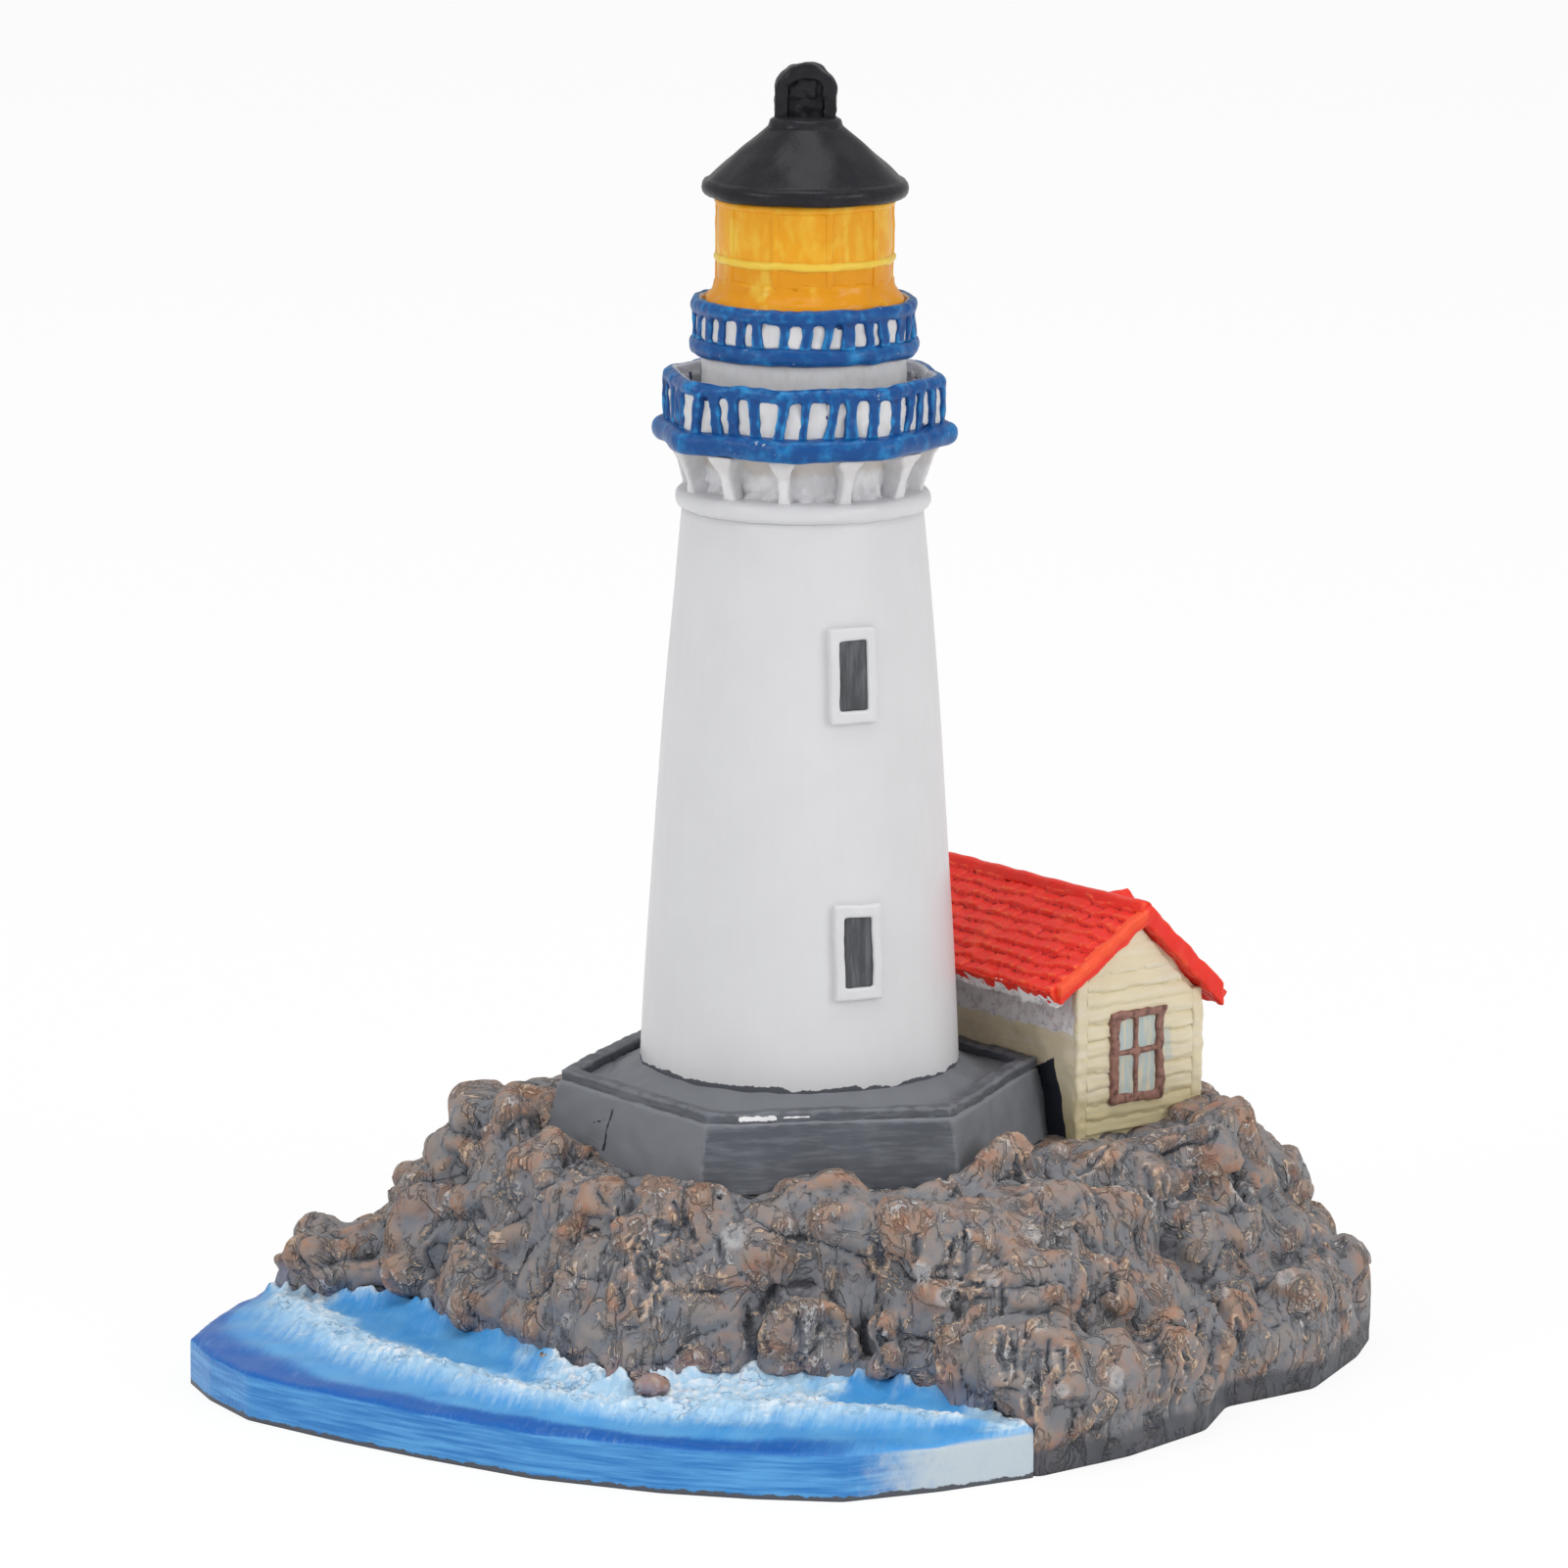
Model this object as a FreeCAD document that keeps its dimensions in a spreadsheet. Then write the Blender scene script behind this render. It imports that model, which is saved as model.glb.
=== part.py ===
import FreeCAD, Part
import math
import os

import Sketcher

# Lighthouse figurine on a rocky headland with a keeper's cottage.
# The origin is on the underside, below the axis of the tower. +Z is up and -Y is the display side.

os.makedirs("parts", exist_ok=True)
document = FreeCAD.newDocument("lighthouse_figurine")
sheet = document.addObject("Spreadsheet::Sheet", "sizes")

SIZES = (
    # Headland: rock mound, ledge and boulders
    ("base_half_width", "64.5"),
    ("base_front_depth", "53.8"),
    ("base_back_depth", "48"),
    ("rock_edge_height", "8.5"),
    ("ledge_height", "25"),
    ("ledge_half_width", "46.5"),
    ("ledge_front_depth", "27.5"),
    ("ledge_back_depth", "43"),
    ("rock_relief", "1.1"),
    ("boulder_thickness", "7.5"),
    ("boulder_chamfer", "1.2"),
    # Sea in front of the rocks
    ("sea_edge_height", "5"),
    ("sea_rise", "1.6"),
    ("surf_height", "1"),
    ("shore_foam_height", "1.2"),
    # Six-sided plinth of the tower
    ("plinth_foot_radius", "27.5"),
    ("plinth_rim_radius", "25.2"),
    ("plinth_wall_height", "6.3"),
    ("coping_height", "1.8"),
    ("coping_width", "0.9"),
    ("plinth_deck_thickness", "0.5"),
    ("plinth_deck_rise", "2.2"),
    ("plinth_turn", "38"),
    # Tower shaft
    ("tower_foot_radius", "17.1"),
    ("tower_top_radius", "12.7"),
    ("tower_height", "61.8"),
    ("tower_belly", "0.35"),
    # Windows of the tower
    ("tower_window_turn", "21.5"),
    ("tower_window_width", "5.2"),
    ("tower_window_height", "10"),
    ("tower_window_border", "1"),
    ("tower_window_sill_border", "1.3"),
    ("tower_window_stand", "0.9"),
    ("tower_window_recess", "0.5"),
    ("lower_window_level", "12.2"),
    ("upper_window_level", "41.2"),
    # Neck ring and corbels under the lower gallery
    ("neck_ring_radius", "13.4"),
    ("neck_ring_height", "2"),
    ("neck_ring_round", "0.5"),
    ("corbel_drum_radius", "10.9"),
    ("corbel_height", "4.8"),
    ("corbel_count", "12"),
    ("corbel_width", "1.7"),
    ("corbel_foot_radius", "12.8"),
    ("corbel_head_radius", "14.6"),
    ("corbel_bow", "0.4"),
    ("corbel_turn", "-8.5"),
    # Eight-sided lower gallery
    ("lower_gallery_turn", "-9.6"),
    ("lower_deck_radius", "16.4"),
    ("lower_deck_height", "2.5"),
    ("lower_deck_round", "0.9"),
    ("lower_rail_radius", "15.4"),
    ("lower_rail_height", "1.2"),
    ("lower_rail_round", "0.35"),
    ("lower_parapet_radius", "14.9"),
    ("lower_parapet_inner_radius", "13.7"),
    ("lower_parapet_height", "3.8"),
    ("lower_corner_round", "2.5"),
    ("lower_baluster_count", "36"),
    ("lower_baluster_width", "1.05"),
    ("lower_baluster_stand", "0.4"),
    # Watch room and round upper gallery
    ("watch_room_radius", "10.8"),
    ("watch_room_height", "7"),
    ("upper_deck_radius", "12.1"),
    ("upper_deck_height", "2"),
    ("upper_deck_bow", "0.45"),
    ("upper_rail_radius", "11.9"),
    ("upper_rail_height", "1.6"),
    ("upper_rail_bow", "0.25"),
    ("upper_parapet_radius", "11.3"),
    ("upper_parapet_inner_radius", "10.4"),
    ("upper_parapet_height", "2.4"),
    ("upper_baluster_count", "30"),
    ("upper_baluster_width", "0.95"),
    ("upper_baluster_stand", "0.4"),
    # Lantern
    ("lantern_radius", "9.2"),
    ("lantern_sill_rise", "1.8"),
    ("lantern_sill_bow", "0.3"),
    ("lower_glazing_height", "2"),
    ("belt_rail_height", "0.8"),
    ("belt_rail_stand", "0.55"),
    ("upper_glazing_height", "5.2"),
    ("head_ring_height", "0.8"),
    ("head_ring_stand", "0.35"),
    ("mullion_count", "10"),
    ("mullion_width", "0.9"),
    ("mullion_stand", "0.25"),
    ("mullion_turn", "17"),
    # Roof and finial
    ("roof_rim_radius", "10.7"),
    ("roof_lip_height", "1.7"),
    ("roof_lip_bow", "0.7"),
    ("roof_shoulder_radius", "9.9"),
    ("roof_rise", "5.6"),
    ("roof_bow", "0.35"),
    ("roof_neck_radius", "3.9"),
    ("collar_height", "0.8"),
    ("collar_top_radius", "3.3"),
    ("finial_half_width", "3.2"),
    ("finial_leg_width", "1.4"),
    ("finial_crown_rise", "3.1"),
    ("finial_crown_width", "2.2"),
    ("finial_leg_height", "2.8"),
    ("finial_thickness", "2.6"),
    ("finial_web_thickness", "1.3"),
    # Keeper's cottage
    ("cottage_turn", "38.5"),
    ("cottage_gap", "5.3"),
    ("cottage_front_distance", "18.9"),
    ("cottage_width", "17.6"),
    ("cottage_length", "36"),
    ("cottage_left_wall_height", "17.1"),
    ("cottage_right_wall_height", "14.2"),
    ("cottage_ridge_height", "22.4"),
    ("corner_board_width", "1.5"),
    ("corner_board_stand", "0.35"),
    ("clapboard_pitch", "1.75"),
    ("clapboard_stand", "0.25"),
    ("clapboard_shadow_gap", "0.35"),
    ("clapboard_side_margin", "0.2"),
    # Roof of the cottage
    ("shingle_course_count", "8"),
    ("shingle_step", "0.35"),
    ("cottage_roof_thickness", "1.9"),
    ("cottage_left_overhang", "3.3"),
    ("cottage_right_overhang", "2.1"),
    ("cottage_rake_overhang", "1.7"),
    ("rake_board_thickness", "0.9"),
    ("rake_board_drop", "0.3"),
    ("ridge_cap_width", "2.2"),
    ("ridge_cap_thickness", "0.7"),
    ("fascia_drop", "0.25"),
    ("fascia_thickness", "0.6"),
    ("dormer_width", "5"),
    ("dormer_reach", "3.8"),
    ("dormer_setback", "3.4"),
    ("dormer_drop", "0.1"),
    # Window of the cottage
    ("cottage_window_width", "7.6"),
    ("cottage_window_height", "10.3"),
    ("cottage_window_sill_level", "3.1"),
    ("cottage_window_offset", "4.4"),
    ("cottage_window_border", "1"),
    ("cottage_window_stand", "0.7"),
    ("cottage_muntin_width", "0.55"),
    ("cottage_muntin_stand", "0.45"),
    ("cottage_pane_stand", "0.2"),
    # Overrun of every cutting solid past what it cuts
    ("overrun", "4"),
)


def write_sheet():
    for row, (alias, value) in enumerate(SIZES, start=1):
        sheet.set(f"A{row}", alias)
        sheet.set(f"B{row}", value)
        sheet.setAlias(f"B{row}", alias)
    document.recompute()


def size(alias):
    return float(sheet.get(alias))


def number(text):
    value = sheet.evalExpression(text)
    return float(getattr(value, "Value", value))


def total(*terms):
    return "(" + " + ".join(terms) + ")"


write_sheet()

# Heights of the seats, from the ground up
LEDGE = "sizes.ledge_height"
PLINTH_TOP = total(LEDGE, "sizes.plinth_wall_height")
TOWER_TOP = total(PLINTH_TOP, "sizes.tower_height")
CORBEL_FOOT = total(TOWER_TOP, "sizes.neck_ring_height")
LOWER_DECK_FOOT = total(CORBEL_FOOT, "sizes.corbel_height")
LOWER_DECK_TOP = total(LOWER_DECK_FOOT, "sizes.lower_deck_height")
LOWER_RAIL_FOOT = total(LOWER_DECK_TOP, "sizes.lower_parapet_height")
UPPER_DECK_FOOT = total(LOWER_DECK_TOP, "sizes.watch_room_height")
UPPER_DECK_TOP = total(UPPER_DECK_FOOT, "sizes.upper_deck_height")
UPPER_RAIL_FOOT = total(UPPER_DECK_TOP, "sizes.upper_parapet_height")
UPPER_RAIL_TOP = total(UPPER_RAIL_FOOT, "sizes.upper_rail_height")
GLAZING_FOOT = total(UPPER_RAIL_TOP, "sizes.lantern_sill_rise")
BELT_FOOT = total(GLAZING_FOOT, "sizes.lower_glazing_height")
BELT_TOP = total(BELT_FOOT, "sizes.belt_rail_height")
HEAD_RING_FOOT = total(BELT_TOP, "sizes.upper_glazing_height")
ROOF_FOOT = total(HEAD_RING_FOOT, "sizes.head_ring_height")
ROOF_SHOULDER = total(ROOF_FOOT, "sizes.roof_lip_height")
ROOF_TOP = total(ROOF_SHOULDER, "sizes.roof_rise")
COLLAR_TOP = total(ROOF_TOP, "sizes.collar_height")

PLINTH_SIDES = 6
GALLERY_SIDES = 8
# Two points closer together than this are one point
SAME_POINT = 1e-6

kept = []


def keep(thing, label):
    """Marks an object of the document as a sub-part of its own."""
    thing.Label = label
    kept.append(thing)
    return thing


def raise_to(thing, level):
    thing.setExpression("Placement.Base.z", level)


def turn_by(thing, angle):
    thing.setExpression("Placement.Rotation.Angle", angle)


# Sketches and bodies


def new_body(name):
    body = document.addObject("PartDesign::Body", name)
    body.AllowCompound = True
    return body


def origin_plane(body, role):
    for feature in body.Origin.OriginFeatures:
        if feature.Role == role:
            return feature
    raise RuntimeError("the body has no plane " + role)


def arc_through(start, end, bow):
    """A circle arc that runs counterclockwise and bulges by bow to the right of its way."""
    chord = end - start
    side = FreeCAD.Vector(chord.y, -chord.x, 0)
    side.normalize()
    middle = (start + end) * 0.5 + side * bow
    return Part.Arc(start, middle, end)


def arc_radius(first, second, bow):
    chord = f"(({second[0]} - {first[0]})^2 + ({second[1]} - {first[1]})^2)"
    return f"({chord} / 4 + ({bow})^2) / (2 * abs({bow}))"


def outline_sketch(body, name, role, points, bows=None):
    """A closed outline through points, each a pair of expressions.

    bows gives, for the side that starts at a point's index, the expression of its bulge.
    """
    bows = bows or {}
    sketch = body.newObject("Sketcher::SketchObject", name)
    sketch.AttachmentSupport = (origin_plane(body, role), [""])
    sketch.MapMode = "FlatFace"
    places = [FreeCAD.Vector(number(across), number(up), 0) for across, up in points]
    ends = []
    for index, start in enumerate(places):
        end = places[(index + 1) % len(places)]
        bow = number(bows[index]) if index in bows else 0
        if bow > 0:
            sketch.addGeometry(arc_through(start, end, bow), False)
            ends.append((1, 2))
        elif bow < 0:
            sketch.addGeometry(arc_through(end, start, -bow), False)
            ends.append((2, 1))
        else:
            sketch.addGeometry(Part.LineSegment(start, end), False)
            ends.append((1, 2))
    for index in range(len(places)):
        following = (index + 1) % len(places)
        last, first = ends[index][1], ends[following][0]
        joint = Sketcher.Constraint("Coincident", index, last, following, first)
        sketch.addConstraint(joint)
    for index, (across, up) in enumerate(points):
        pin_coordinate(sketch, "DistanceX", -2, index, ends[index][0], across)
        pin_coordinate(sketch, "DistanceY", -1, index, ends[index][0], up)
    for index, bow in bows.items():
        following = points[(index + 1) % len(points)]
        text = arc_radius(points[index], following, bow)
        place = sketch.addConstraint(Sketcher.Constraint("Radius", index, number(text)))
        sketch.setExpression(f"Constraints[{place}]", text)
    return sketch


def pin_coordinate(sketch, kind, axis, geometry, end, text):
    if text == "0":
        sketch.addConstraint(Sketcher.Constraint("PointOnObject", geometry, end, axis))
        return
    place = sketch.addConstraint(Sketcher.Constraint(kind, -1, 1, geometry, end, number(text)))
    sketch.setExpression(f"Constraints[{place}]", text)


def ring_points(outer, inner, height):
    return [(inner, "0"), (outer, "0"), (outer, height), (inner, height)]


def turned_body(label, level, points, bows=None):
    """A body of revolution about the tower's axis, its outline as radius and height."""
    body = new_body(label)
    sketch = outline_sketch(body, label + "_outline", "XZ_Plane", points, bows)
    turned = body.newObject("PartDesign::Revolution", label + "_turned")
    turned.Profile = sketch
    turned.ReferenceAxis = (sketch, ["V_Axis"])
    turned.Angle = 360
    raise_to(body, level)
    return body


def pad_sketch(body, sketch, name, length, symmetric=False):
    pad = body.newObject("PartDesign::Pad", name)
    pad.Profile = sketch
    pad.setExpression("Length", length)
    pad.Midplane = symmetric
    return pad


def polygon_points(radius, sides, turn):
    """Corners of a regular polygon; turn is the expression of its first corner's angle."""
    points = []
    for side in range(sides):
        angle = f"({turn} + {side} * 360 / {sides}) * 1 deg"
        points.append((f"{radius} * sin({angle})", f"-({radius}) * cos({angle})"))
    return points


def upright_edges(shape):
    names = []
    for index, edge in enumerate(shape.Edges, start=1):
        first, last = edge.Vertexes[0].Point, edge.Vertexes[-1].Point
        if math.hypot(first.x - last.x, first.y - last.y) < SAME_POINT:
            names.append(f"Edge{index}")
    return names


def flat_edges(shape):
    """Edges around the top and bottom of an upright prism."""
    upright = upright_edges(shape)
    names = [f"Edge{index}" for index in range(1, len(shape.Edges) + 1)]
    return [name for name in names if name not in upright]


def prism_body(label, level, radius, height, sides, turn, corner=None, rim=None, hole=None):
    """An upright prism: corner rounds its upright edges, rim its other edges, hole bores it."""
    body = new_body(label)
    sketch = outline_sketch(body, label + "_outline", "XY_Plane", polygon_points(radius, sides, turn))
    feature = pad_sketch(body, sketch, label + "_pad", height)
    document.recompute()
    for name, roundness, edges in (("_corners", corner, upright_edges), ("_rim", rim, flat_edges)):
        if roundness is None:
            continue
        fillet = body.newObject("PartDesign::Fillet", label + name)
        fillet.Base = (feature, edges(feature.Shape))
        fillet.setExpression("Radius", roundness)
        document.recompute()
        feature = fillet
    if hole is not None:
        corners = polygon_points(hole, sides, turn)
        inner = outline_sketch(body, label + "_hole_outline", "XY_Plane", corners)
        pocket = body.newObject("PartDesign::Pocket", label + "_hole")
        pocket.Profile = inner
        pocket.setExpression("Length", total(height, "sizes.overrun"))
        pocket.Reversed = True
    raise_to(body, level)
    return body


def radial_bars(label, level, count, turn, width, inner, outer, height):
    """Upright bars that stand round the tower's axis, one every full turn divided by count."""
    body = new_body(label)
    points = [
        (f"-({width}) / 2", f"-({outer})"),
        (f"({width}) / 2", f"-({outer})"),
        (f"({width}) / 2", f"-({inner})"),
        (f"-({width}) / 2", f"-({inner})"),
    ]
    sketch = outline_sketch(body, label + "_outline", "XY_Plane", points)
    pad = pad_sketch(body, sketch, label + "_pad", height)
    pattern_round(body, pad, sketch, "N_Axis", label, count)
    raise_to(body, level)
    turn_by(body, turn)
    return body


def pattern_round(body, feature, sketch, axis, label, count):
    pattern = body.newObject("PartDesign::PolarPattern", label + "_ring")
    pattern.Originals = [feature]
    pattern.Axis = (sketch, [axis])
    pattern.Angle = 360
    pattern.setExpression("Occurrences", count)
    body.Tip = pattern
    return pattern


# Booleans and primitives


def cut(base, tool, label):
    result = document.addObject("Part::Cut", label)
    result.Base = base
    result.Tool = tool
    return result


def cut_all(base, tools, label):
    for index, tool in enumerate(tools):
        base = cut(base, tool, f"{label}_cut_{index}")
    return base


def common(base, tool, label):
    result = document.addObject("Part::Common", label)
    result.Base = base
    result.Tool = tool
    return result


# Faceted solids of the headland, as triangles between chains of points


def facet(corners):
    """A triangle, or None where two of its corners fall together."""
    first, second, third = corners
    if (second - first).cross(third - first).Length < SAME_POINT**2:
        return None
    return Part.Face(Part.makePolygon([first, second, third, first]))


def strip(lower, upper):
    """Triangles between two chains with equally many points."""
    faces = []
    for index in range(len(lower) - 1):
        quad = (lower[index], lower[index + 1], upper[index + 1], upper[index])
        faces.append(facet((quad[0], quad[1], quad[2])))
        faces.append(facet((quad[0], quad[2], quad[3])))
    return [face for face in faces if face is not None]


def closed_solid(faces):
    shell = Part.makeShell(faces)
    solid = Part.Solid(shell)
    if solid.Volume < 0:
        solid.reverse()
    return solid


def flat_face(points):
    return Part.Face(Part.makePolygon(points + [points[0]]))


def base_place(share):
    depth = size("base_front_depth") if share[1] < 0 else size("base_back_depth")
    return FreeCAD.Vector(share[0] * size("base_half_width"), share[1] * depth, 0)


def ledge_place(share):
    depth = size("ledge_front_depth") if share[1] < 0 else size("ledge_back_depth")
    return FreeCAD.Vector(share[0] * size("ledge_half_width"), share[1] * depth, 0)


def at_height(point, height):
    return FreeCAD.Vector(point.x, point.y, height)


# Foot of the rocks where they form the outline, from the right end of the sea round the back
COAST_SHARES = (
    (0.38, -0.82),
    (0.53, -0.67),
    (0.66, -0.48),
    (0.70, -0.31),
    (0.85, -0.17),
    (0.935, 0.085),
    (0.965, 0.25),
    (0.86, 0.49),
    (0.70, 0.74),
    (0.50, 0.93),
    (0.27, 1.0),
    (0.0, 0.96),
    (-0.23, 0.89),
    (-0.44, 0.77),
    (-0.63, 0.60),
    (-0.80, 0.42),
    (-0.89, 0.25),
)
# Line where the sea meets the rocks, from the left end to the right
SHORE_SHARES = (
    (-0.79, 0.10),
    (-0.72, 0.03),
    (-0.65, -0.01),
    (-0.59, -0.15),
    (-0.51, -0.28),
    (-0.425, -0.42),
    (-0.355, -0.56),
    (-0.27, -0.65),
    (-0.14, -0.575),
    (0.0, -0.565),
    (0.14, -0.615),
    (0.255, -0.705),
    (0.325, -0.77),
)
# Outer edge of the sea, from the left end to the right
SEA_EDGE_SHARES = (
    (-0.945, 0.075),
    (-0.975, -0.045),
    (-1.0, -0.175),
    (-0.96, -0.305),
    (-0.89, -0.45),
    (-0.75, -0.587),
    (-0.595, -0.72),
    (-0.42, -0.853),
    (-0.217, -0.946),
    (-0.07, -0.983),
    (0.07, -1.0),
    (0.225, -0.924),
    (0.31, -0.866),
)
# Edge of the level ledge, one point for each point of the coast and then of the shore
LEDGE_SHARES = (
    (0.444, -0.98),
    (0.566, -0.764),
    (0.667, -0.527),
    (0.747, -0.345),
    (0.889, -0.073),
    (0.96, 0.17),
    (1.0, 0.31),
    (0.86, 0.52),
    (0.70, 0.74),
    (0.52, 0.95),
    (0.30, 1.0),
    (0.04, 0.92),
    (-0.22, 0.77),
    (-0.42, 0.58),
    (-0.55, 0.38),
    (-0.62, 0.20),
    (-0.65, 0.06),
    (-0.65, -0.055),
    (-0.64, -0.145),
    (-0.63, -0.255),
    (-0.60, -0.38),
    (-0.56, -0.51),
    (-0.50, -0.655),
    (-0.42, -0.80),
    (-0.31, -0.925),
    (-0.17, -0.99),
    (-0.01, -1.0),
    (0.15, -1.0),
    (0.29, -1.0),
    (0.385, -0.99),
)
# Rings of the slope: share of the rise above the rock edge, share of the way in to the ledge
SLOPE_RING_SHARES = ((0.14, 0.3), (0.48, 0.56), (0.78, 0.8))
# Turn of the wave that roughens the slope, in radians for each ring and for each point of a ring
WAVE_PER_RING = 2.0
WAVE_PER_POINT = 2.4
# Chains of the sea between its edge (0) and the shore (1), for the surf and the foam
SURF_OUTER_SHARE = 0.36
SURF_CREST_SHARE = 0.52
SURF_INNER_SHARE = 0.68
FOAM_OUTER_SHARE = 0.86


def rock_mound():
    foot = [base_place(share) for share in COAST_SHARES + SHORE_SHARES]
    ledge = [at_height(ledge_place(share), size("ledge_height")) for share in LEDGE_SHARES]
    edge_height = size("rock_edge_height")
    edge = [at_height(point, edge_height) for point in foot]
    rings = [foot, edge]
    rise = size("ledge_height") - edge_height
    for order, (up_share, in_share) in enumerate(SLOPE_RING_SHARES, start=1):
        ring = []
        for index, (low, high) in enumerate(zip(foot, ledge)):
            inward = at_height(high, 0) - low
            wave = math.sin(order * WAVE_PER_RING + index * WAVE_PER_POINT)
            place = low + inward * in_share
            if inward.Length > 0:
                place = place - inward * (wave * size("rock_relief") / inward.Length)
            height = edge_height + rise * up_share + wave * size("rock_relief")
            ring.append(at_height(place, height))
        rings.append(ring)
    rings.append(ledge)
    faces = [flat_face(foot), flat_face(ledge)]
    for lower, upper in zip(rings, rings[1:]):
        faces += strip(lower + lower[:1], upper + upper[:1])
    mound = document.addObject("Part::Feature", "rock_mound")
    mound.Shape = closed_solid(faces)
    return keep(mound, "rock_mound")


def sea_chain(share, height, swell=0.0):
    """Points at a share of the way from the sea's edge to the shore; both ends stay at the edge."""
    ends = (base_place(COAST_SHARES[-1]), base_place(COAST_SHARES[0]))
    outer = [ends[0]] + [base_place(item) for item in SEA_EDGE_SHARES] + [ends[1]]
    inner = [ends[0]] + [base_place(item) for item in SHORE_SHARES] + [ends[1]]
    chain = []
    for index, (far, near) in enumerate(zip(outer, inner)):
        lift = math.sin(math.pi * index / (len(outer) - 1))
        level = size("sea_edge_height") + (height + swell) * min(1.0, 2 * lift)
        chain.append(at_height(far + (near - far) * share, level))
    return chain


def rising_chain(share, swell=0.0):
    return sea_chain(share, share * size("sea_rise"), swell)


def sea_slab():
    shares = (0.0, SURF_OUTER_SHARE, SURF_INNER_SHARE, FOAM_OUTER_SHARE, 1.0)
    chains = [rising_chain(share) for share in shares]
    edge_foot = [at_height(point, 0) for point in chains[0]]
    shore_foot = [at_height(point, 0) for point in chains[-1]]
    faces = strip(edge_foot, chains[0])
    for lower, upper in zip(chains, chains[1:]):
        faces += strip(lower, upper)
    faces += strip(chains[-1], shore_foot)
    faces.append(flat_face(edge_foot + shore_foot[-2:0:-1]))
    slab = document.addObject("Part::Feature", "sea_slab")
    slab.Shape = closed_solid(faces)
    return keep(slab, "sea_slab")


def surf_ridge():
    """A ridge of white water along the middle of the sea, lying on the slab."""
    outer = rising_chain(SURF_OUTER_SHARE)
    crest = rising_chain(SURF_CREST_SHARE, size("surf_height"))
    inner = rising_chain(SURF_INNER_SHARE)
    ridge = document.addObject("Part::Feature", "surf_ridge")
    ridge.Shape = closed_solid(strip(outer, crest) + strip(crest, inner) + strip(outer, inner))
    return keep(ridge, "surf_ridge")


def shore_foam():
    """The foam that piles up where the sea meets the rocks."""
    outer = rising_chain(FOAM_OUTER_SHARE)
    foot = rising_chain(1.0)
    crest = rising_chain(1.0, size("shore_foam_height"))
    foam = document.addObject("Part::Feature", "shore_foam")
    foam.Shape = closed_solid(strip(outer, crest) + strip(foot, crest) + strip(outer, foot))
    return keep(foam, "shore_foam")


# Plinth


def plinth_section(name, radius, level):
    outline = document.addObject("Part::RegularPolygon", name)
    outline.Polygon = PLINTH_SIDES
    outline.setExpression("Circumradius", radius)
    raise_to(outline, level)
    turn_by(outline, "(sizes.plinth_turn - 90) * 1 deg")
    return outline


def plinth_frustum(name, foot, foot_level, head, head_level):
    lower = plinth_section(name + "_foot", foot, foot_level)
    upper = plinth_section(name + "_head", head, head_level)
    loft = document.addObject("Part::Loft", name)
    loft.Sections = [lower, upper]
    loft.Solid = True
    loft.Ruled = True
    return loft


def plinth(walls, shaft):
    coping_top = total(PLINTH_TOP, "sizes.coping_height")
    batter = "(sizes.plinth_foot_radius - sizes.plinth_rim_radius)"
    full_height = "(sizes.plinth_wall_height + sizes.coping_height)"
    seat_radius = f"(sizes.plinth_rim_radius + {batter} * sizes.coping_height / {full_height})"
    inner_radius = "(sizes.plinth_rim_radius - sizes.coping_width)"

    block = plinth_frustum("plinth_block_whole", "sizes.plinth_foot_radius", LEDGE, seat_radius, PLINTH_TOP)
    block = keep(cut(block, walls, "plinth_block"), "plinth_block")

    rim = "sizes.plinth_rim_radius"
    coping = plinth_frustum("plinth_coping_whole", seat_radius, PLINTH_TOP, rim, coping_top)
    court_top = total(coping_top, "sizes.overrun")
    court = plinth_frustum("plinth_court", inner_radius, PLINTH_TOP, inner_radius, court_top)
    coping = cut(coping, court, "plinth_coping_ring")
    coping = keep(cut(coping, walls, "plinth_coping"), "plinth_coping")

    floor_level = total(PLINTH_TOP, "sizes.plinth_deck_thickness")
    floor = plinth_frustum("plinth_floor", inner_radius, PLINTH_TOP, inner_radius, floor_level)
    slope = document.addObject("Part::Cone", "plinth_slope")
    slope.setExpression("Radius1", f"{inner_radius} * cos(180 deg / {PLINTH_SIDES})")
    slope.setExpression("Radius2", "sizes.tower_foot_radius")
    slope.setExpression("Height", "sizes.plinth_deck_rise")
    raise_to(slope, floor_level)
    deck = document.addObject("Part::Fuse", "plinth_deck_whole")
    deck.Base = floor
    deck.Tool = slope
    deck = cut(deck, shaft, "plinth_deck_bored")
    keep(cut(deck, walls, "plinth_deck"), "plinth_deck")
    return block, coping


# Tower


def tower_shaft():
    points = [
        ("0", "0"),
        ("sizes.tower_foot_radius", "0"),
        ("sizes.tower_top_radius", "sizes.tower_height"),
        ("0", "sizes.tower_height"),
    ]
    return keep(turned_body("tower_shaft", PLINTH_TOP, points, {1: "sizes.tower_belly"}), "tower_shaft")


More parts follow.
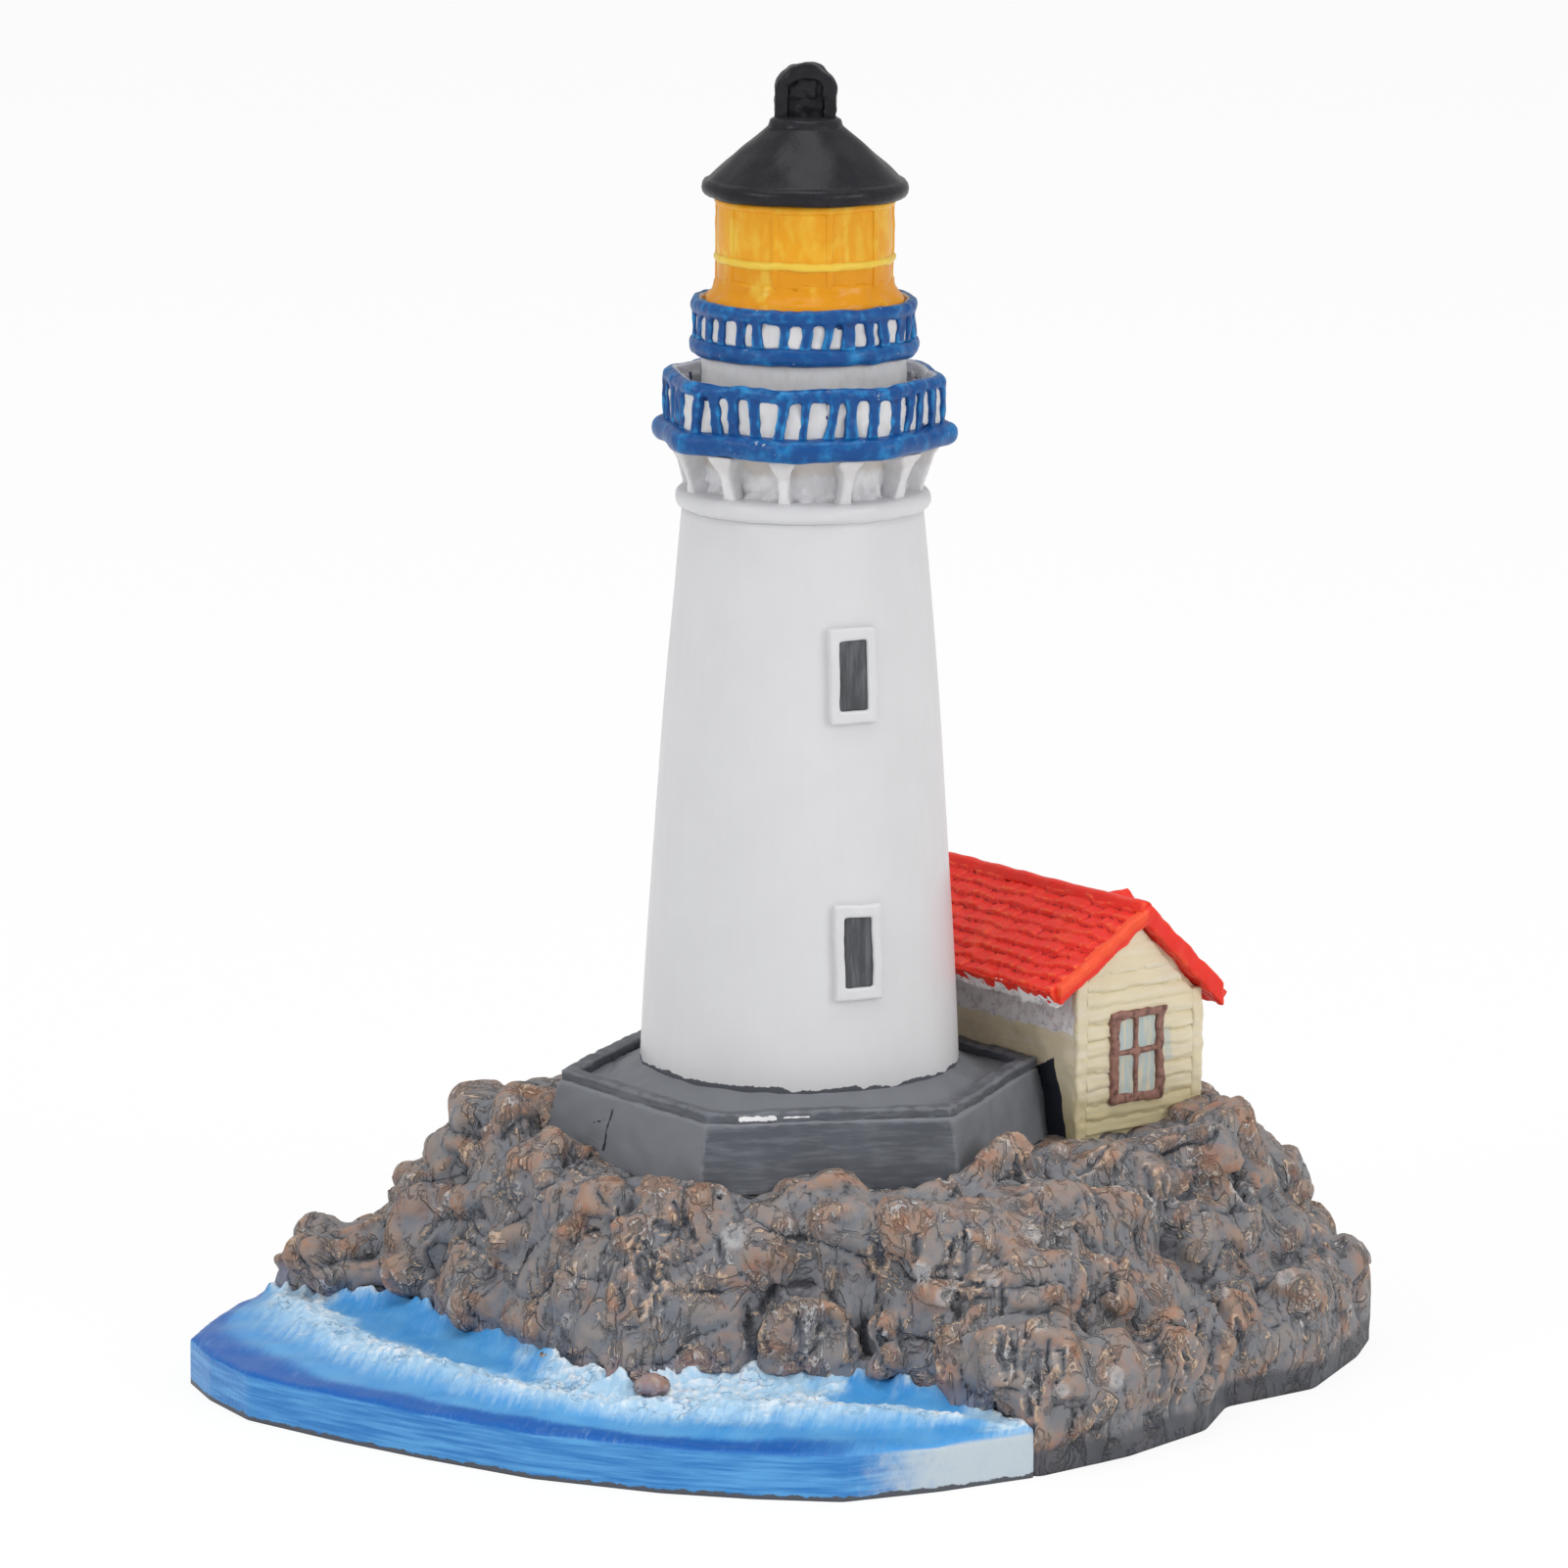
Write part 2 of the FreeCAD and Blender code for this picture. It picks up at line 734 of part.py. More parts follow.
def tower_window(name, level, shaft):
    """A plain framed window that stands a little proud of the shaft."""
    share = f"(({level}) + sizes.tower_window_height / 2) / sizes.tower_height"
    narrowing = "(sizes.tower_foot_radius - sizes.tower_top_radius)"
    wall = f"sizes.tower_foot_radius - {narrowing} * {share} + sizes.tower_belly"
    face = f"({wall} + sizes.tower_window_stand)"
    foot = total(PLINTH_TOP, level)

    def block(part, width, height, reach, sill):
        return standing_block(f"{name}_{part}", width, height, reach, total(foot, sill))

    clear_width = "(sizes.tower_window_width - 2 * sizes.tower_window_border)"
    clear_height = "(sizes.tower_window_height - 2 * sizes.tower_window_sill_border)"
    whole = block("whole", "sizes.tower_window_width", "sizes.tower_window_height", face, "0")
    hole_reach = total(face, "sizes.overrun")
    hole = block("hole", clear_width, clear_height, hole_reach, "sizes.tower_window_sill_border")
    frame = cut(cut(whole, hole, f"{name}_ring"), shaft, f"tower_window_frame_{name}")
    keep(frame, f"tower_window_frame_{name}")
    pane_reach = f"({face} - sizes.tower_window_recess)"
    pane = block("glass", clear_width, clear_height, pane_reach, "sizes.tower_window_sill_border")
    keep(cut(pane, shaft, f"tower_window_pane_{name}"), f"tower_window_pane_{name}")


def standing_block(name, width, height, reach, level):
    """A block from the axis out to reach, turned to the side of the tower's windows."""
    body = new_body(name)
    points = [
        (f"-({width}) / 2", f"-({reach})"),
        (f"({width}) / 2", f"-({reach})"),
        (f"({width}) / 2", "0"),
        (f"-({width}) / 2", "0"),
    ]
    sketch = outline_sketch(body, name + "_outline", "XY_Plane", points)
    pad_sketch(body, sketch, name + "_pad", height)
    raise_to(body, level)
    turn_by(body, "sizes.tower_window_turn * 1 deg")
    return body


def neck_ring():
    side = "sizes.neck_ring_round"
    points = ring_points(f"(sizes.neck_ring_radius - {side})", "0", "sizes.neck_ring_height")
    ring = turned_body("tower_neck_ring", TOWER_TOP, points, {1: side})
    return keep(ring, "tower_neck_ring")


def corbels():
    points = ring_points("sizes.corbel_drum_radius", "0", "sizes.corbel_height")
    drum = keep(turned_body("corbel_drum", CORBEL_FOOT, points), "corbel_drum")
    root = "(sizes.corbel_drum_radius - sizes.corbel_width)"
    profile = [
        (root, "0"),
        ("sizes.corbel_foot_radius", "0"),
        ("sizes.corbel_head_radius", "sizes.corbel_height"),
        (root, "sizes.corbel_height"),
    ]
    body = new_body("corbel_blanks")
    sketch = outline_sketch(body, "corbel_outline", "XZ_Plane", profile, {1: "-sizes.corbel_bow"})
    pad = pad_sketch(body, sketch, "corbel_pad", "sizes.corbel_width", symmetric=True)
    pattern_round(body, pad, sketch, "V_Axis", "corbel", "sizes.corbel_count")
    raise_to(body, CORBEL_FOOT)
    turn_by(body, "(sizes.corbel_turn - 90) * 1 deg")
    keep(cut(body, drum, "corbel_brackets"), "corbel_brackets")


# Lower gallery


def lower_gallery():
    turn = "sizes.lower_gallery_turn"
    corner = "sizes.lower_corner_round"
    inner = "sizes.lower_parapet_inner_radius"
    deck = prism_body(
        "lower_gallery_deck",
        LOWER_DECK_FOOT,
        "sizes.lower_deck_radius",
        "sizes.lower_deck_height",
        GALLERY_SIDES,
        turn,
        corner=corner,
        rim="sizes.lower_deck_round",
    )
    keep(deck, "lower_gallery_deck")
    parapet = prism_body(
        "lower_gallery_parapet",
        LOWER_DECK_TOP,
        "sizes.lower_parapet_radius",
        "sizes.lower_parapet_height",
        GALLERY_SIDES,
        turn,
        corner=corner,
        hole=inner,
    )
    keep(parapet, "lower_gallery_parapet")
    rail = prism_body(
        "lower_gallery_handrail",
        LOWER_RAIL_FOOT,
        "sizes.lower_rail_radius",
        "sizes.lower_rail_height",
        GALLERY_SIDES,
        turn,
        corner=corner,
        rim="sizes.lower_rail_round",
        hole=inner,
    )
    keep(rail, "lower_gallery_handrail")
    bars = radial_bars(
        "lower_baluster_bars",
        LOWER_DECK_TOP,
        "sizes.lower_baluster_count",
        "(sizes.lower_gallery_turn + 180 / sizes.lower_baluster_count) * 1 deg",
        "sizes.lower_baluster_width",
        f"({inner} - sizes.overrun)",
        "(sizes.lower_deck_radius + sizes.overrun)",
        "sizes.lower_parapet_height",
    )
    band = prism_body(
        "lower_baluster_band",
        LOWER_DECK_TOP,
        "(sizes.lower_parapet_radius + sizes.lower_baluster_stand)",
        "sizes.lower_parapet_height",
        GALLERY_SIDES,
        turn,
        corner=corner,
        hole=inner,
    )
    posts = common(bars, band, "lower_baluster_posts")
    keep(cut(posts, parapet, "lower_gallery_balusters"), "lower_gallery_balusters")


# Watch room and upper gallery


def watch_room():
    points = ring_points("sizes.watch_room_radius", "0", "sizes.watch_room_height")
    keep(turned_body("watch_room_drum", LOWER_DECK_TOP, points), "watch_room_drum")


def upper_gallery():
    bow = "sizes.upper_deck_bow"
    edge = f"(sizes.upper_deck_radius - {bow})"
    points = ring_points(edge, "0", "sizes.upper_deck_height")
    keep(turned_body("upper_gallery_deck", UPPER_DECK_FOOT, points, {1: bow}), "upper_gallery_deck")

    inner = "sizes.upper_parapet_inner_radius"
    points = ring_points("sizes.upper_parapet_radius", inner, "sizes.upper_parapet_height")
    parapet = keep(turned_body("upper_gallery_parapet", UPPER_DECK_TOP, points), "upper_gallery_parapet")

    bow = "sizes.upper_rail_bow"
    points = ring_points(f"(sizes.upper_rail_radius - {bow})", inner, "sizes.upper_rail_height")
    rail = turned_body("upper_gallery_handrail", UPPER_RAIL_FOOT, points, {1: bow})
    keep(rail, "upper_gallery_handrail")

    bars = radial_bars(
        "upper_baluster_bars",
        UPPER_DECK_TOP,
        "sizes.upper_baluster_count",
        "0 deg",
        "sizes.upper_baluster_width",
        inner,
        "(sizes.upper_parapet_radius + sizes.upper_baluster_stand)",
        "sizes.upper_parapet_height",
    )
    keep(cut(bars, parapet, "upper_gallery_balusters"), "upper_gallery_balusters")


# Lantern


def lantern():
    radius = "sizes.lantern_radius"
    foot_radius = "sizes.upper_parapet_inner_radius"
    plug_height = "(sizes.upper_parapet_height + sizes.upper_rail_height)"
    points = [
        ("0", "0"),
        (foot_radius, "0"),
        (foot_radius, plug_height),
        (radius, f"({plug_height} + sizes.lantern_sill_rise)"),
        ("0", f"({plug_height} + sizes.lantern_sill_rise)"),
    ]
    sill = turned_body("lantern_sill", UPPER_DECK_TOP, points, {2: "-sizes.lantern_sill_bow"})
    keep(sill, "lantern_sill")

    height = f"({ROOF_FOOT} - {GLAZING_FOOT})"
    points = ring_points(radius, "0", height)
    glazing = keep(turned_body("lantern_glazing", GLAZING_FOOT, points), "lantern_glazing")

    for label, level, stand, tall in (
        ("lantern_belt_rail", BELT_FOOT, "sizes.belt_rail_stand", "sizes.belt_rail_height"),
        ("lantern_head_ring", HEAD_RING_FOOT, "sizes.head_ring_stand", "sizes.head_ring_height"),
    ):
        ring = turned_body(label, level, ring_points(total(radius, stand), radius, tall))
        keep(ring, label)

    bars = []
    for name, level, tall in (
        ("lower_mullion_bars", GLAZING_FOOT, "sizes.lower_glazing_height"),
        ("upper_mullion_bars", BELT_TOP, "sizes.upper_glazing_height"),
    ):
        bars.append(
            radial_bars(
                name,
                level,
                "sizes.mullion_count",
                "sizes.mullion_turn * 1 deg",
                "sizes.mullion_width",
                f"({radius} - sizes.mullion_width)",
                f"({radius} + sizes.mullion_stand)",
                tall,
            )
        )
    both = document.addObject("Part::Compound", "mullion_bars")
    both.Links = bars
    keep(cut(both, glazing, "lantern_mullions"), "lantern_mullions")


def lantern_roof():
    points = [
        ("0", "0"),
        ("(sizes.roof_rim_radius - sizes.roof_lip_bow)", "0"),
        ("sizes.roof_shoulder_radius", "sizes.roof_lip_height"),
        ("sizes.roof_neck_radius", "(sizes.roof_lip_height + sizes.roof_rise)"),
        ("0", "(sizes.roof_lip_height + sizes.roof_rise)"),
    ]
    bows = {1: "sizes.roof_lip_bow", 2: "sizes.roof_bow"}
    keep(turned_body("lantern_roof", ROOF_FOOT, points, bows), "lantern_roof")
    points = [
        ("0", "0"),
        ("sizes.roof_neck_radius", "0"),
        ("sizes.collar_top_radius", "sizes.collar_height"),
        ("0", "sizes.collar_height"),
    ]
    keep(turned_body("roof_collar", ROOF_TOP, points), "roof_collar")


def finial():
    """An arched loop with a thinner web that fills it."""
    outer = "sizes.finial_half_width"
    inner = "(sizes.finial_half_width - sizes.finial_leg_width)"
    leg = "sizes.finial_leg_height"
    rise = "sizes.finial_crown_rise"
    crown = f"({rise} - sizes.finial_crown_width)"
    loop = new_body("finial_loop")
    points = [
        (f"-{inner}", "0"),
        (f"-{outer}", "0"),
        (f"-{outer}", leg),
        (outer, leg),
        (outer, "0"),
        (inner, "0"),
        (inner, leg),
        (f"-{inner}", leg),
    ]
    bows = {2: f"-{rise}", 6: crown}
    sketch = outline_sketch(loop, "finial_outline", "XZ_Plane", points, bows)
    pad_sketch(loop, sketch, "finial_pad", "sizes.finial_thickness", symmetric=True)
    raise_to(loop, COLLAR_TOP)
    keep(loop, "finial_loop")
    web = new_body("finial_web")
    points = [(f"-{inner}", "0"), (inner, "0"), (inner, leg), (f"-{inner}", leg)]
    sketch = outline_sketch(web, "finial_web_outline", "XZ_Plane", points, {2: crown})
    pad_sketch(web, sketch, "finial_web_pad", "sizes.finial_web_thickness", symmetric=True)
    raise_to(web, COLLAR_TOP)
    keep(web, "finial_web")


# Cottage, in its own frame: X along the gable wall, Y along the ridge away from it, Z up

RIDGE_ACROSS = "sizes.cottage_width / 2"
LEFT, RIGHT = -1, 1
WALL_HEIGHT = {LEFT: "sizes.cottage_left_wall_height", RIGHT: "sizes.cottage_right_wall_height"}
OVERHANG = {LEFT: "sizes.cottage_left_overhang", RIGHT: "sizes.cottage_right_overhang"}


def pitch_of(side):
    """Rise of a slope for each step across."""
    return f"((sizes.cottage_ridge_height - {WALL_HEIGHT[side]}) / (sizes.cottage_width / 2))"


def run_of(side):
    """Way across from the ridge to the edge of the eave."""
    return f"(sizes.cottage_width / 2 + {OVERHANG[side]})"


def eave_height(side):
    """Height of the underside of the roof at the edge of the eave."""
    return f"({WALL_HEIGHT[side]} - {pitch_of(side)} * {OVERHANG[side]})"


def upright_thickness(side):
    return f"(sizes.cottage_roof_thickness * sqrt(1 + {pitch_of(side)}^2))"


def place_cottage(thing):
    """Puts a thing that is drawn in the cottage's own frame where the cottage stands."""
    turn = "(sizes.cottage_turn * 1 deg)"
    across = "(sizes.tower_foot_radius + sizes.cottage_gap)"
    along = "(-sizes.cottage_front_distance)"
    thing.setExpression("Placement.Base.x", f"{across} * cos({turn}) - {along} * sin({turn})")
    thing.setExpression("Placement.Base.y", f"{across} * sin({turn}) + {along} * cos({turn})")
    raise_to(thing, LEDGE)
    turn_by(thing, turn)


def cottage_pad(label, points, length, start="0", bows=None):
    """A solid with an outline across the cottage, drawn out along the ridge from start."""
    body = new_body(label)
    sketch = outline_sketch(body, label + "_outline", "XZ_Plane", points, bows)
    sketch.setExpression("AttachmentOffset.Base.z", f"-({start}) - ({length})")
    pad_sketch(body, sketch, label + "_pad", length)
    place_cottage(body)
    return body


def gable_points():
    return [
        ("0", "0"),
        ("sizes.cottage_width", "0"),
        ("sizes.cottage_width", "sizes.cottage_right_wall_height"),
        (RIDGE_ACROSS, "sizes.cottage_ridge_height"),
        ("0", "sizes.cottage_left_wall_height"),
    ]


def cottage_walls():
    return keep(cottage_pad("cottage_walls", gable_points(), "sizes.cottage_length"), "cottage_walls")


def block_points(left, right, low, high):
    return [(left, low), (right, low), (right, high), (left, high)]


def cottage_window():
    left = "sizes.cottage_window_offset"
    right = total(left, "sizes.cottage_window_width")
    low = "sizes.cottage_window_sill_level"
    high = total(low, "sizes.cottage_window_height")
    border = "sizes.cottage_window_border"
    inner_left, inner_right = f"({left} + {border})", f"({right} - {border})"
    inner_low, inner_high = f"({low} + {border})", f"({high} - {border})"
    inner = (inner_left, inner_right, inner_low, inner_high)

    def plate(label, edges, stand):
        return cottage_pad(label, block_points(*edges), stand, f"-({stand})")

    outline = plate("cottage_window_block", (left, right, low, high), "sizes.cottage_window_stand")
    hole = cottage_pad("cottage_window_hole", block_points(*inner), "2 * sizes.overrun", "-sizes.overrun")
    keep(cut(outline, hole, "cottage_window_frame"), "cottage_window_frame")

    pane = plate("cottage_pane_block", inner, "sizes.cottage_pane_stand")
    keep(pane, "cottage_window_pane")

    half = "sizes.cottage_muntin_width / 2"
    middle = f"(({left} + {right}) / 2)"
    centre = f"(({low} + {high}) / 2)"
    reach = "(sizes.cottage_pane_stand + sizes.cottage_muntin_stand)"
    post_edges = (f"({middle} - {half})", f"({middle} + {half})", inner_low, inner_high)
    post = plate("cottage_muntin_post", post_edges, reach)
    rail_edges = (inner_left, inner_right, f"({centre} - {half})", f"({centre} + {half})")
    rail = plate("cottage_muntin_rail", rail_edges, reach)
    cross = document.addObject("Part::Fuse", "cottage_muntin_cross")
    cross.Base = post
    cross.Tool = rail
    keep(cut(cross, pane, "cottage_window_muntins"), "cottage_window_muntins")
    return outline


def cottage_cladding(window_block):
    """Weatherboards between two corner boards on the gable wall."""
    stand = "sizes.corner_board_stand"
    board = "sizes.corner_board_width"
    right = "sizes.cottage_width"
    top = "sizes.cottage_ridge_height"
    gable = cottage_pad("gable_skin", gable_points(), stand, f"-{stand}")
    corners = []
    for name, near, far in (("left", "0", board), ("right", f"({right} - {board})", right)):
        edges = block_points(near, far, "0", top)
        corners.append(cottage_pad(f"{name}_corner_block", edges, stand, f"-{stand}"))
    both = document.addObject("Part::Compound", "corner_blocks")
    both.Links = corners
    keep(common(both, gable, "cottage_corner_boards"), "cottage_corner_boards")

    side = total(board, "sizes.clapboard_side_margin")
    pitch = "sizes.clapboard_pitch"
    stand = "sizes.clapboard_stand"
    courses = []
    count = int(size("cottage_ridge_height") / size("clapboard_pitch"))
    for course in range(count):
        low = f"({course} * {pitch})"
        high = f"({course + 1} * {pitch} - sizes.clapboard_shadow_gap)"
        points = block_points(side, f"({right} - {side})", low, high)
        courses.append(cottage_pad(f"clapboard_{course}", points, stand, f"-{stand}"))
    rows = document.addObject("Part::Compound", "clapboard_rows")
    rows.Links = courses
    trimmed = common(rows, gable, "clapboards_in_gable")
    keep(cut(trimmed, window_block, "cottage_clapboards"), "cottage_clapboards")


def roof_slope_points(side):
    """Section across one slope: stepped shingle courses over a smooth underside."""
    count = int(size("shingle_course_count"))
    run = run_of(side)
    if side == LEFT:
        run = f"({run} - sizes.fascia_thickness)"
    foot = f"(sizes.cottage_ridge_height - {pitch_of(side)} * {run})"

    def across(share):
        return f"({RIDGE_ACROSS} + {side} * {run} * (1 - {share}))"

    def under(share):
        return f"({foot} + {pitch_of(side)} * {run} * {share})"

    points = [(across("1"), under("1")), (across("0"), under("0"))]
    for course in range(count):
        low = f"{course} / {count}"
        high = f"{course + 1} / {count}"
        points.append((across(low), f"({under(low)} + {upright_thickness(side)} + sizes.shingle_step)"))
        points.append((across(high), f"({under(high)} + {upright_thickness(side)})"))
    return points


def rake_points(side):
    """Section of the board that closes a slope at the gable."""
    top = total(upright_thickness(side), "sizes.shingle_step")
    end = f"({RIDGE_ACROSS} + {side} * {run_of(side)})"
    ridge = "sizes.cottage_ridge_height"
    return [
        (RIDGE_ACROSS, f"({ridge} - sizes.rake_board_drop)"),
        (end, f"({eave_height(side)} - sizes.rake_board_drop)"),
        (end, f"({eave_height(side)} + {top})"),
        (RIDGE_ACROSS, f"({ridge} + {top})"),
    ]


def cottage_roof():
    length = "(sizes.cottage_length + 2 * sizes.cottage_rake_overhang - sizes.rake_board_thickness)"
    start = "(sizes.rake_board_thickness - sizes.cottage_rake_overhang)"
    slopes = {}
    for label, side in (("cottage_roof_left", LEFT), ("cottage_roof_right", RIGHT)):
        slopes[side] = keep(cottage_pad(label, roof_slope_points(side), length, start), label)

    rakes = []
    for label, side in (("left_rake", LEFT), ("right_rake", RIGHT)):
        thickness = "sizes.rake_board_thickness"
        rakes.append(cottage_pad(label, rake_points(side), thickness, "-sizes.cottage_rake_overhang"))
    pair = document.addObject("Part::Compound", "rake_pair")
    pair.Links = rakes
    keep(pair, "cottage_rake_boards")

    cap = ridge_cap(list(slopes.values()), length, start)
    cottage_fascia(length, start)
    cottage_dormer(slopes[RIGHT], cap)


def ridge_cap(slopes, length, start):
    """A bent strip over the joint of the two slopes."""
    half = "(sizes.ridge_cap_width / 2)"
    ridge = "sizes.cottage_ridge_height"

    def top(side, inset):
        cover = total(ridge, upright_thickness(side), "sizes.shingle_step", "sizes.ridge_cap_thickness")
        return f"({cover} - {pitch_of(side)} * {inset})"

    points = [
        (f"({RIDGE_ACROSS} - {half})", ridge),
        (f"({RIDGE_ACROSS} + {half})", ridge),
        (f"({RIDGE_ACROSS} + {half})", top(RIGHT, half)),
        (RIDGE_ACROSS, top(LEFT, "0")),
        (f"({RIDGE_ACROSS} - {half})", top(LEFT, half)),
    ]
    block = cottage_pad("ridge_cap_block", points, length, start)
    walls = document.getObject("cottage_walls")
    return keep(cut_all(block, slopes + [walls], "ridge_cap"), "cottage_ridge_cap")


def cottage_fascia(length, start):
    """The white board along the edge of the left eave."""
    drop = "sizes.fascia_drop"
    outer = f"(-{OVERHANG[LEFT]})"
    low = f"({eave_height(LEFT)} - {drop})"
    high = f"({eave_height(LEFT)} + {upright_thickness(LEFT)} - {drop})"
    points = block_points(outer, f"({outer} + sizes.fascia_thickness)", low, high)
    keep(cottage_pad("cottage_eave_fascia", points, length, start), "cottage_eave_fascia")


def cottage_dormer(slope, cap):
    """A small gabled dormer on the far slope; its ridge runs across the cottage."""
    body = new_body("dormer_block")
    cover = total("sizes.cottage_ridge_height", upright_thickness(LEFT), "sizes.shingle_step")
    peak = f"({cover} - sizes.dormer_drop)"
    half = "(sizes.dormer_width / 2)"
    near = "sizes.dormer_setback"
    far = total(near, "sizes.dormer_width")
    foot = "sizes.cottage_right_wall_height"
    points = [
        (near, foot),
        (far, foot),
        (far, f"({peak} - {half})"),
        (total(near, half), peak),
        (near, f"({peak} - {half})"),
    ]
    sketch = outline_sketch(body, "dormer_outline", "YZ_Plane", points)
    sketch.setExpression("AttachmentOffset.Base.z", RIDGE_ACROSS)
    pad_sketch(body, sketch, "dormer_pad", "sizes.dormer_reach")
    place_cottage(body)
    walls = document.getObject("cottage_walls")
    keep(cut_all(body, [slope, cap, walls], "dormer"), "cottage_dormer")


# Boulders: place along the coast and then the shore as a point's number, share of the way in to
# the ledge, shares of the spacing of those points and of the boulder's thickness, then twist and tilt
BOULDER_SHARES = {
    "boulders_left": (
        (16.6, 0.12, 1.10, 0.50, -6, 4),
        (16.7, 0.58, 1.25, 0.55, 8, -5),
        (17.2, 0.84, 1.40, 0.45, -4, 6),
        (17.4, 0.38, 1.10, 0.40, 5, -4),
        (18.2, 0.96, 1.60, 0.60, -8, 5),
        (18.7, 0.12, 1.20, 0.50, 7, 6),
        (18.9, 0.64, 1.40, 0.60, -5, -6),
        (19.4, 0.42, 1.00, 0.50, 9, 4),
        (20.0, 0.96, 1.60, 0.60, -7, 6),
        (20.5, 0.14, 1.10, 0.65, 6, -4),
        (20.6, 0.56, 1.20, 0.75, -8, 5),
        (21.6, 0.84, 1.20, 0.75, 7, 6),
        (21.8, 0.28, 1.10, 0.85, -6, -5),
    ),
    "boulders_front": (
        (22.7, 0.46, 0.95, 0.85, 5, 6),
        (22.9, 0.92, 1.10, 0.70, -7, 5),
        (23.8, 0.50, 0.95, 1.10, 8, -6),
        (24.2, 0.94, 1.30, 0.75, -5, 5),
        (24.9, 0.26, 1.00, 1.05, 6, 6),
        (25.5, 0.78, 1.05, 0.85, -8, 4),
        (26.1, 0.26, 1.10, 1.10, 7, 5),
        (26.6, 0.84, 0.90, 0.75, -6, -5),
        (27.3, 0.28, 0.90, 1.05, 5, 6),
        (27.8, 0.84, 1.50, 0.80, -4, 4),
        (28.3, 0.24, 1.10, 1.00, 8, -4),
        (29.2, 0.60, 1.80, 0.50, -5, 5),
    ),
    "boulders_right": (
        (0.0, 0.24, 0.90, 1.10, -8, 5),
        (0.4, 0.58, 0.90, 0.90, 6, 6),
        (0.8, 0.12, 0.60, 1.00, 9, -5),
        (0.9, 0.88, 1.00, 0.75, -5, 4),
        (1.3, 0.50, 0.50, 0.95, 7, 6),
        (1.7, 0.12, 0.45, 1.05, -9, 5),
        (1.9, 0.78, 0.90, 0.75, -6, -4),
        (2.1, 0.44, 0.75, 0.75, 8, 6),
        (2.5, 0.12, 0.50, 0.95, 5, 5),
        (3.2, 0.14, 0.60, 0.85, -7, 6),
        (3.3, 0.92, 0.95, 0.85, 6, -5),
        (3.4, 0.58, 0.90, 0.95, -8, 5),
        (4.2, 0.16, 0.75, 0.85, 7, 4),
        (4.6, 0.70, 0.75, 0.60, -5, 6),
        (4.7, 0.44, 0.85, 0.55, 6, -4),
        (5.0, 0.92, 0.95, 0.90, -6, 5),
        (5.4, 0.14, 0.60, 0.75, 8, 6),
    ),
    "boulders_back": (
        (6.0, 0.60, 0.90, 0.85, -7, 6),
        (6.6, 0.14, 0.75, 0.80, 6, 5),
        (6.8, 0.86, 0.80, 0.85, -5, -6),
        (7.4, 0.50, 0.60, 0.90, 8, 4),
        (8.1, 0.14, 0.55, 0.85, -8, 6),
        (8.4, 0.84, 0.80, 0.85, 5, 5),
        (8.9, 0.48, 0.65, 0.95, -6, -5),
        (9.7, 0.14, 0.60, 0.80, 7, 6),
        (9.7, 0.86, 0.80, 0.85, -7, 5),
        (10.4, 0.50, 0.60, 1.10, 6, 4),
        (11.0, 0.14, 0.55, 0.95, -5, 6),
        (11.2, 0.84, 0.85, 0.90, 8, -5),
        (11.9, 0.48, 0.65, 1.05, -8, 5),
        (12.5, 0.16, 0.60, 0.90, 5, 6),
        (12.7, 0.84, 0.80, 0.85, -6, 4),
        (13.4, 0.50, 0.65, 1.05, 7, -6),
        (14.0, 0.16, 0.60, 0.85, -7, 5),
        (14.3, 0.82, 0.95, 0.80, 6, 5),
        (15.0, 0.48, 0.75, 0.75, -5, 6),
        (15.7, 0.18, 0.70, 0.60, 8, 4),
        (15.9, 0.80, 1.15, 0.70, -6, 5),
    ),
}
# How deep a boulder is, as a share of the slope, and how far it leans back with the slope
BOULDER_DEPTH_SHARE = 0.24
BOULDER_LEAN_SHARE = 0.8


def between(points, position):
    """The point at a fractional place along a ring of points."""
    index = int(position)
    first, second = points[index % len(points)], points[(index + 1) % len(points)]
    return first + (second - first) * (position - index)


def slope_share(in_share):
    """Share of the rise that the slope has climbed at a share of the way in."""
    corners = ((0.0, 0.0),) + tuple((inward, up) for up, inward in SLOPE_RING_SHARES) + ((1.0, 1.0),)
    for (start, low), (end, high) in zip(corners, corners[1:]):
        if in_share <= end:
            return low + (high - low) * (in_share - start) / (end - start)
    return 1.0


def slope_place(position, in_share):
    """A point on the slope, and the angle of the way in towards the ledge there."""
    foot = between([base_place(share) for share in COAST_SHARES + SHORE_SHARES], position)
    ledge = between([ledge_place(share) for share in LEDGE_SHARES], position)
    inward = ledge - foot
    rise = size("ledge_height") - size("rock_edge_height")
    height = size("rock_edge_height") + rise * slope_share(in_share)
    angle = math.degrees(math.atan2(inward.y, inward.x))
    return at_height(foot + inward * in_share, height), angle


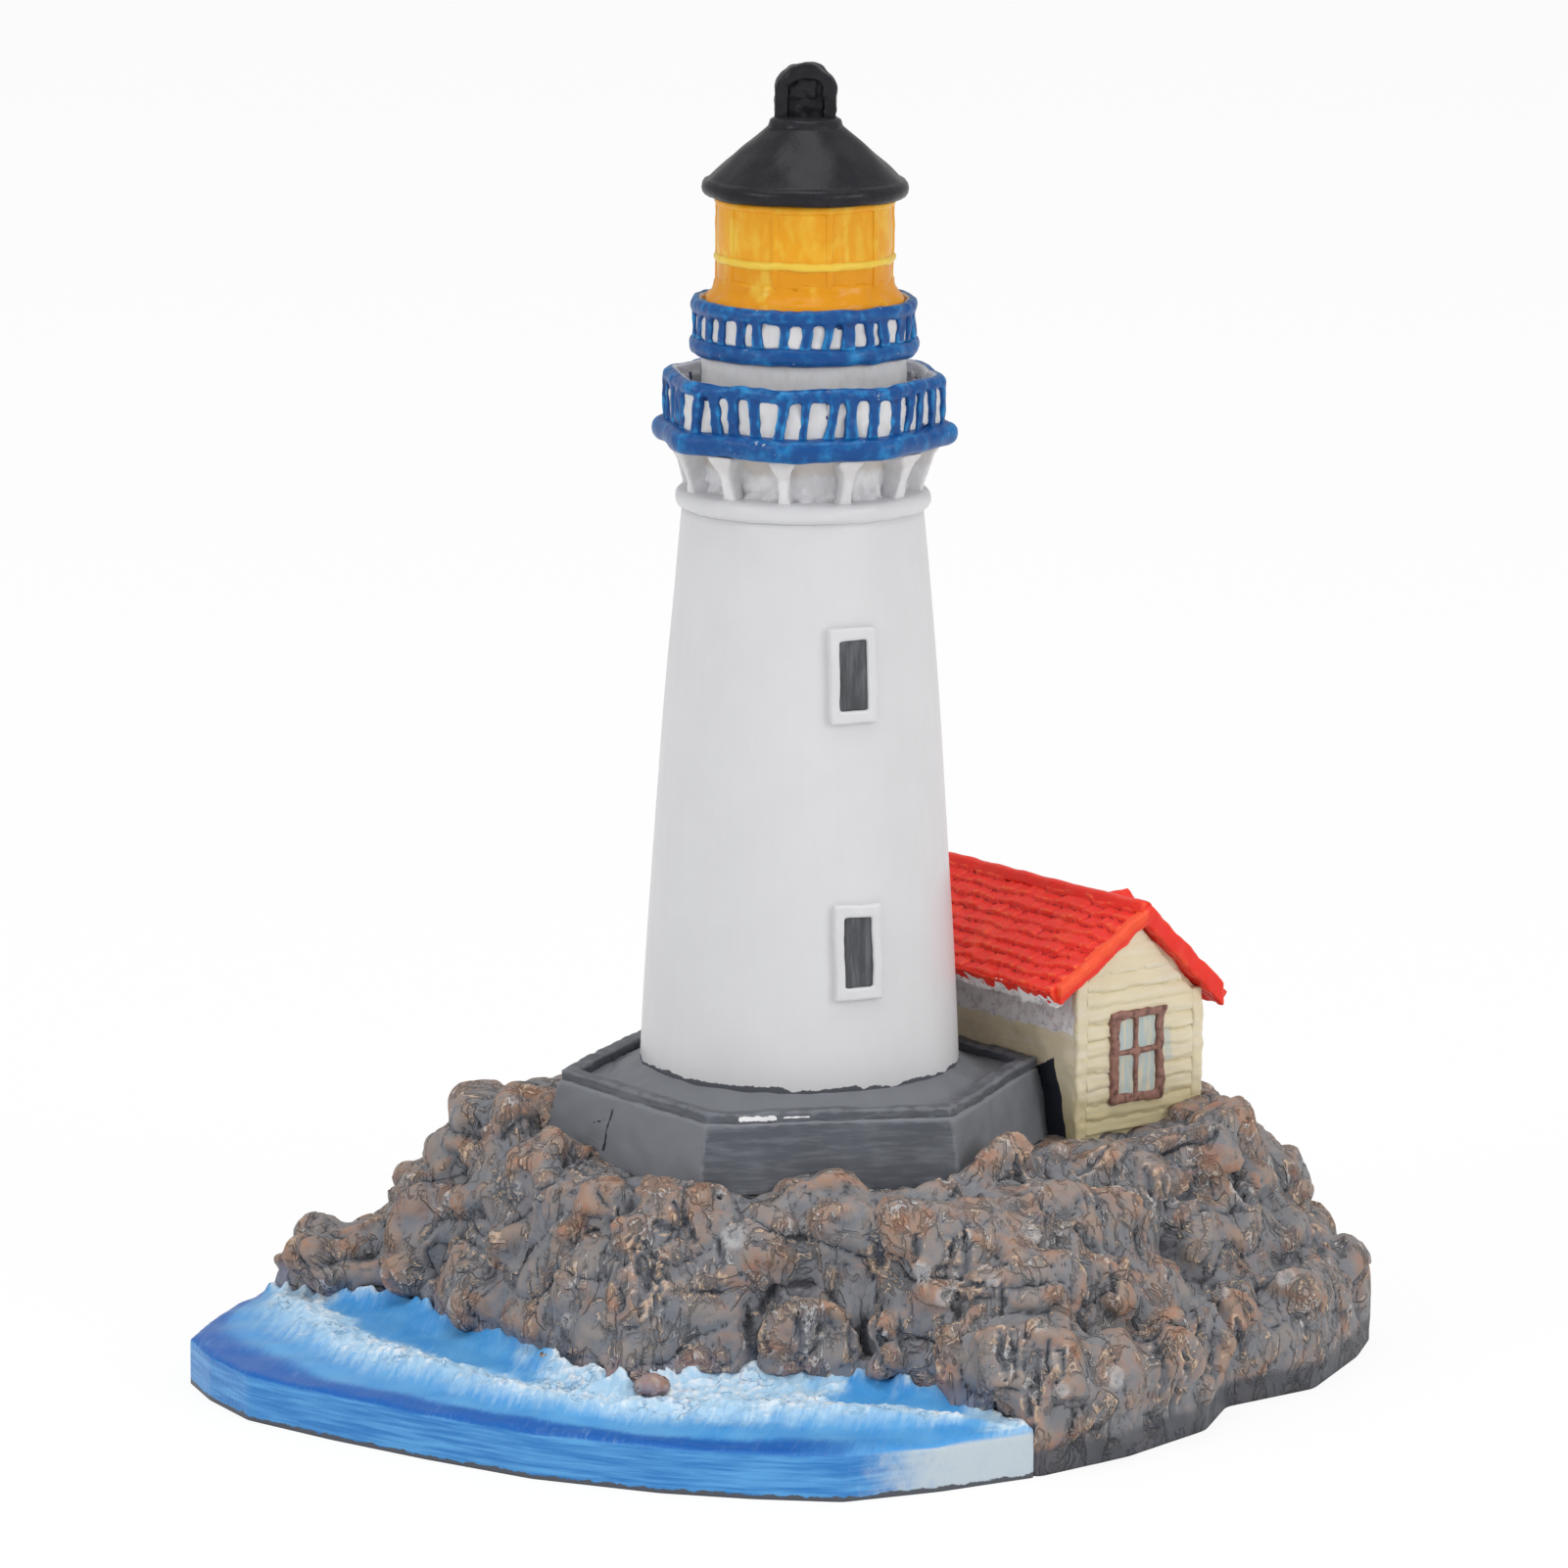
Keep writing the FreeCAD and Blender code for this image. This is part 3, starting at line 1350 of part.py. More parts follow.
def boulder(name, share):
    """A block with chipped edges that lies against the slope and stands half out of it."""
    position, in_share, wide, tall, twist, tilt = share
    place, angle = slope_place(position, in_share)
    before = slope_place(position - 0.5, in_share)[0]
    after = slope_place(position + 0.5, in_share)[0]
    slope = slope_place(position, 1.0)[0] - slope_place(position, 0.0)[0]
    lean = math.degrees(math.asin(at_height(slope, 0).Length / slope.Length)) * BOULDER_LEAN_SHARE
    block = document.addObject("Part::Box", name + "_block")
    block.Length = (after - before).Length * wide
    block.Width = slope.Length * BOULDER_DEPTH_SHARE
    block.setExpression("Height", f"sizes.boulder_thickness * {tall}")
    centre = FreeCAD.Vector(block.Length.Value, block.Width.Value, size("boulder_thickness") * tall) * 0.5
    spin = FreeCAD.Rotation(angle - 90 + twist, tilt / 2, tilt - lean)
    block.Placement = FreeCAD.Placement(place - spin.multVec(centre), spin)
    chipped = document.addObject("Part::Chamfer", name + "_chipped")
    chipped.Base = block
    chamfer = size("boulder_chamfer")
    chipped.Edges = [(edge, chamfer, chamfer) for edge in range(1, 13)]
    return chipped


def boulders(label, carriers):
    blocks = [boulder(f"{label}_{index}", share) for index, share in enumerate(BOULDER_SHARES[label])]
    group = document.addObject("Part::MultiFuse", label + "_group")
    group.Shapes = blocks
    return keep(cut_all(group, carriers, label), label)


def build():
    mound = rock_mound()
    sea = [sea_slab(), surf_ridge(), shore_foam()]
    walls = cottage_walls()
    shaft = tower_shaft()
    block, coping = plinth(walls, shaft)
    tower_window("lower", "sizes.lower_window_level", shaft)
    tower_window("upper", "sizes.upper_window_level", shaft)
    neck_ring()
    corbels()
    lower_gallery()
    watch_room()
    upper_gallery()
    lantern()
    lantern_roof()
    finial()
    cottage_cladding(cottage_window())
    cottage_roof()
    carriers = document.addObject("Part::MultiFuse", "boulder_carriers")
    carriers.Shapes = [mound, block, coping, walls] + sea
    placed = []
    for label in BOULDER_SHARES:
        placed.append(boulders(label, [carriers] + placed))


def check_objects():
    failed = [thing.Name for thing in document.Objects if {"Invalid", "Error"} & set(thing.State)]
    if failed:
        raise RuntimeError("not built: " + ", ".join(failed))
    labels = [thing.Label for thing in kept]
    if len(set(labels)) != len(labels):
        raise RuntimeError("two sub-parts share a label")
    for thing in kept:
        if thing.Shape.isNull() or not thing.Shape.isValid() or not thing.Shape.Solids:
            raise RuntimeError("no valid solid: " + thing.Label)


build()
document.recompute()
check_objects()
for thing in kept:
    thing.Shape.exportStep(f"parts/{thing.Label}.step")
    extent = thing.Shape.optimalBoundingBox(False)
    print(
        f"{thing.Label:28s} solids {len(thing.Shape.Solids):3d} volume {thing.Shape.Volume:10.2f}"
        f" z {extent.ZMin:7.2f} to {extent.ZMax:7.2f}"
    )
print("sub-parts:", len(kept))
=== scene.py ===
"""A painted resin lighthouse on a rocky headland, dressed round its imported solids."""

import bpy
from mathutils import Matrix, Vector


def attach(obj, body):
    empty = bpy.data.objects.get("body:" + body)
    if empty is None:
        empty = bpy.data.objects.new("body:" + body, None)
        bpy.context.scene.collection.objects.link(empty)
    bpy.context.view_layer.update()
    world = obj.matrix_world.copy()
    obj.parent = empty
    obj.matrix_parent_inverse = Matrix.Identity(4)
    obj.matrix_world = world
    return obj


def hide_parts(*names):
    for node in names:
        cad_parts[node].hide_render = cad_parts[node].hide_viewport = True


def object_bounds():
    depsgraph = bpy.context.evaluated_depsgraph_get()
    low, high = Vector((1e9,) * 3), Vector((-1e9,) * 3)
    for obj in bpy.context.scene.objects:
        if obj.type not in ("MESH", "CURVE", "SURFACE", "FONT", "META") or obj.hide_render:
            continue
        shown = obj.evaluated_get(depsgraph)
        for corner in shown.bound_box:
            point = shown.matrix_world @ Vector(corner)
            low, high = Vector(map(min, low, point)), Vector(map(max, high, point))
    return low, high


bl_info = {
    "name": "Lighthouse figurine",
    "version": (1, 0, 0),
    "blender": (4, 5, 0),
    "location": "3D View > Sidebar > Lighthouse",
    "description": "Builds a painted resin lighthouse with its rocks, sea and cottage",
    "category": "Add Mesh",
}

import math
import random
from functools import cached_property

import bmesh
import bpy
import numpy as np
from bpy.props import FloatProperty, FloatVectorProperty, IntProperty, PointerProperty
from mathutils import Matrix, Vector, noise
from mathutils.bvhtree import BVHTree
from mathutils.geometry import intersect_point_line
from mathutils.kdtree import KDTree

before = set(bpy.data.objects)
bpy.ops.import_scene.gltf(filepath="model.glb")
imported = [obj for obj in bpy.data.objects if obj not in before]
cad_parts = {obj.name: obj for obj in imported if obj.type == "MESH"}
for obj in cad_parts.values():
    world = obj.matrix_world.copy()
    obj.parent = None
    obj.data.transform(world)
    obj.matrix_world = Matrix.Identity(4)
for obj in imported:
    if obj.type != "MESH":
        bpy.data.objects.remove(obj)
SOLID_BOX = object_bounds()

MM = 0.001
FRONT = Vector((0, -1, 0))
UP = Vector((0, 0, 1))


# Settings


def length(name, description, default):
    return FloatProperty(name=name, description=description, default=default, unit="LENGTH", precision=5)


def angle(name, description, degrees):
    return FloatProperty(name=name, description=description, default=math.radians(degrees), subtype="ANGLE")


def number(name, description, default, least=0):
    return IntProperty(name=name, description=description, default=default, min=least)


def tint(name, description, *levels):
    """A colour from its red, green and blue levels on a 0 to 255 screen."""
    linear = []
    for level in levels:
        part = level / 255
        linear.append(part / 12.92 if part <= 0.04045 else ((part + 0.055) / 1.055) ** 2.4)
    return FloatVectorProperty(
        name=name, description=description, default=linear, size=3, min=0, max=1, subtype="COLOR"
    )


class LighthouseRocks(bpy.types.PropertyGroup):
    skin: length("Skin", "Size of the squares that the rocks are skinned with", 0.00047)
    block: length("Block", "Distance between one block of rock and the next", 0.0085)
    flake: length("Flake", "Size of the flat flakes on a block", 0.0032)
    flake_depth: length("Flake depth", "How far one flake stands over the next", 0.00026)
    grooves: length("Grooves", "Depth of the furrows dragged into the blocks", 0.0006)
    gouges: number("Gouges", "Furrows at random places on the rocks", 110)


class LighthouseSea(bpy.types.PropertyGroup):
    skin: length("Skin", "Size of the squares that the sea is skinned with", 0.0004)
    foam: length("Foam", "Height of the lumps of foam", 0.0006)
    swell: length("Swell", "Height of the long swell", 0.0003)


class LighthouseTower(bpy.types.PropertyGroup):
    foot: length("Foot radius", "Radius of the tower at the plinth", 0.0171)
    top: length("Top radius", "Radius of the tower under its neck ring", 0.0127)
    belly: length("Belly", "How far the tower's side bows out", 0.00035)
    window_turn: angle("Window turn", "Angle of the windows from the front", 21.5)
    window_width: length("Window width", "Width over the frame of a window", 0.0052)
    window_border: length("Window border", "Width of the frame of a window", 0.001)
    brackets: number("Brackets", "Brackets under the lower gallery", 12, 3)


class LighthouseGalleries(bpy.types.PropertyGroup):
    lower_posts: number("Lower posts", "Posts round the lower gallery", 36, 8)
    upper_posts: number("Upper posts", "Posts round the upper gallery", 30, 8)
    post: length("Post", "Width of a post at its waist", 0.00105)
    skin: length("Skin", "Size of the squares that the railings are skinned with", 0.00021)


class LighthouseCottage(bpy.types.PropertyGroup):
    turn: angle("Turn", "Angle of the cottage on the headland", 38.5)
    width: length("Width", "Width of the gable wall", 0.0176)
    length: length("Length", "Length of the walls along the ridge", 0.036)
    left_wall: length("Left wall", "Height of the wall beside the tower", 0.0171)
    right_wall: length("Right wall", "Height of the wall away from the tower", 0.0142)
    ridge: length("Ridge", "Height of the underside of the ridge", 0.0224)
    board: length("Board", "Height of one board of the gable", 0.00175)
    course: length("Course", "Length of one course of shingles down the slope", 0.00172)


class LighthousePaints(bpy.types.PropertyGroup):
    stone: tint("Stone", "Blue-grey undercoat of the rocks", 124, 125, 130)
    # Painted shade in the gaps, hollows and creases of the rocks and inside their casting pits
    stone_dark: tint("Deep stone", "Deepest gaps between the rocks", 60, 60, 65)
    stone_slate: tint("Slate", "Smooth grey dragged bare in the furrows", 100, 103, 110)
    stone_warm: tint("Warm stone", "Taupe between the brown and the undercoat", 144, 134, 128)
    stone_brown: tint("Copper brown", "Brown rubbed over the rocks", 160, 134, 116)
    stone_rust: tint("Rust brown", "Redder brown where the paint is thick", 166, 120, 94)
    # The next two make the pale on the edges, ridges and burrs, partly paint and partly painted highlight;
    # the second also whitens the bubbles
    stone_cream: tint("Stone edges", "Warm pale edges of the rocks", 214, 186, 160)
    stone_pale: tint("Stone glints", "Grey white edges and bubbles of the rocks", 196, 196, 198)
    sea: tint("Sea", "Body colour of the sea", 90, 162, 218)
    sea_pool: tint("Pool", "Clear water between the surf and the rocks", 62, 146, 214)
    sea_deep: tint("Deep sea", "Dark band along the sea's edge", 2, 92, 176)
    sea_pale: tint("Pale sea", "Blue thinned with white where the surf starts", 170, 206, 232)
    sea_side: tint("Sea side", "Upright side of the sea", 46, 120, 190)
    sea_scuff: tint("Scuffed side", "Grey white right end of the upright side", 188, 200, 208)
    foam: tint("Foam", "White water", 230, 236, 242)
    plinth: tint("Plinth", "Grey of the plinth", 82, 85, 92)
    plinth_light: tint("Plinth edges", "Rubbed edges and brush lines of the plinth", 132, 135, 141)
    # Painted light: the paler grey of the faces that catch more light than the front
    plinth_lit: tint("Plinth sides", "Paler grey of the plinth's side faces and deck", 114, 117, 123)
    tower: tint("Tower", "White of the tower", 210, 210, 212)
    # Painted shade in the hollows under the gallery; also the colour of faint streaks in the white
    tower_streak_and_shade: tint("Recess", "Beige-grey of the hollows under the gallery", 196, 188, 180)
    blue: tint("Gallery blue", "Blue of the railings and decks", 10, 72, 136)
    # Blue edges are partly paint and partly painted highlight; navy is painted shade in the railings' corners
    # and also a paint slopped over the white
    blue_light: tint("Blue edges", "Bright edges of the railings", 38, 138, 200)
    blue_dark: tint("Navy", "Dark blue left in the corners", 14, 34, 84)
    lantern: tint("Lantern", "Golden yellow of the lantern", 226, 156, 24)
    lantern_light: tint("Belt", "Pale yellow of the belt and of thin paint", 232, 200, 76)
    lantern_dark: tint("Amber", "Deeper orange low on the lantern", 222, 148, 20)
    roof: tint("Lantern roof", "Black of the lantern's roof and finial", 37, 36, 40)
    cream: tint("Cottage cream", "Cream of the cottage's walls", 222, 210, 178)
    # Painted shade in the grooves of the walls; it also darkens the walls towards their foot
    cream_dark: tint("Cottage shade", "Yellow-beige in the grooves of the walls", 196, 182, 132)
    # Also the pale on the edges of the gable's boards, partly paint and partly painted highlight
    eave: tint("Eave white", "White brushed along the eave", 232, 230, 230)
    mauve: tint("Mauve", "Mauve-grey specks along the eave", 160, 140, 150)
    red: tint("Roof red", "Red of the cottage's roof", 232, 48, 36)
    # Orange on the shingles' edges is partly paint and partly painted highlight, and also thin patches of
    # paint; dark red is painted shade in their gaps
    red_light: tint("Roof orange", "Orange on the edges of the shingles", 242, 100, 52)
    red_dark: tint("Roof shade", "Dark red in the gaps of the shingles", 150, 22, 24)
    glass: tint("Tower pane", "Dark grey of the tower's panes", 72, 74, 77)
    brown: tint("Window brown", "Mauve-brown of the cottage's window", 152, 112, 100)
    brown_dark: tint("Window dabs", "Darker dabs of the cottage's window", 92, 64, 60)
    pane: tint("Cottage pane", "Pale blue of the cottage's pane", 182, 196, 196)
    # Painted shadow in the gap between the plinth and the cottage; also the black of the plinth's scratches
    gap: tint("Gap", "Near black in the gap between the plinth and the cottage", 40, 44, 54)


SETTINGS = {
    "lighthouse_rocks": LighthouseRocks,
    "lighthouse_sea": LighthouseSea,
    "lighthouse_tower": LighthouseTower,
    "lighthouse_galleries": LighthouseGalleries,
    "lighthouse_cottage": LighthouseCottage,
    "lighthouse_paints": LighthousePaints,
}


def settings(part):
    return getattr(bpy.context.scene, "lighthouse_" + part)


def size(part, name):
    """A length from the settings, in millimetres, which every shape is drawn in."""
    return getattr(settings(part), name) / MM


def colour(name):
    return (*getattr(settings("paints"), name), 1.0)


# Shapes, drawn in millimetres


# Camera that took the photograph: its size in pixels, the lens on a 36 mm sensor and its place
PHOTO_PIXELS = 1601
SENSOR, LENS = 36.0, 195.3
CAMERA_DISTANCE, CAMERA_TILT, CAMERA_ROLL = 900.0, math.radians(11.2), math.radians(0.35)
CAMERA_AIM = Vector((-1.813, 0.0, 63.3))

# Longest stroke in millimetres, so that none runs from one face of the object to another
LONGEST_STROKE = 14


def camera_place():
    """Where the camera stands, in millimetres."""
    back = Vector((0, -math.cos(CAMERA_TILT), math.sin(CAMERA_TILT))) * CAMERA_DISTANCE
    turn = Matrix.Rotation(math.radians(90) - CAMERA_TILT, 4, "X") @ Matrix.Rotation(CAMERA_ROLL, 4, "Z")
    return Matrix.Translation(CAMERA_AIM + back) @ turn


def sight(across, down):
    """The camera's place and its line of sight through a pixel of the photograph."""
    place = camera_place()
    on_sensor = Vector((across / PHOTO_PIXELS - 0.5, 0.5 - down / PHOTO_PIXELS, 0)) * SENSOR - UP * LENS
    return place.translation, (place.to_3x3() @ on_sensor).normalized()


def clamped(value):
    """The value, kept between 0 and 1."""
    return min(max(value, 0.0), 1.0)


def swell_up(value, low, high):
    """Rises smoothly from 0 at low to 1 at high."""
    share = clamped((value - low) / (high - low))
    return share * share * (3 - 2 * share)


def strokes_on(skin, pixels):
    """Where the photograph's strokes lie on a skin: both ends and half the width of each."""
    found = []
    for first_x, first_y, last_x, last_y, half in pixels:
        start = skin.ray_cast(*sight(first_x, first_y))[0]
        end = skin.ray_cast(*sight(last_x, last_y))[0]
        if start is not None and end is not None and (start - end).length < LONGEST_STROKE:
            found.append((start, end, half))
    return found


def around(azimuth, radius, height):
    """A point at an angle from the front, towards the right."""
    return Vector((radius * math.sin(azimuth), -radius * math.cos(azimuth), height))


def turn_of(vert):
    """The angle at which a point stands round the tower, from the front."""
    return math.atan2(vert.co.x, -vert.co.y)


def block(bm, low, high, place=Matrix()):
    """A box between two corners."""
    low, high = Vector(low), Vector(high)
    shape = Matrix.Translation((low + high) / 2) @ Matrix.Diagonal((*(high - low), 1))
    return bmesh.ops.create_cube(bm, size=1, matrix=place @ shape)["verts"]


def drawn(bm, points, run, place=Matrix()):
    """A solid with the flat outline points, drawn out by run."""
    face = bm.faces.new([bm.verts.new(place @ Vector(point)) for point in points])
    made = bmesh.ops.extrude_face_region(bm, geom=[face])
    far = [item for item in made["geom"] if isinstance(item, bmesh.types.BMVert)]
    bmesh.ops.translate(bm, verts=far, vec=place.to_3x3() @ Vector(run))
    bmesh.ops.recalc_face_normals(bm, faces=bm.faces)
    return far


def turned(bm, profile, steps):
    """A body turned round the tower's axis from radius and height pairs."""
    verts = [bm.verts.new((radius, 0, height)) for radius, height in profile]
    edges = [bm.edges.new(pair) for pair in zip(verts, verts[1:])]
    circle = {"axis": UP, "cent": (0, 0, 0), "dvec": (0, 0, 0), "angle": math.tau, "steps": steps}
    bmesh.ops.spin(bm, geom=verts + edges, use_merge=True, **circle)
    bmesh.ops.remove_doubles(bm, verts=bm.verts, dist=1e-4)
    bmesh.ops.recalc_face_normals(bm, faces=bm.faces)


def lathe(profile, steps=120):
    """A mesh of its own for one turned body."""
    bm = bmesh.new()
    turned(bm, profile, steps)
    return bm


def rows(start, end, count, bow=0.0):
    """Points from one radius and height to another, bowed outwards in the middle."""
    found = []
    for step in range(count + 1):
        share = step / count
        radius, height = (first + (last - first) * share for first, last in zip(start, end))
        found.append((radius + bow * 4 * share * (1 - share), height))
    return found


def bead(radius, low, high, round_share, steps=8):
    """A rounded edge from one height to another, out to radius."""
    middle, half = (low + high) / 2, (high - low) / 2
    found = []
    for step in range(steps + 1):
        up = math.pi * (step / steps - 0.5)
        found.append((radius - half * round_share * (1 - math.cos(up)), middle + half * math.sin(up)))
    return found


def sway(bm, amount, spacing):
    """Moves points by a slow drift, so that nothing is quite straight."""
    for vert in bm.verts:
        vert.co += noise.noise_vector(vert.co / spacing) * amount


def lumps(bm, amount, spacing, chosen=None, seed=0.0):
    """Raises and lowers the skin by noise; chosen gives each point's share of it."""
    bm.normal_update()
    offset = Vector((seed, -seed, seed * 0.6))
    for vert in bm.verts:
        share = 1.0 if chosen is None else chosen(vert)
        if share > 0:
            vert.co += vert.normal * (noise.noise(vert.co / spacing + offset) * amount * share)


def cast(bm, voxel, rounds=2):
    """Fuses overlapping shapes into one skin of even squares, as a mould does."""
    mesh = bpy.data.meshes.new("rough")
    bm.to_mesh(mesh)
    bm.free()
    rough = bpy.data.objects.new("rough", mesh)
    bpy.context.scene.collection.objects.link(rough)
    fuse = rough.modifiers.new("fuse", "REMESH")
    fuse.mode = "VOXEL"
    fuse.voxel_size = voxel
    skin = bpy.data.meshes.new_from_object(rough.evaluated_get(bpy.context.evaluated_depsgraph_get()))
    bpy.data.objects.remove(rough)
    fused = bmesh.new()
    fused.from_mesh(skin)
    for unused in (mesh, skin):
        bpy.data.meshes.remove(unused)
    every_way = {"use_axis_x": True, "use_axis_y": True, "use_axis_z": True}
    for _ in range(rounds):
        bmesh.ops.smooth_vert(fused, verts=fused.verts, factor=0.5, **every_way)
    fused.normal_update()
    return fused


def stand_flat(bm):
    """Cuts a casting off at the underside and closes it."""
    everything = list(bm.verts) + list(bm.edges) + list(bm.faces)
    bmesh.ops.bisect_plane(bm, geom=everything, plane_co=(0, 0, 0), plane_no=UP, dist=1e-5, clear_inner=True)
    rim = [edge for edge in bm.edges if edge.is_boundary]
    bmesh.ops.edgeloop_fill(bm, edges=rim)
    bmesh.ops.recalc_face_normals(bm, faces=bm.faces)


def note_relief(bm, fine, broad, fine_height, broad_height):
    """Writes on each point how far it stands over the skin near it, for the dry brushing with its painted
    highlight and painted shade.
    """
    bm.verts.index_update()
    bm.normal_update()
    points = np.array([vert.co for vert in bm.verts])
    normals = np.array([vert.normal for vert in bm.verts])
    first, second = np.array([[end.index for end in edge.verts] for edge in bm.edges]).T
    count = np.maximum(np.bincount(np.concatenate((first, second)), minlength=len(points)), 1)
    smooth = points.copy()
    for step in range(1, broad + 1):
        total = []
        for axis in range(3):
            at_first = np.bincount(first, smooth[second, axis], len(points))
            at_second = np.bincount(second, smooth[first, axis], len(points))
            total.append(at_first + at_second)
        smooth = smooth * 0.4 + 0.6 * np.stack(total, 1) / count[:, None]
        if step in (fine, broad):
            name, height = ("relief", fine_height) if step == fine else ("bulk", broad_height)
            layer = bm.verts.layers.float.new(name)
            stand = np.einsum("ij,ij->i", points - smooth, normals) / height
            for vert, value in zip(bm.verts, np.clip(0.5 + 0.5 * stand, 0, 1)):
                vert[layer] = value


def worn(bm, drift, dents, relief=None):
    """Gives a skin its drift and dents as amount and spacing, and notes its relief."""
    sway(bm, *drift)
    lumps(bm, *dents)
    if relief:
        note_relief(bm, *relief)
    return bm


def note(bm, name, value):
    """Writes value of each point into the attribute name."""
    layer = bm.verts.layers.float.new(name)
    for vert in bm.verts:
        vert[layer] = value(vert)


def mark(bm, name, pixels):
    """Writes how close each point is to the photograph's strokes: 1 on one, 0.5 at its edge."""
    strokes = strokes_on(BVHTree.FromBMesh(bm), pixels)

    def closest(vert):
        value = 0.0
        for start, end, half in strokes:
            along = intersect_point_line(vert.co, start, end)[1]
            spot = start.lerp(end, clamped(along))
            value = max(value, 1 - (vert.co - spot).length / (2 * half))
        return value

    note(bm, name, closest)


def piece(bm, name, material, slot, *nodes):
    """Makes the finished mesh an object that stands for its CAD nodes."""
    bmesh.ops.scale(bm, vec=(MM, MM, MM), verts=bm.verts)
    mesh = bpy.data.meshes.new(name)
    bm.to_mesh(mesh)
    bm.free()
    for face in mesh.polygons:
        face.use_smooth = True
    made = bpy.data.objects.new(name, mesh)
    made.data.materials.append(material)
    bpy.context.scene.collection.objects.link(made)
    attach(made, "root")
    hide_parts(*nodes)


def solids(bm, *nodes):
    """Adds merged copies of CAD nodes, in millimetres."""
    for node in nodes:
        bm.from_mesh(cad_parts[node].data)
    bmesh.ops.scale(bm, vec=(1 / MM,) * 3, verts=bm.verts)
    bmesh.ops.remove_doubles(bm, verts=bm.verts, dist=1e-4)


# Shader wiring


def add(tree, kind, inputs=None, **options):
    """A node with its options set and its inputs linked or filled in; a name stands for a paint."""
    node = tree.nodes.new(kind)
    for name, value in options.items():
        setattr(node, name, value)
    for name, value in (inputs or {}).items():
        socket = node.inputs[name]
        if isinstance(value, str):
            value = colour(value)
        if isinstance(value, bpy.types.NodeSocket):
            tree.links.new(value, socket)
        else:
            socket.default_value = value
    return node


def node_of(tree, kind):
    """The node of a kind that the tree starts with."""
    return next(node for node in tree.nodes if node.type == kind)


class Wiring:
    """A shader tree that is being wired, with a method for each thing it needs often."""

    def __init__(self, tree):
        self.tree = tree

    @cached_property
    def place(self):
        """The place on the object, in millimetres."""
        return self.stretched((1000, 1000, 1000), add(self.tree, "ShaderNodeTexCoord").outputs["Object"])

    def stretched(self, share, place=None):
        """A place multiplied by a share for each way."""
        inputs = {0: self.place if place is None else place, 1: share}
        return add(self.tree, "ShaderNodeVectorMath", inputs, operation="MULTIPLY").outputs[0]

    def math(self, operation, first, second=0.0, third=0.0, clamp=False):
        """What a Math node makes of its inputs."""
        inputs = {0: first, 1: second, 2: third}
        return add(self.tree, "ShaderNodeMath", inputs, operation=operation, use_clamp=clamp).outputs[0]

    def times(self, first, second):
        return self.math("MULTIPLY", first, second)

    def minus(self, first, second):
        return self.math("SUBTRACT", first, second)

    def plus(self, value, extra, share):
        """A value with a share of an extra one added."""
        return self.math("MULTIPLY_ADD", extra, share, value)

    def between(self, value, low, high):
        """0 at low, 1 at high and a smooth step between them."""
        inputs = {"Value": value, "From Min": low, "From Max": high}
        node = add(self.tree, "ShaderNodeMapRange", inputs, interpolation_type="SMOOTHSTEP")
        return node.outputs["Result"]

    def written(self, name):
        """A value that the piece carries on its points."""
        return add(self.tree, "ShaderNodeAttribute", attribute_name=name).outputs["Fac"]

    def speckle(self, grain, detail=3.0, roughness=0.6, distortion=0.0, place=None):
        """Noise with grain giving how often it changes in a millimetre, one way or each way."""
        place = self.place if place is None else place
        if not isinstance(grain, (int, float)):
            place = self.stretched(grain, place)
            grain = 1.0
        inputs = {"Vector": place, "Scale": grain, "Detail": detail}
        inputs |= {"Roughness": roughness, "Distortion": distortion}
        return add(self.tree, "ShaderNodeTexNoise", inputs).outputs["Fac"]

    def drift(self, grain, detail, roughness, place=None):
        """Noise that wavers about 0."""
        return self.minus(self.speckle(grain, detail, roughness, place=place), 0.5)

    def mixed(self, factor, first, second):
        """One colour going over into another."""
        inputs = {0: factor, 6: first, 7: second}
        return add(self.tree, "ShaderNodeMix", inputs, data_type="RGBA").outputs[2]

    def over(self, body, mask, share, top):
        """A colour with a share of another laid over it where the mask is."""
        return self.mixed(self.times(mask, share), body, top)

    def use(self, name, inputs):
        """Places a shared group with its own values."""
        return add(self.tree, "ShaderNodeGroup", inputs, node_tree=bpy.data.node_groups[name]).outputs

    def ragged(self, name, level, unevenness, softness=0.1, grain=0.5):
        """1 past the uneven line where a written value reaches a level."""
        inputs = {"Value": self.written(name), "Level": level, "Unevenness": unevenness}
        inputs |= {"Softness": softness, "Grain": grain}
        return self.use("Ragged edge", inputs)["Mask"]

    def dry_brush_highlight_and_shade(self, body, high, hollow, high_span, hollow_span=(0.35, 0.1), patchy=0.3, grain=0.8):
        """Paint with a high colour on what stands out, partly dry brushing and partly painted highlight, and
        a hollow colour in the gaps as painted shade.
        """
        inputs = {"Paint": body, "High paint": high, "Hollow paint": hollow, "Patchy": patchy, "Grain": grain}
        inputs |= {"High from": high_span[0], "High to": high_span[1]}
        inputs |= {"Hollow from": hollow_span[0], "Hollow to": hollow_span[1]}
        return self.use("Dry brush, highlight and shade", inputs)["Color"]


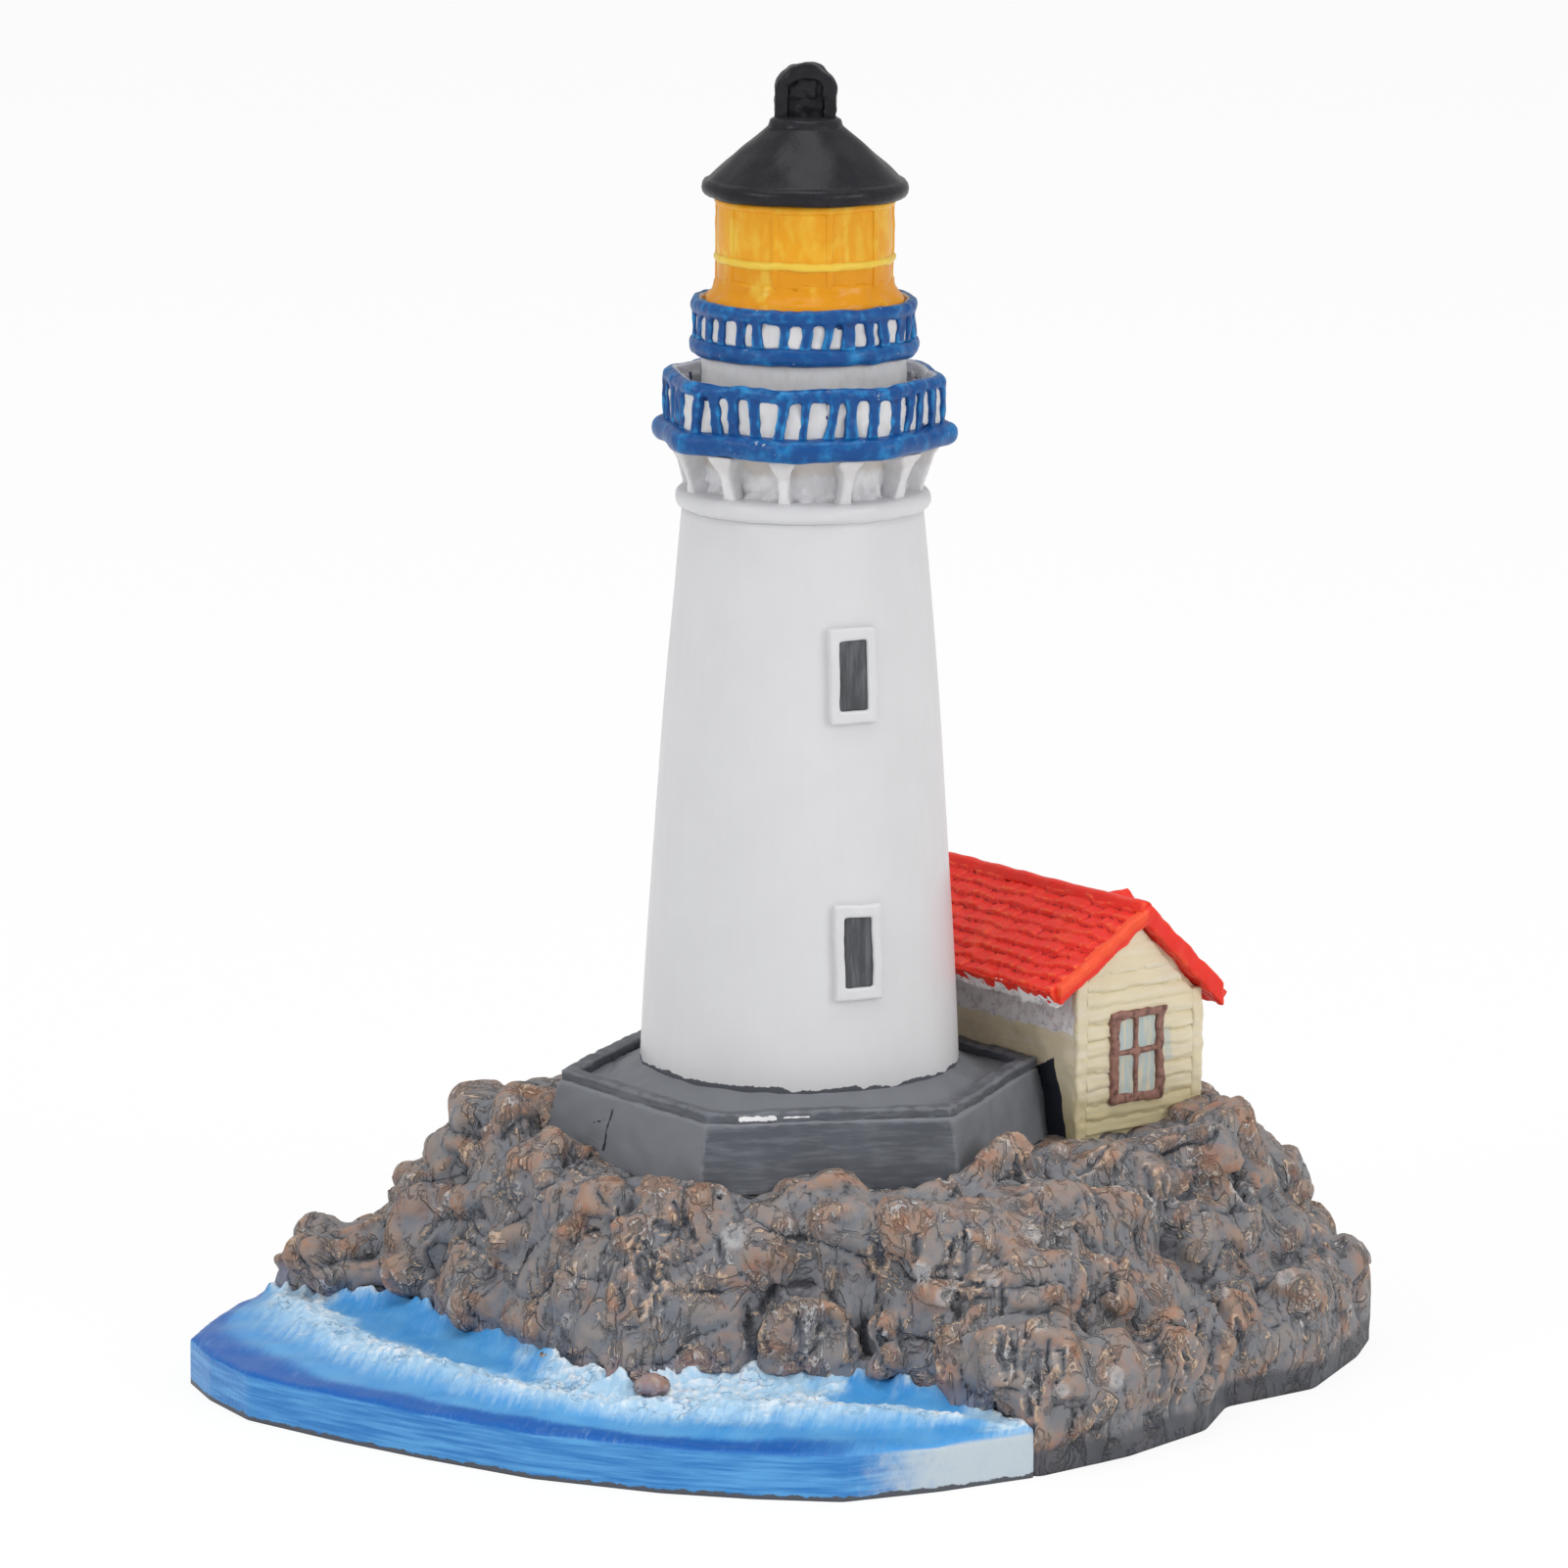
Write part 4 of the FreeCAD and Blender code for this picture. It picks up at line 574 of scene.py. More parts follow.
class Finish(Wiring):
    """A material under way, whose plain values are set on its Principled shader."""

    def __init__(self, name, roughness, coat):
        self.material = bpy.data.materials.new(name)
        self.material.use_nodes = True
        super().__init__(self.material.node_tree)
        self.sockets = node_of(self.tree, "BSDF_PRINCIPLED").inputs
        plain = {"Roughness": roughness, "Specular IOR Level": 0.22}
        plain |= {"Coat Weight": coat, "Coat Roughness": 0.25}
        for label, value in plain.items():
            self.sockets[label].default_value = value

    def show(self, body):
        self.tree.links.new(body, self.sockets["Base Color"])

    def raise_skin(self, height, depth):
        """Bumps the skin, with depth in millimetres, on top of the bumps that it has."""
        inputs = {"Height": height, "Distance": depth * MM, "Strength": 1.0}
        if self.sockets["Normal"].is_linked:
            inputs["Normal"] = self.sockets["Normal"].links[0].from_socket
        bumped = add(self.tree, "ShaderNodeBump", inputs).outputs["Normal"]
        self.tree.links.new(bumped, self.sockets["Normal"])

    def vary_gloss(self, value, least, most):
        inputs = {"Value": value, "To Min": least, "To Max": most}
        gloss = add(self.tree, "ShaderNodeMapRange", inputs).outputs["Result"]
        self.tree.links.new(gloss, self.sockets["Roughness"])

    def pit(self, body, spacing, radius, share, dark, depth=0.3):
        """Shows the paint with casting pits in it, darker than the paint round them as painted shade inside
        the holes.
        """
        pits = self.use("Casting pits", {"Spacing": spacing, "Radius": radius, "Share": share})
        self.show(self.mixed(pits["Mask"], body, dark))
        self.raise_skin(pits["Height"], depth)


def group(name, inputs, outputs):
    """An empty shader group with its named inputs and outputs."""
    tree = bpy.data.node_groups.new(name, "ShaderNodeTree")
    kinds = {"value": "NodeSocketFloat", "colour": "NodeSocketColor", "vector": "NodeSocketVector"}
    for way, sockets in (("INPUT", inputs), ("OUTPUT", outputs)):
        for label, kind in sockets.items():
            tree.interface.new_socket(label, in_out=way, socket_type=kinds[kind])
    return Wiring(tree), tree.nodes.new("NodeGroupInput").outputs, tree.nodes.new("NodeGroupOutput").inputs


def make_brushing():
    """Streaks left by a small stiff brush, with the paint thin in places."""
    inputs = {"Paint": "colour", "Streak paint": "colour"}
    inputs |= {"Grain": "vector", "Streaks": "value", "Clouds": "value"}
    outputs = {"Color": "colour", "Height": "value", "Streak": "value"}
    wiring, given, result = group("Brushed paint", inputs, outputs)
    streak = wiring.speckle(given["Grain"], 4, 0.65)
    band = wiring.between(streak, 0.42, 0.68)
    laid = wiring.over(given["Paint"], band, given["Streaks"], given["Streak paint"])
    cloud = wiring.between(wiring.speckle(0.16, 3), 0.3, 0.7)
    shade = wiring.times(wiring.minus(cloud, 0.5), given["Clouds"])
    inputs = {0: laid, 3: wiring.math("ADD", shade, 1.0)}
    tinted = add(wiring.tree, "ShaderNodeVectorMath", inputs, operation="SCALE").outputs[0]
    for label, value in (("Color", tinted), ("Height", streak), ("Streak", band)):
        wiring.tree.links.new(value, result[label])


def make_dry_brush_highlight_and_shade():
    """Lighter paint on what stands out, partly dry brushing and partly painted highlight, and painted shade
    in the hollows.
    """
    inputs = dict.fromkeys(("Paint", "High paint", "Hollow paint"), "colour")
    amounts = ("High from", "High to", "Hollow from", "Hollow to", "Patchy", "Grain")
    inputs |= dict.fromkeys(amounts, "value")
    wiring, given, result = group("Dry brush, highlight and shade", inputs, {"Color": "colour"})
    stand = wiring.plus(wiring.written("relief"), wiring.drift(given["Grain"], 4, 0.7), given["Patchy"])
    # What stands out takes the high paint: partly dry brushing, partly painted highlight
    high = wiring.between(stand, given["High from"], given["High to"])
    # The hollows take the hollow paint as painted shade
    hollow = wiring.between(stand, given["Hollow from"], given["Hollow to"])
    shaded_hollows = wiring.mixed(hollow, given["Paint"], given["Hollow paint"])
    wiring.tree.links.new(wiring.mixed(high, shaded_hollows, given["High paint"]), result["Color"])


def make_pits():
    """Small round holes that air leaves in a casting, in a few places only."""
    inputs = dict.fromkeys(("Spacing", "Radius", "Share"), "value")
    wiring, given, result = group("Casting pits", inputs, {"Mask": "value", "Height": "value"})
    often = wiring.math("DIVIDE", 1.0, given["Spacing"])
    inputs = {"Vector": wiring.place, "Scale": often, "Randomness": 1.0}
    cells = add(wiring.tree, "ShaderNodeTexVoronoi", inputs).outputs
    distance = wiring.times(cells["Distance"], given["Spacing"])
    inside = wiring.between(distance, given["Radius"], wiring.times(given["Radius"], 0.5))
    chance = add(wiring.tree, "ShaderNodeSeparateColor", {"Color": cells["Color"]}).outputs[0]
    # Painted shade: the mask darkens the inside of each pit
    mask = wiring.times(inside, wiring.math("LESS_THAN", chance, given["Share"]))
    wiring.tree.links.new(mask, result["Mask"])
    wiring.tree.links.new(wiring.minus(1.0, mask), result["Height"])


def make_ragged_edge():
    """The uneven line where one paint stops, across a value such as a height."""
    inputs = dict.fromkeys(("Value", "Level", "Unevenness", "Softness", "Grain"), "value")
    wiring, given, result = group("Ragged edge", inputs, {"Mask": "value"})
    level = wiring.plus(given["Level"], wiring.drift(given["Grain"], 4, 0.6), given["Unevenness"])
    high = wiring.math("ADD", level, given["Softness"])
    wiring.tree.links.new(wiring.between(given["Value"], level, high), result["Mask"])


# Paint finishes


def brushed(name, body, streak, grain, streaks, clouds, roughness, coat, depth):
    """Brushed paint on cast resin: the finish and what the brush has laid down."""
    paint = Finish(name, roughness, coat)
    inputs = {"Paint": body, "Streak paint": streak, "Grain": grain}
    inputs |= {"Streaks": streaks, "Clouds": clouds}
    laid = paint.use("Brushed paint", inputs)
    paint.show(laid["Color"])
    paint.vary_gloss(laid["Height"], roughness - 0.08, roughness + 0.1)
    paint.raise_skin(laid["Height"], depth)
    return paint, laid


def stone_paint():
    """Blue-grey undercoat, taupe and copper brown rubbed over it, painted shade in the gaps, hollows and
    creases, and pale on the edges, ridges and burrs, partly paint and partly painted highlight.
    """
    paint = Finish("stone_paint", 0.5, 0.05)
    relief, bulk = paint.written("relief"), paint.written("bulk")

    def patchy(value, grain, amount, detail=4.0):
        return paint.plus(value, paint.drift(grain, detail, 0.65), amount)

    warm = paint.between(patchy(bulk, 0.3, 1.4), 0.4, 0.75)
    body = paint.over("stone", warm, 0.75, "stone_warm")
    # Painted shade: darker deep in the hollows between the blocks
    body = paint.over(body, paint.between(bulk, 0.36, 0.02), 0.8, "stone_dark")
    rusty = paint.between(paint.speckle(0.5, 4, 0.7), 0.4, 0.6)
    brown = paint.mixed(rusty, "stone_brown", "stone_rust")
    body = paint.over(body, paint.between(patchy(bulk, 0.2, 2.2, 5.0), 0.4, 1.05), 0.85, brown)
    # Painted shade: darker in the small hollows
    low = paint.between(patchy(relief, 1.2, 0.5), 0.34, 0.02)
    body = paint.over(body, low, 0.8, "stone_dark")
    body = paint.over(body, paint.written("furrow"), 0.6, "stone_slate")
    creases, ridges = [], []
    for place in (paint.place, paint.stretched((1.5, 1.5, 0.5))):
        fold = paint.speckle(0.28, 4.0, 0.55, 0.6, place)
        drawn_out = paint.between(paint.speckle(0.21, 3, place=place), 0.42, 0.56)
        for lines, level, half in ((creases, 0.5, 0.03), (ridges, 0.548, 0.026)):
            near = paint.math("ABSOLUTE", paint.minus(fold, level))
            lines.append(paint.times(paint.between(near, half, 0.0), drawn_out))
    crease, ridge = paint.math("MAXIMUM", *creases), paint.math("MAXIMUM", *ridges)
    # Painted shade along the creases
    body = paint.over(body, crease, 0.35, "stone_dark")
    # Pale on the edges, ridges and burrs: partly paint and partly painted highlight
    whiter = paint.between(paint.speckle(0.35, 3), 0.45, 0.6)
    pale = paint.mixed(whiter, "stone_cream", "stone_pale")
    edge = paint.plus(patchy(relief, 0.9, 1.1), paint.written("burr"), 0.4)
    edge = paint.plus(edge, ridge, 0.75)
    body = paint.over(body, paint.between(edge, 0.85, 1.3), 0.75, pale)
    body = paint.over(body, paint.written("bubble"), 0.6, "stone_pale")
    spray = paint.times(paint.written("spray"), paint.between(paint.speckle(0.4, 4, 0.7), 0.3, 0.7))
    body = paint.over(body, spray, 0.45, "sea_side")
    body = paint.over(body, paint.written("foot"), 0.9, "plinth")
    paint.raise_skin(paint.speckle(1.5, 5, 0.62), 0.12)
    paint.raise_skin(paint.minus(ridge, crease), 0.18)
    paint.vary_gloss(paint.speckle(0.8, 3), 0.34, 0.6)
    paint.pit(body, 8.0, 0.3, 0.08, "stone_dark")
    return paint.material


def sea_paint():
    """Deep blue behind the edge, dragged with a dry brush into the white of the surf."""
    paint = Finish("sea_paint", 0.36, 0.08)
    inputs = {"Vector": paint.place, "Rotation": (0, 0, math.radians(13))}
    brush_way = add(paint.tree, "ShaderNodeMapping", inputs).outputs[0]
    streak = paint.drift((1.5, 0.13, 0.4), 5, 0.7, brush_way)
    fleck = paint.drift(0.75, 5, 0.7)
    cloud = paint.drift(0.16, 3, 0.6)
    water = paint.mixed(paint.between(cloud, -0.16, 0.16), "sea", "sea_pool")
    deep = paint.plus(paint.written("deep"), streak, 0.9)
    water = paint.mixed(paint.between(deep, 0.1, 1.0), water, "sea_deep")
    foam = paint.plus(paint.written("foam"), streak, 1.3)
    foam = paint.plus(paint.plus(foam, cloud, 0.6), fleck, 0.4)
    water = paint.mixed(paint.between(foam, 0.0, 0.95), water, "sea_pale")
    thread = paint.math("ABSOLUTE", paint.minus(paint.speckle(0.42, 4, 0.6, 0.7), 0.5))
    wrinkle = paint.times(paint.between(thread, 0.035, 0.0), paint.between(foam, 0.45, 0.9))
    wrinkle = paint.times(wrinkle, paint.between(paint.speckle(0.25, 3), 0.46, 0.6))
    water = paint.over(water, wrinkle, 0.5, "sea_pool")
    curd = paint.plus(paint.plus(foam, cloud, 1.2), fleck, 1.2)
    curd = paint.plus(curd, paint.written("relief"), 0.6)
    water = paint.mixed(paint.between(curd, 1.0, 2.0), water, "foam")
    lengthwise = paint.between(paint.drift((0.12, 0.12, 2.6), 4, 0.6), -0.16, 0.2)
    side = paint.mixed(lengthwise, "sea_side", "sea")
    scuffed = paint.between(paint.plus(paint.written("grey"), fleck, 0.8), 0.15, 1.0)
    side = paint.mixed(scuffed, side, "sea_scuff")
    water = paint.mixed(paint.written("side"), water, side)
    water = paint.mixed(paint.ragged("height", 0.42, 1.1, 0.15, 0.7), "plinth", water)
    paint.raise_skin(paint.speckle((2.2, 0.3, 1.2), 5, 0.7, place=brush_way), 0.14)
    paint.raise_skin(paint.times(wrinkle, -1.0), 0.12)
    paint.vary_gloss(foam, 0.3, 0.55)
    paint.pit(water, 6.0, 0.24, 0.15, "sea_deep")
    return paint.material


def tower_paint():
    """White gloss with faint upright streaks, and the plinth's grey carried up its foot."""
    grain = (0.9, 0.9, 0.05)
    paint, laid = brushed("tower_paint", "tower", "tower_streak_and_shade", grain, 0.05, 0.03, 0.34, 0.12, 0.012)
    body = paint.mixed(paint.ragged("height", 3.1, 2.0, 0.12, 0.32), "plinth", laid["Color"])
    paint.pit(body, 11.0, 0.2, 0.16, (0.12, 0.12, 0.12, 1), 0.25)
    return paint.material


def plinth_paint():
    """Dark grey brushed along the stone, rubbed pale on the edges, chipped white and scratched black."""
    grain = (0.2, 0.2, 1.6)
    paint, laid = brushed("plinth_paint", "plinth", "plinth_light", grain, 0.3, 0.16, 0.44, 0.05, 0.05)
    # Painted light: paler grey on the side faces and the floor, which catch more light than the front
    body = paint.mixed(paint.written("pale"), laid["Color"], "plinth_lit")
    body = paint.over(body, paint.ragged("relief", 0.66, 0.35, 0.2, 1.1), 0.4, "plinth_light")
    for name, top in (("chipped", "eave"), ("scratched", "gap")):
        body = paint.mixed(paint.ragged(name, 0.55, 0.9, 0.14, 1.6), body, top)
    paint.pit(body, 9.0, 0.22, 0.12, (0.03, 0.03, 0.03, 1))
    return paint.material


def gallery_blue():
    """Strong blue with bright edges, partly paint and partly painted highlight, and navy in the corners as
    painted shade.
    """
    paint = Finish("gallery_blue", 0.34, 0.1)
    # Painted highlight on what stands out and painted shade in the corners, from the relief
    body = paint.dry_brush_highlight_and_shade("blue", "blue_light", "blue_dark", (0.62, 1.15), (0.5, 0.14), 0.9, 0.5)
    bare = paint.between(paint.speckle(0.75, 4, 0.7), 0.67, 0.72)
    body = paint.over(body, bare, 0.8, "tower")
    paint.show(paint.mixed(paint.written("inside"), body, "tower"))
    paint.raise_skin(paint.speckle(2.2, 4, 0.6), 0.07)
    paint.vary_gloss(paint.speckle(1.0, 3), 0.26, 0.48)
    return paint.material


def gallery_white():
    """White between the posts, with blue slopped over it here and there."""
    grain = (1.4, 1.4, 0.7)
    paint, laid = brushed("gallery_white", "tower", "tower_streak_and_shade", grain, 0.35, 0.06, 0.42, 0.12, 0.05)
    blue = paint.mixed(laid["Streak"], "blue_dark", "blue")
    paint.show(paint.mixed(paint.ragged("slop", 0.5, 0.9, 0.12, 1.3), laid["Color"], blue))
    return paint.material


def corbel_paint():
    """Thick white, with beige-grey painted shade in the hollows under the gallery, between the brackets and
    fainter on them.
    """
    paint, laid = brushed("corbel_paint", "tower", "eave", (1.2, 1.2, 0.5), 0.4, 0.06, 0.36, 0.1, 0.05)
    # Painted shade: beige-grey high in the hollows under the gallery deck
    shaded = paint.times(paint.ragged("height", 97.4, 2.4, 1.2, 0.7), paint.written("recess_shade"))
    paint.show(paint.over(laid["Color"], shaded, 0.85, "tower_streak_and_shade"))
    return paint.material


def lantern_yellow():
    """Golden gloss, thin and pale in patches and deeper orange low down."""
    grain = (0.5, 0.5, 0.22)
    paint, laid = brushed("lantern_yellow", "lantern", "lantern_light", grain, 0.4, 0.05, 0.3, 0.05, 0.04)
    body = paint.mixed(paint.ragged("height", 119.0, 3.0, 1.5, 0.3), "lantern_dark", laid["Color"])
    thin = paint.times(paint.between(paint.speckle((0.3, 0.3, 0.18), 3), 0.56, 0.72), 0.6)
    pale = paint.math("MULTIPLY_ADD", paint.written("belt"), 0.85, thin, clamp=True)
    body = paint.mixed(pale, body, "lantern_light")
    paint.show(paint.mixed(paint.ragged("height", 126.0, 1.5, 0.08, 0.35), body, "roof"))
    return paint.material


def roof_black():
    """Glossy black with the dents and brush lines of thick paint."""
    paint, laid = brushed("roof_black", "roof", "plinth", (0.5, 0.5, 0.5), 0.06, 0.06, 0.27, 0.0, 0.08)
    paint.sockets["Specular IOR Level"].default_value = 0.12
    # Grey on the raised edges, partly paint and partly painted highlight, and near black painted shade in the
    # hollows
    paint.show(paint.dry_brush_highlight_and_shade(laid["Color"], "plinth", (0.008, 0.008, 0.01, 1), (0.95, 1.5)))
    return paint.material


def cottage_cream():
    """Cream brushed along the boards, paler on their edges as paint and painted highlight and yellower in the
    grooves as painted shade, with the eave's white run down it.
    """
    grain = (0.22, 0.22, 1.7)
    paint, laid = brushed("cottage_cream", "cream", "eave", grain, 0.25, 0.08, 0.45, 0.05, 0.07)
    # Pale on the board edges, partly paint and partly painted highlight; yellow-beige painted shade in the
    # grooves
    body = paint.dry_brush_highlight_and_shade(laid["Color"], "eave", "cream_dark", (0.75, 1.2), (0.42, -0.1))
    above = paint.plus(0.4, paint.ragged("height", 27.0, 5.0, 4.0, 0.25), 0.6)
    body = paint.mixed(above, "cream_dark", body)
    mauve = paint.between(paint.speckle(0.8, 5, 0.7), 0.48, 0.62)
    dabbed = paint.over("eave", mauve, 0.5, "mauve")
    body = paint.mixed(paint.ragged("splash", 0.5, 0.7, 0.06, 0.6), body, dabbed)
    # Painted shadow: near black on the side wall in the gap beside the plinth
    body = paint.mixed(paint.ragged("gap_shadow", 0.5, 0.3), body, "gap")
    body = paint.over(body, paint.between(paint.written("smear"), 0.2, 0.8), 0.6, "pane")
    paint.pit(body, 5.0, 0.3, 0.12, (0.12, 0.1, 0.05, 1), 0.35)
    return paint.material


def cottage_white():
    """White dabbed along the eave, with mauve-grey showing through."""
    paint = Finish("cottage_white", 0.5, 0.08)
    specks = paint.between(paint.speckle(1.0, 5, 0.7), 0.5, 0.66)
    paint.show(paint.over("eave", specks, 0.75, "mauve"))
    paint.raise_skin(paint.speckle(1.5, 5, 0.7), 0.3)
    return paint.material


def roof_red():
    """Red gloss with orange on the edges of the shingles, partly paint and partly painted highlight, and dark
    red painted shade in their gaps.
    """
    paint = Finish("roof_red", 0.36, 0.08)
    # Painted highlight on the shingles' edges along with the orange paint, and painted shade in their gaps
    body = paint.dry_brush_highlight_and_shade("red", "red_light", "red_dark", (0.55, 0.95), (0.38, 0.06), 0.5, 0.6)
    thin = paint.between(paint.speckle(0.22, 3), 0.5, 0.75)
    body = paint.over(body, thin, 0.3, "red_light")
    # Painted highlight along the upper edge of the left rake
    paint.show(paint.over(body, paint.written("bright"), 0.55, "red_light"))
    paint.raise_skin(paint.speckle(1.5, 4, 0.6), 0.12)
    paint.vary_gloss(paint.speckle(0.7, 3), 0.28, 0.5)
    return paint.material


def window_grey():
    """Dark grey gloss, with a lighter upright streak."""
    grain = (1.2, 1.2, 0.12)
    return brushed("window_grey", "glass", "plinth_light", grain, 0.35, 0.1, 0.22, 0.1, 0.05)[0].material


def window_brown():
    """Mauve-brown strokes of uneven strength."""
    grain = (1.3, 1.3, 1.0)
    return brushed("window_brown", "brown", "brown_dark", grain, 0.9, 0.15, 0.5, 0.05, 0.08)[0].material


def pale_pane():
    """Pale blue wash over cream."""
    return brushed("pale_pane", "pane", "cream", (1.5, 1.5, 0.2), 0.9, 0.06, 0.4, 0.08, 0.06)[0].material


# Rocks and sea


def surface_of(*nodes):
    """The skin of some CAD nodes, to find places on it."""
    bm = bmesh.new()
    solids(bm, *nodes)
    found = BVHTree.FromBMesh(bm)
    bm.free()
    return found


def met_from_outside(skin, azimuth, height):
    """Where a level line from outside towards the tower's axis meets a skin."""
    return skin.ray_cast(around(azimuth, 120, height), around(azimuth, -1, 0))


def sink_underside(bm):
    """Lets the underside hang lower, so that cutting it off leaves a sharp edge."""
    for vert in bm.verts:
        if vert.co.z < 0.01:
            vert.co.z = -1.5


def tree_of(points):
    """A tree that finds the nearest of some points."""
    tree = KDTree(len(points))
    for index, point in enumerate(points):
        tree.insert(point, index)
    tree.balance()
    return tree


def knocked_block(bm, place, dice):
    """A block of stone with flat faces and its corners knocked off."""
    verts = bmesh.ops.create_icosphere(bm, subdivisions=3, radius=1.7)["verts"]
    planes = []
    for axis in range(3):
        for side in (-1, 1):
            normal = Vector((0, 0, 0))
            normal[axis] = side
            leaning = (normal + noise.random_unit_vector() * 0.12).normalized()
            planes.append((leaning, dice.uniform(0.85, 1.0)))
    for _ in range(7):
        planes.append((noise.random_unit_vector(), dice.uniform(0.95, 1.3)))
    for vert in verts:
        for normal, reach in planes:
            over = vert.co.dot(normal) - reach
            if over > 0:
                vert.co -= normal * over
    bmesh.ops.transform(bm, matrix=place, verts=verts)


def block_place(spot, outward, half, dice, turn):
    """Stands a block at a spot, facing outward and turned a little at random."""
    across = UP.cross(outward).normalized()
    facing = Matrix((across, outward, outward.cross(across))).transposed()
    for axis in "XYZ":
        facing = facing @ Matrix.Rotation(dice.uniform(-turn, turn), 3, axis)
    return Matrix.Translation(spot) @ facing.to_4x4() @ Matrix.Diagonal((*half, 1))


BOULDERS = ("boulders_left", "boulders_front", "boulders_right", "boulders_back")

# Rows of rock blocks: height, share of the block spacing, and how far the blocks stand out
ROCK_ROWS = ((5.6, 1.0, 0.4), (10.0, 1.2, 0.6), (15.0, 1.25, 0.7), (19.6, 1.2, 0.5), (22.4, 1.0, 0.0))

# Main blocks of the slopes: azimuth in degrees, height, half width, half height, how far they stand out
MAIN_ROCKS = (
    (-69, 24.0, 4.9, 2.6, 1.6),
    (-84, 23.8, 3.6, 2.6, 1.6),
    (-25, 21.2, 6.2, 3.2, 1.2),
    (-31, 16.1, 4.1, 5.2, 1.8),
    (-56, 17.9, 4.9, 3.3, 1.6),
    (-83, 17.6, 3.3, 3.1, 1.6),
    (-54, 12.4, 5.2, 3.1, 1.6),
    (-19, 11.2, 5.2, 3.9, 2.0),
    (1, 11.4, 5.0, 4.4, 2.0),
    (-8, 19.4, 4.1, 3.3, 1.4),
    (24, 20.4, 7.0, 3.2, 1.4),
    (48, 22.6, 4.2, 2.6, 1.4),
    (30, 18.0, 5.0, 1.6, 1.2),
    (38, 16.4, 3.9, 3.1, 1.6),
    (20, 11.6, 3.5, 3.9, 1.8),
    (26, 11.0, 3.4, 4.1, 1.8),
    (31, 10.6, 3.2, 4.4, 1.8),
    (97, 23.0, 4.7, 3.8, 2.0),
    (78, 23.6, 4.9, 3.3, 2.0),
    (61, 19.2, 3.8, 3.2, 1.8),
    (78, 17.1, 4.7, 3.4, 1.8),
    (92, 18.0, 4.0, 2.3, 1.2),
    (92, 13.4, 4.8, 1.8, 1.2),
    (84, 10.0, 4.7, 3.3, 1.6),
    (98, 9.3, 2.1, 2.0, 1.2),
    (91, 5.9, 2.4, 3.2, 0.8),
    (84, 4.4, 3.9, 3.0, 0.6),
    (59, 14.3, 3.6, 3.0, 1.6),
    (48, 16.1, 2.3, 3.4, 1.8),
    (75, 11.0, 2.1, 2.1, 1.2),
    (40, 8.6, 4.6, 4.2, 1.2),
    (54, 8.2, 2.4, 3.8, 1.2),
    (64, 7.2, 2.1, 3.4, 1.0),
    (74, 6.6, 3.2, 2.9, 1.0),
    (-94, 16.4, 3.7, 2.1, 1.6),
    (-92, 14.0, 2.7, 1.3, 1.4),
    (-89, 12.2, 3.1, 1.6, 1.4),
    (-98, 9.3, 4.0, 1.7, 1.4),
    (-86, 9.7, 2.3, 1.5, 1.2),
    (-89, 21.2, 3.6, 1.6, 1.4),
    (-81, 16.7, 2.3, 2.7, 1.4),
)

# Boulders that stand over the ledge: azimuth in degrees, radius, height, half width, half depth, half height
LEDGE_ROCKS = (
    (-96, 34.0, 25.6, 4.2, 3.6, 3.2),
    (-84, 30.6, 26.4, 4.0, 3.0, 3.4),
    (-108, 35.5, 23.8, 4.2, 3.4, 3.0),
    (-122, 32.0, 24.4, 4.6, 3.4, 2.8),
    (-138, 33.0, 24.0, 4.2, 3.6, 3.0),
    (-154, 35.0, 24.0, 4.6, 3.4, 2.6),
    (-170, 36.5, 24.0, 4.4, 3.6, 2.8),
    (174, 39.0, 23.8, 4.6, 3.4, 2.6),
    (47, 28.0, 25.0, 4.6, 2.4, 3.0),
    (60, 29.2, 24.8, 3.4, 2.6, 2.2),
    (72, 33.4, 24.4, 3.6, 3.0, 1.8),
    (84, 43.6, 25.8, 3.6, 3.4, 3.0),
    (92, 45.6, 25.0, 3.4, 3.4, 3.0),
    (101, 44.0, 25.2, 3.2, 3.2, 2.6),
)

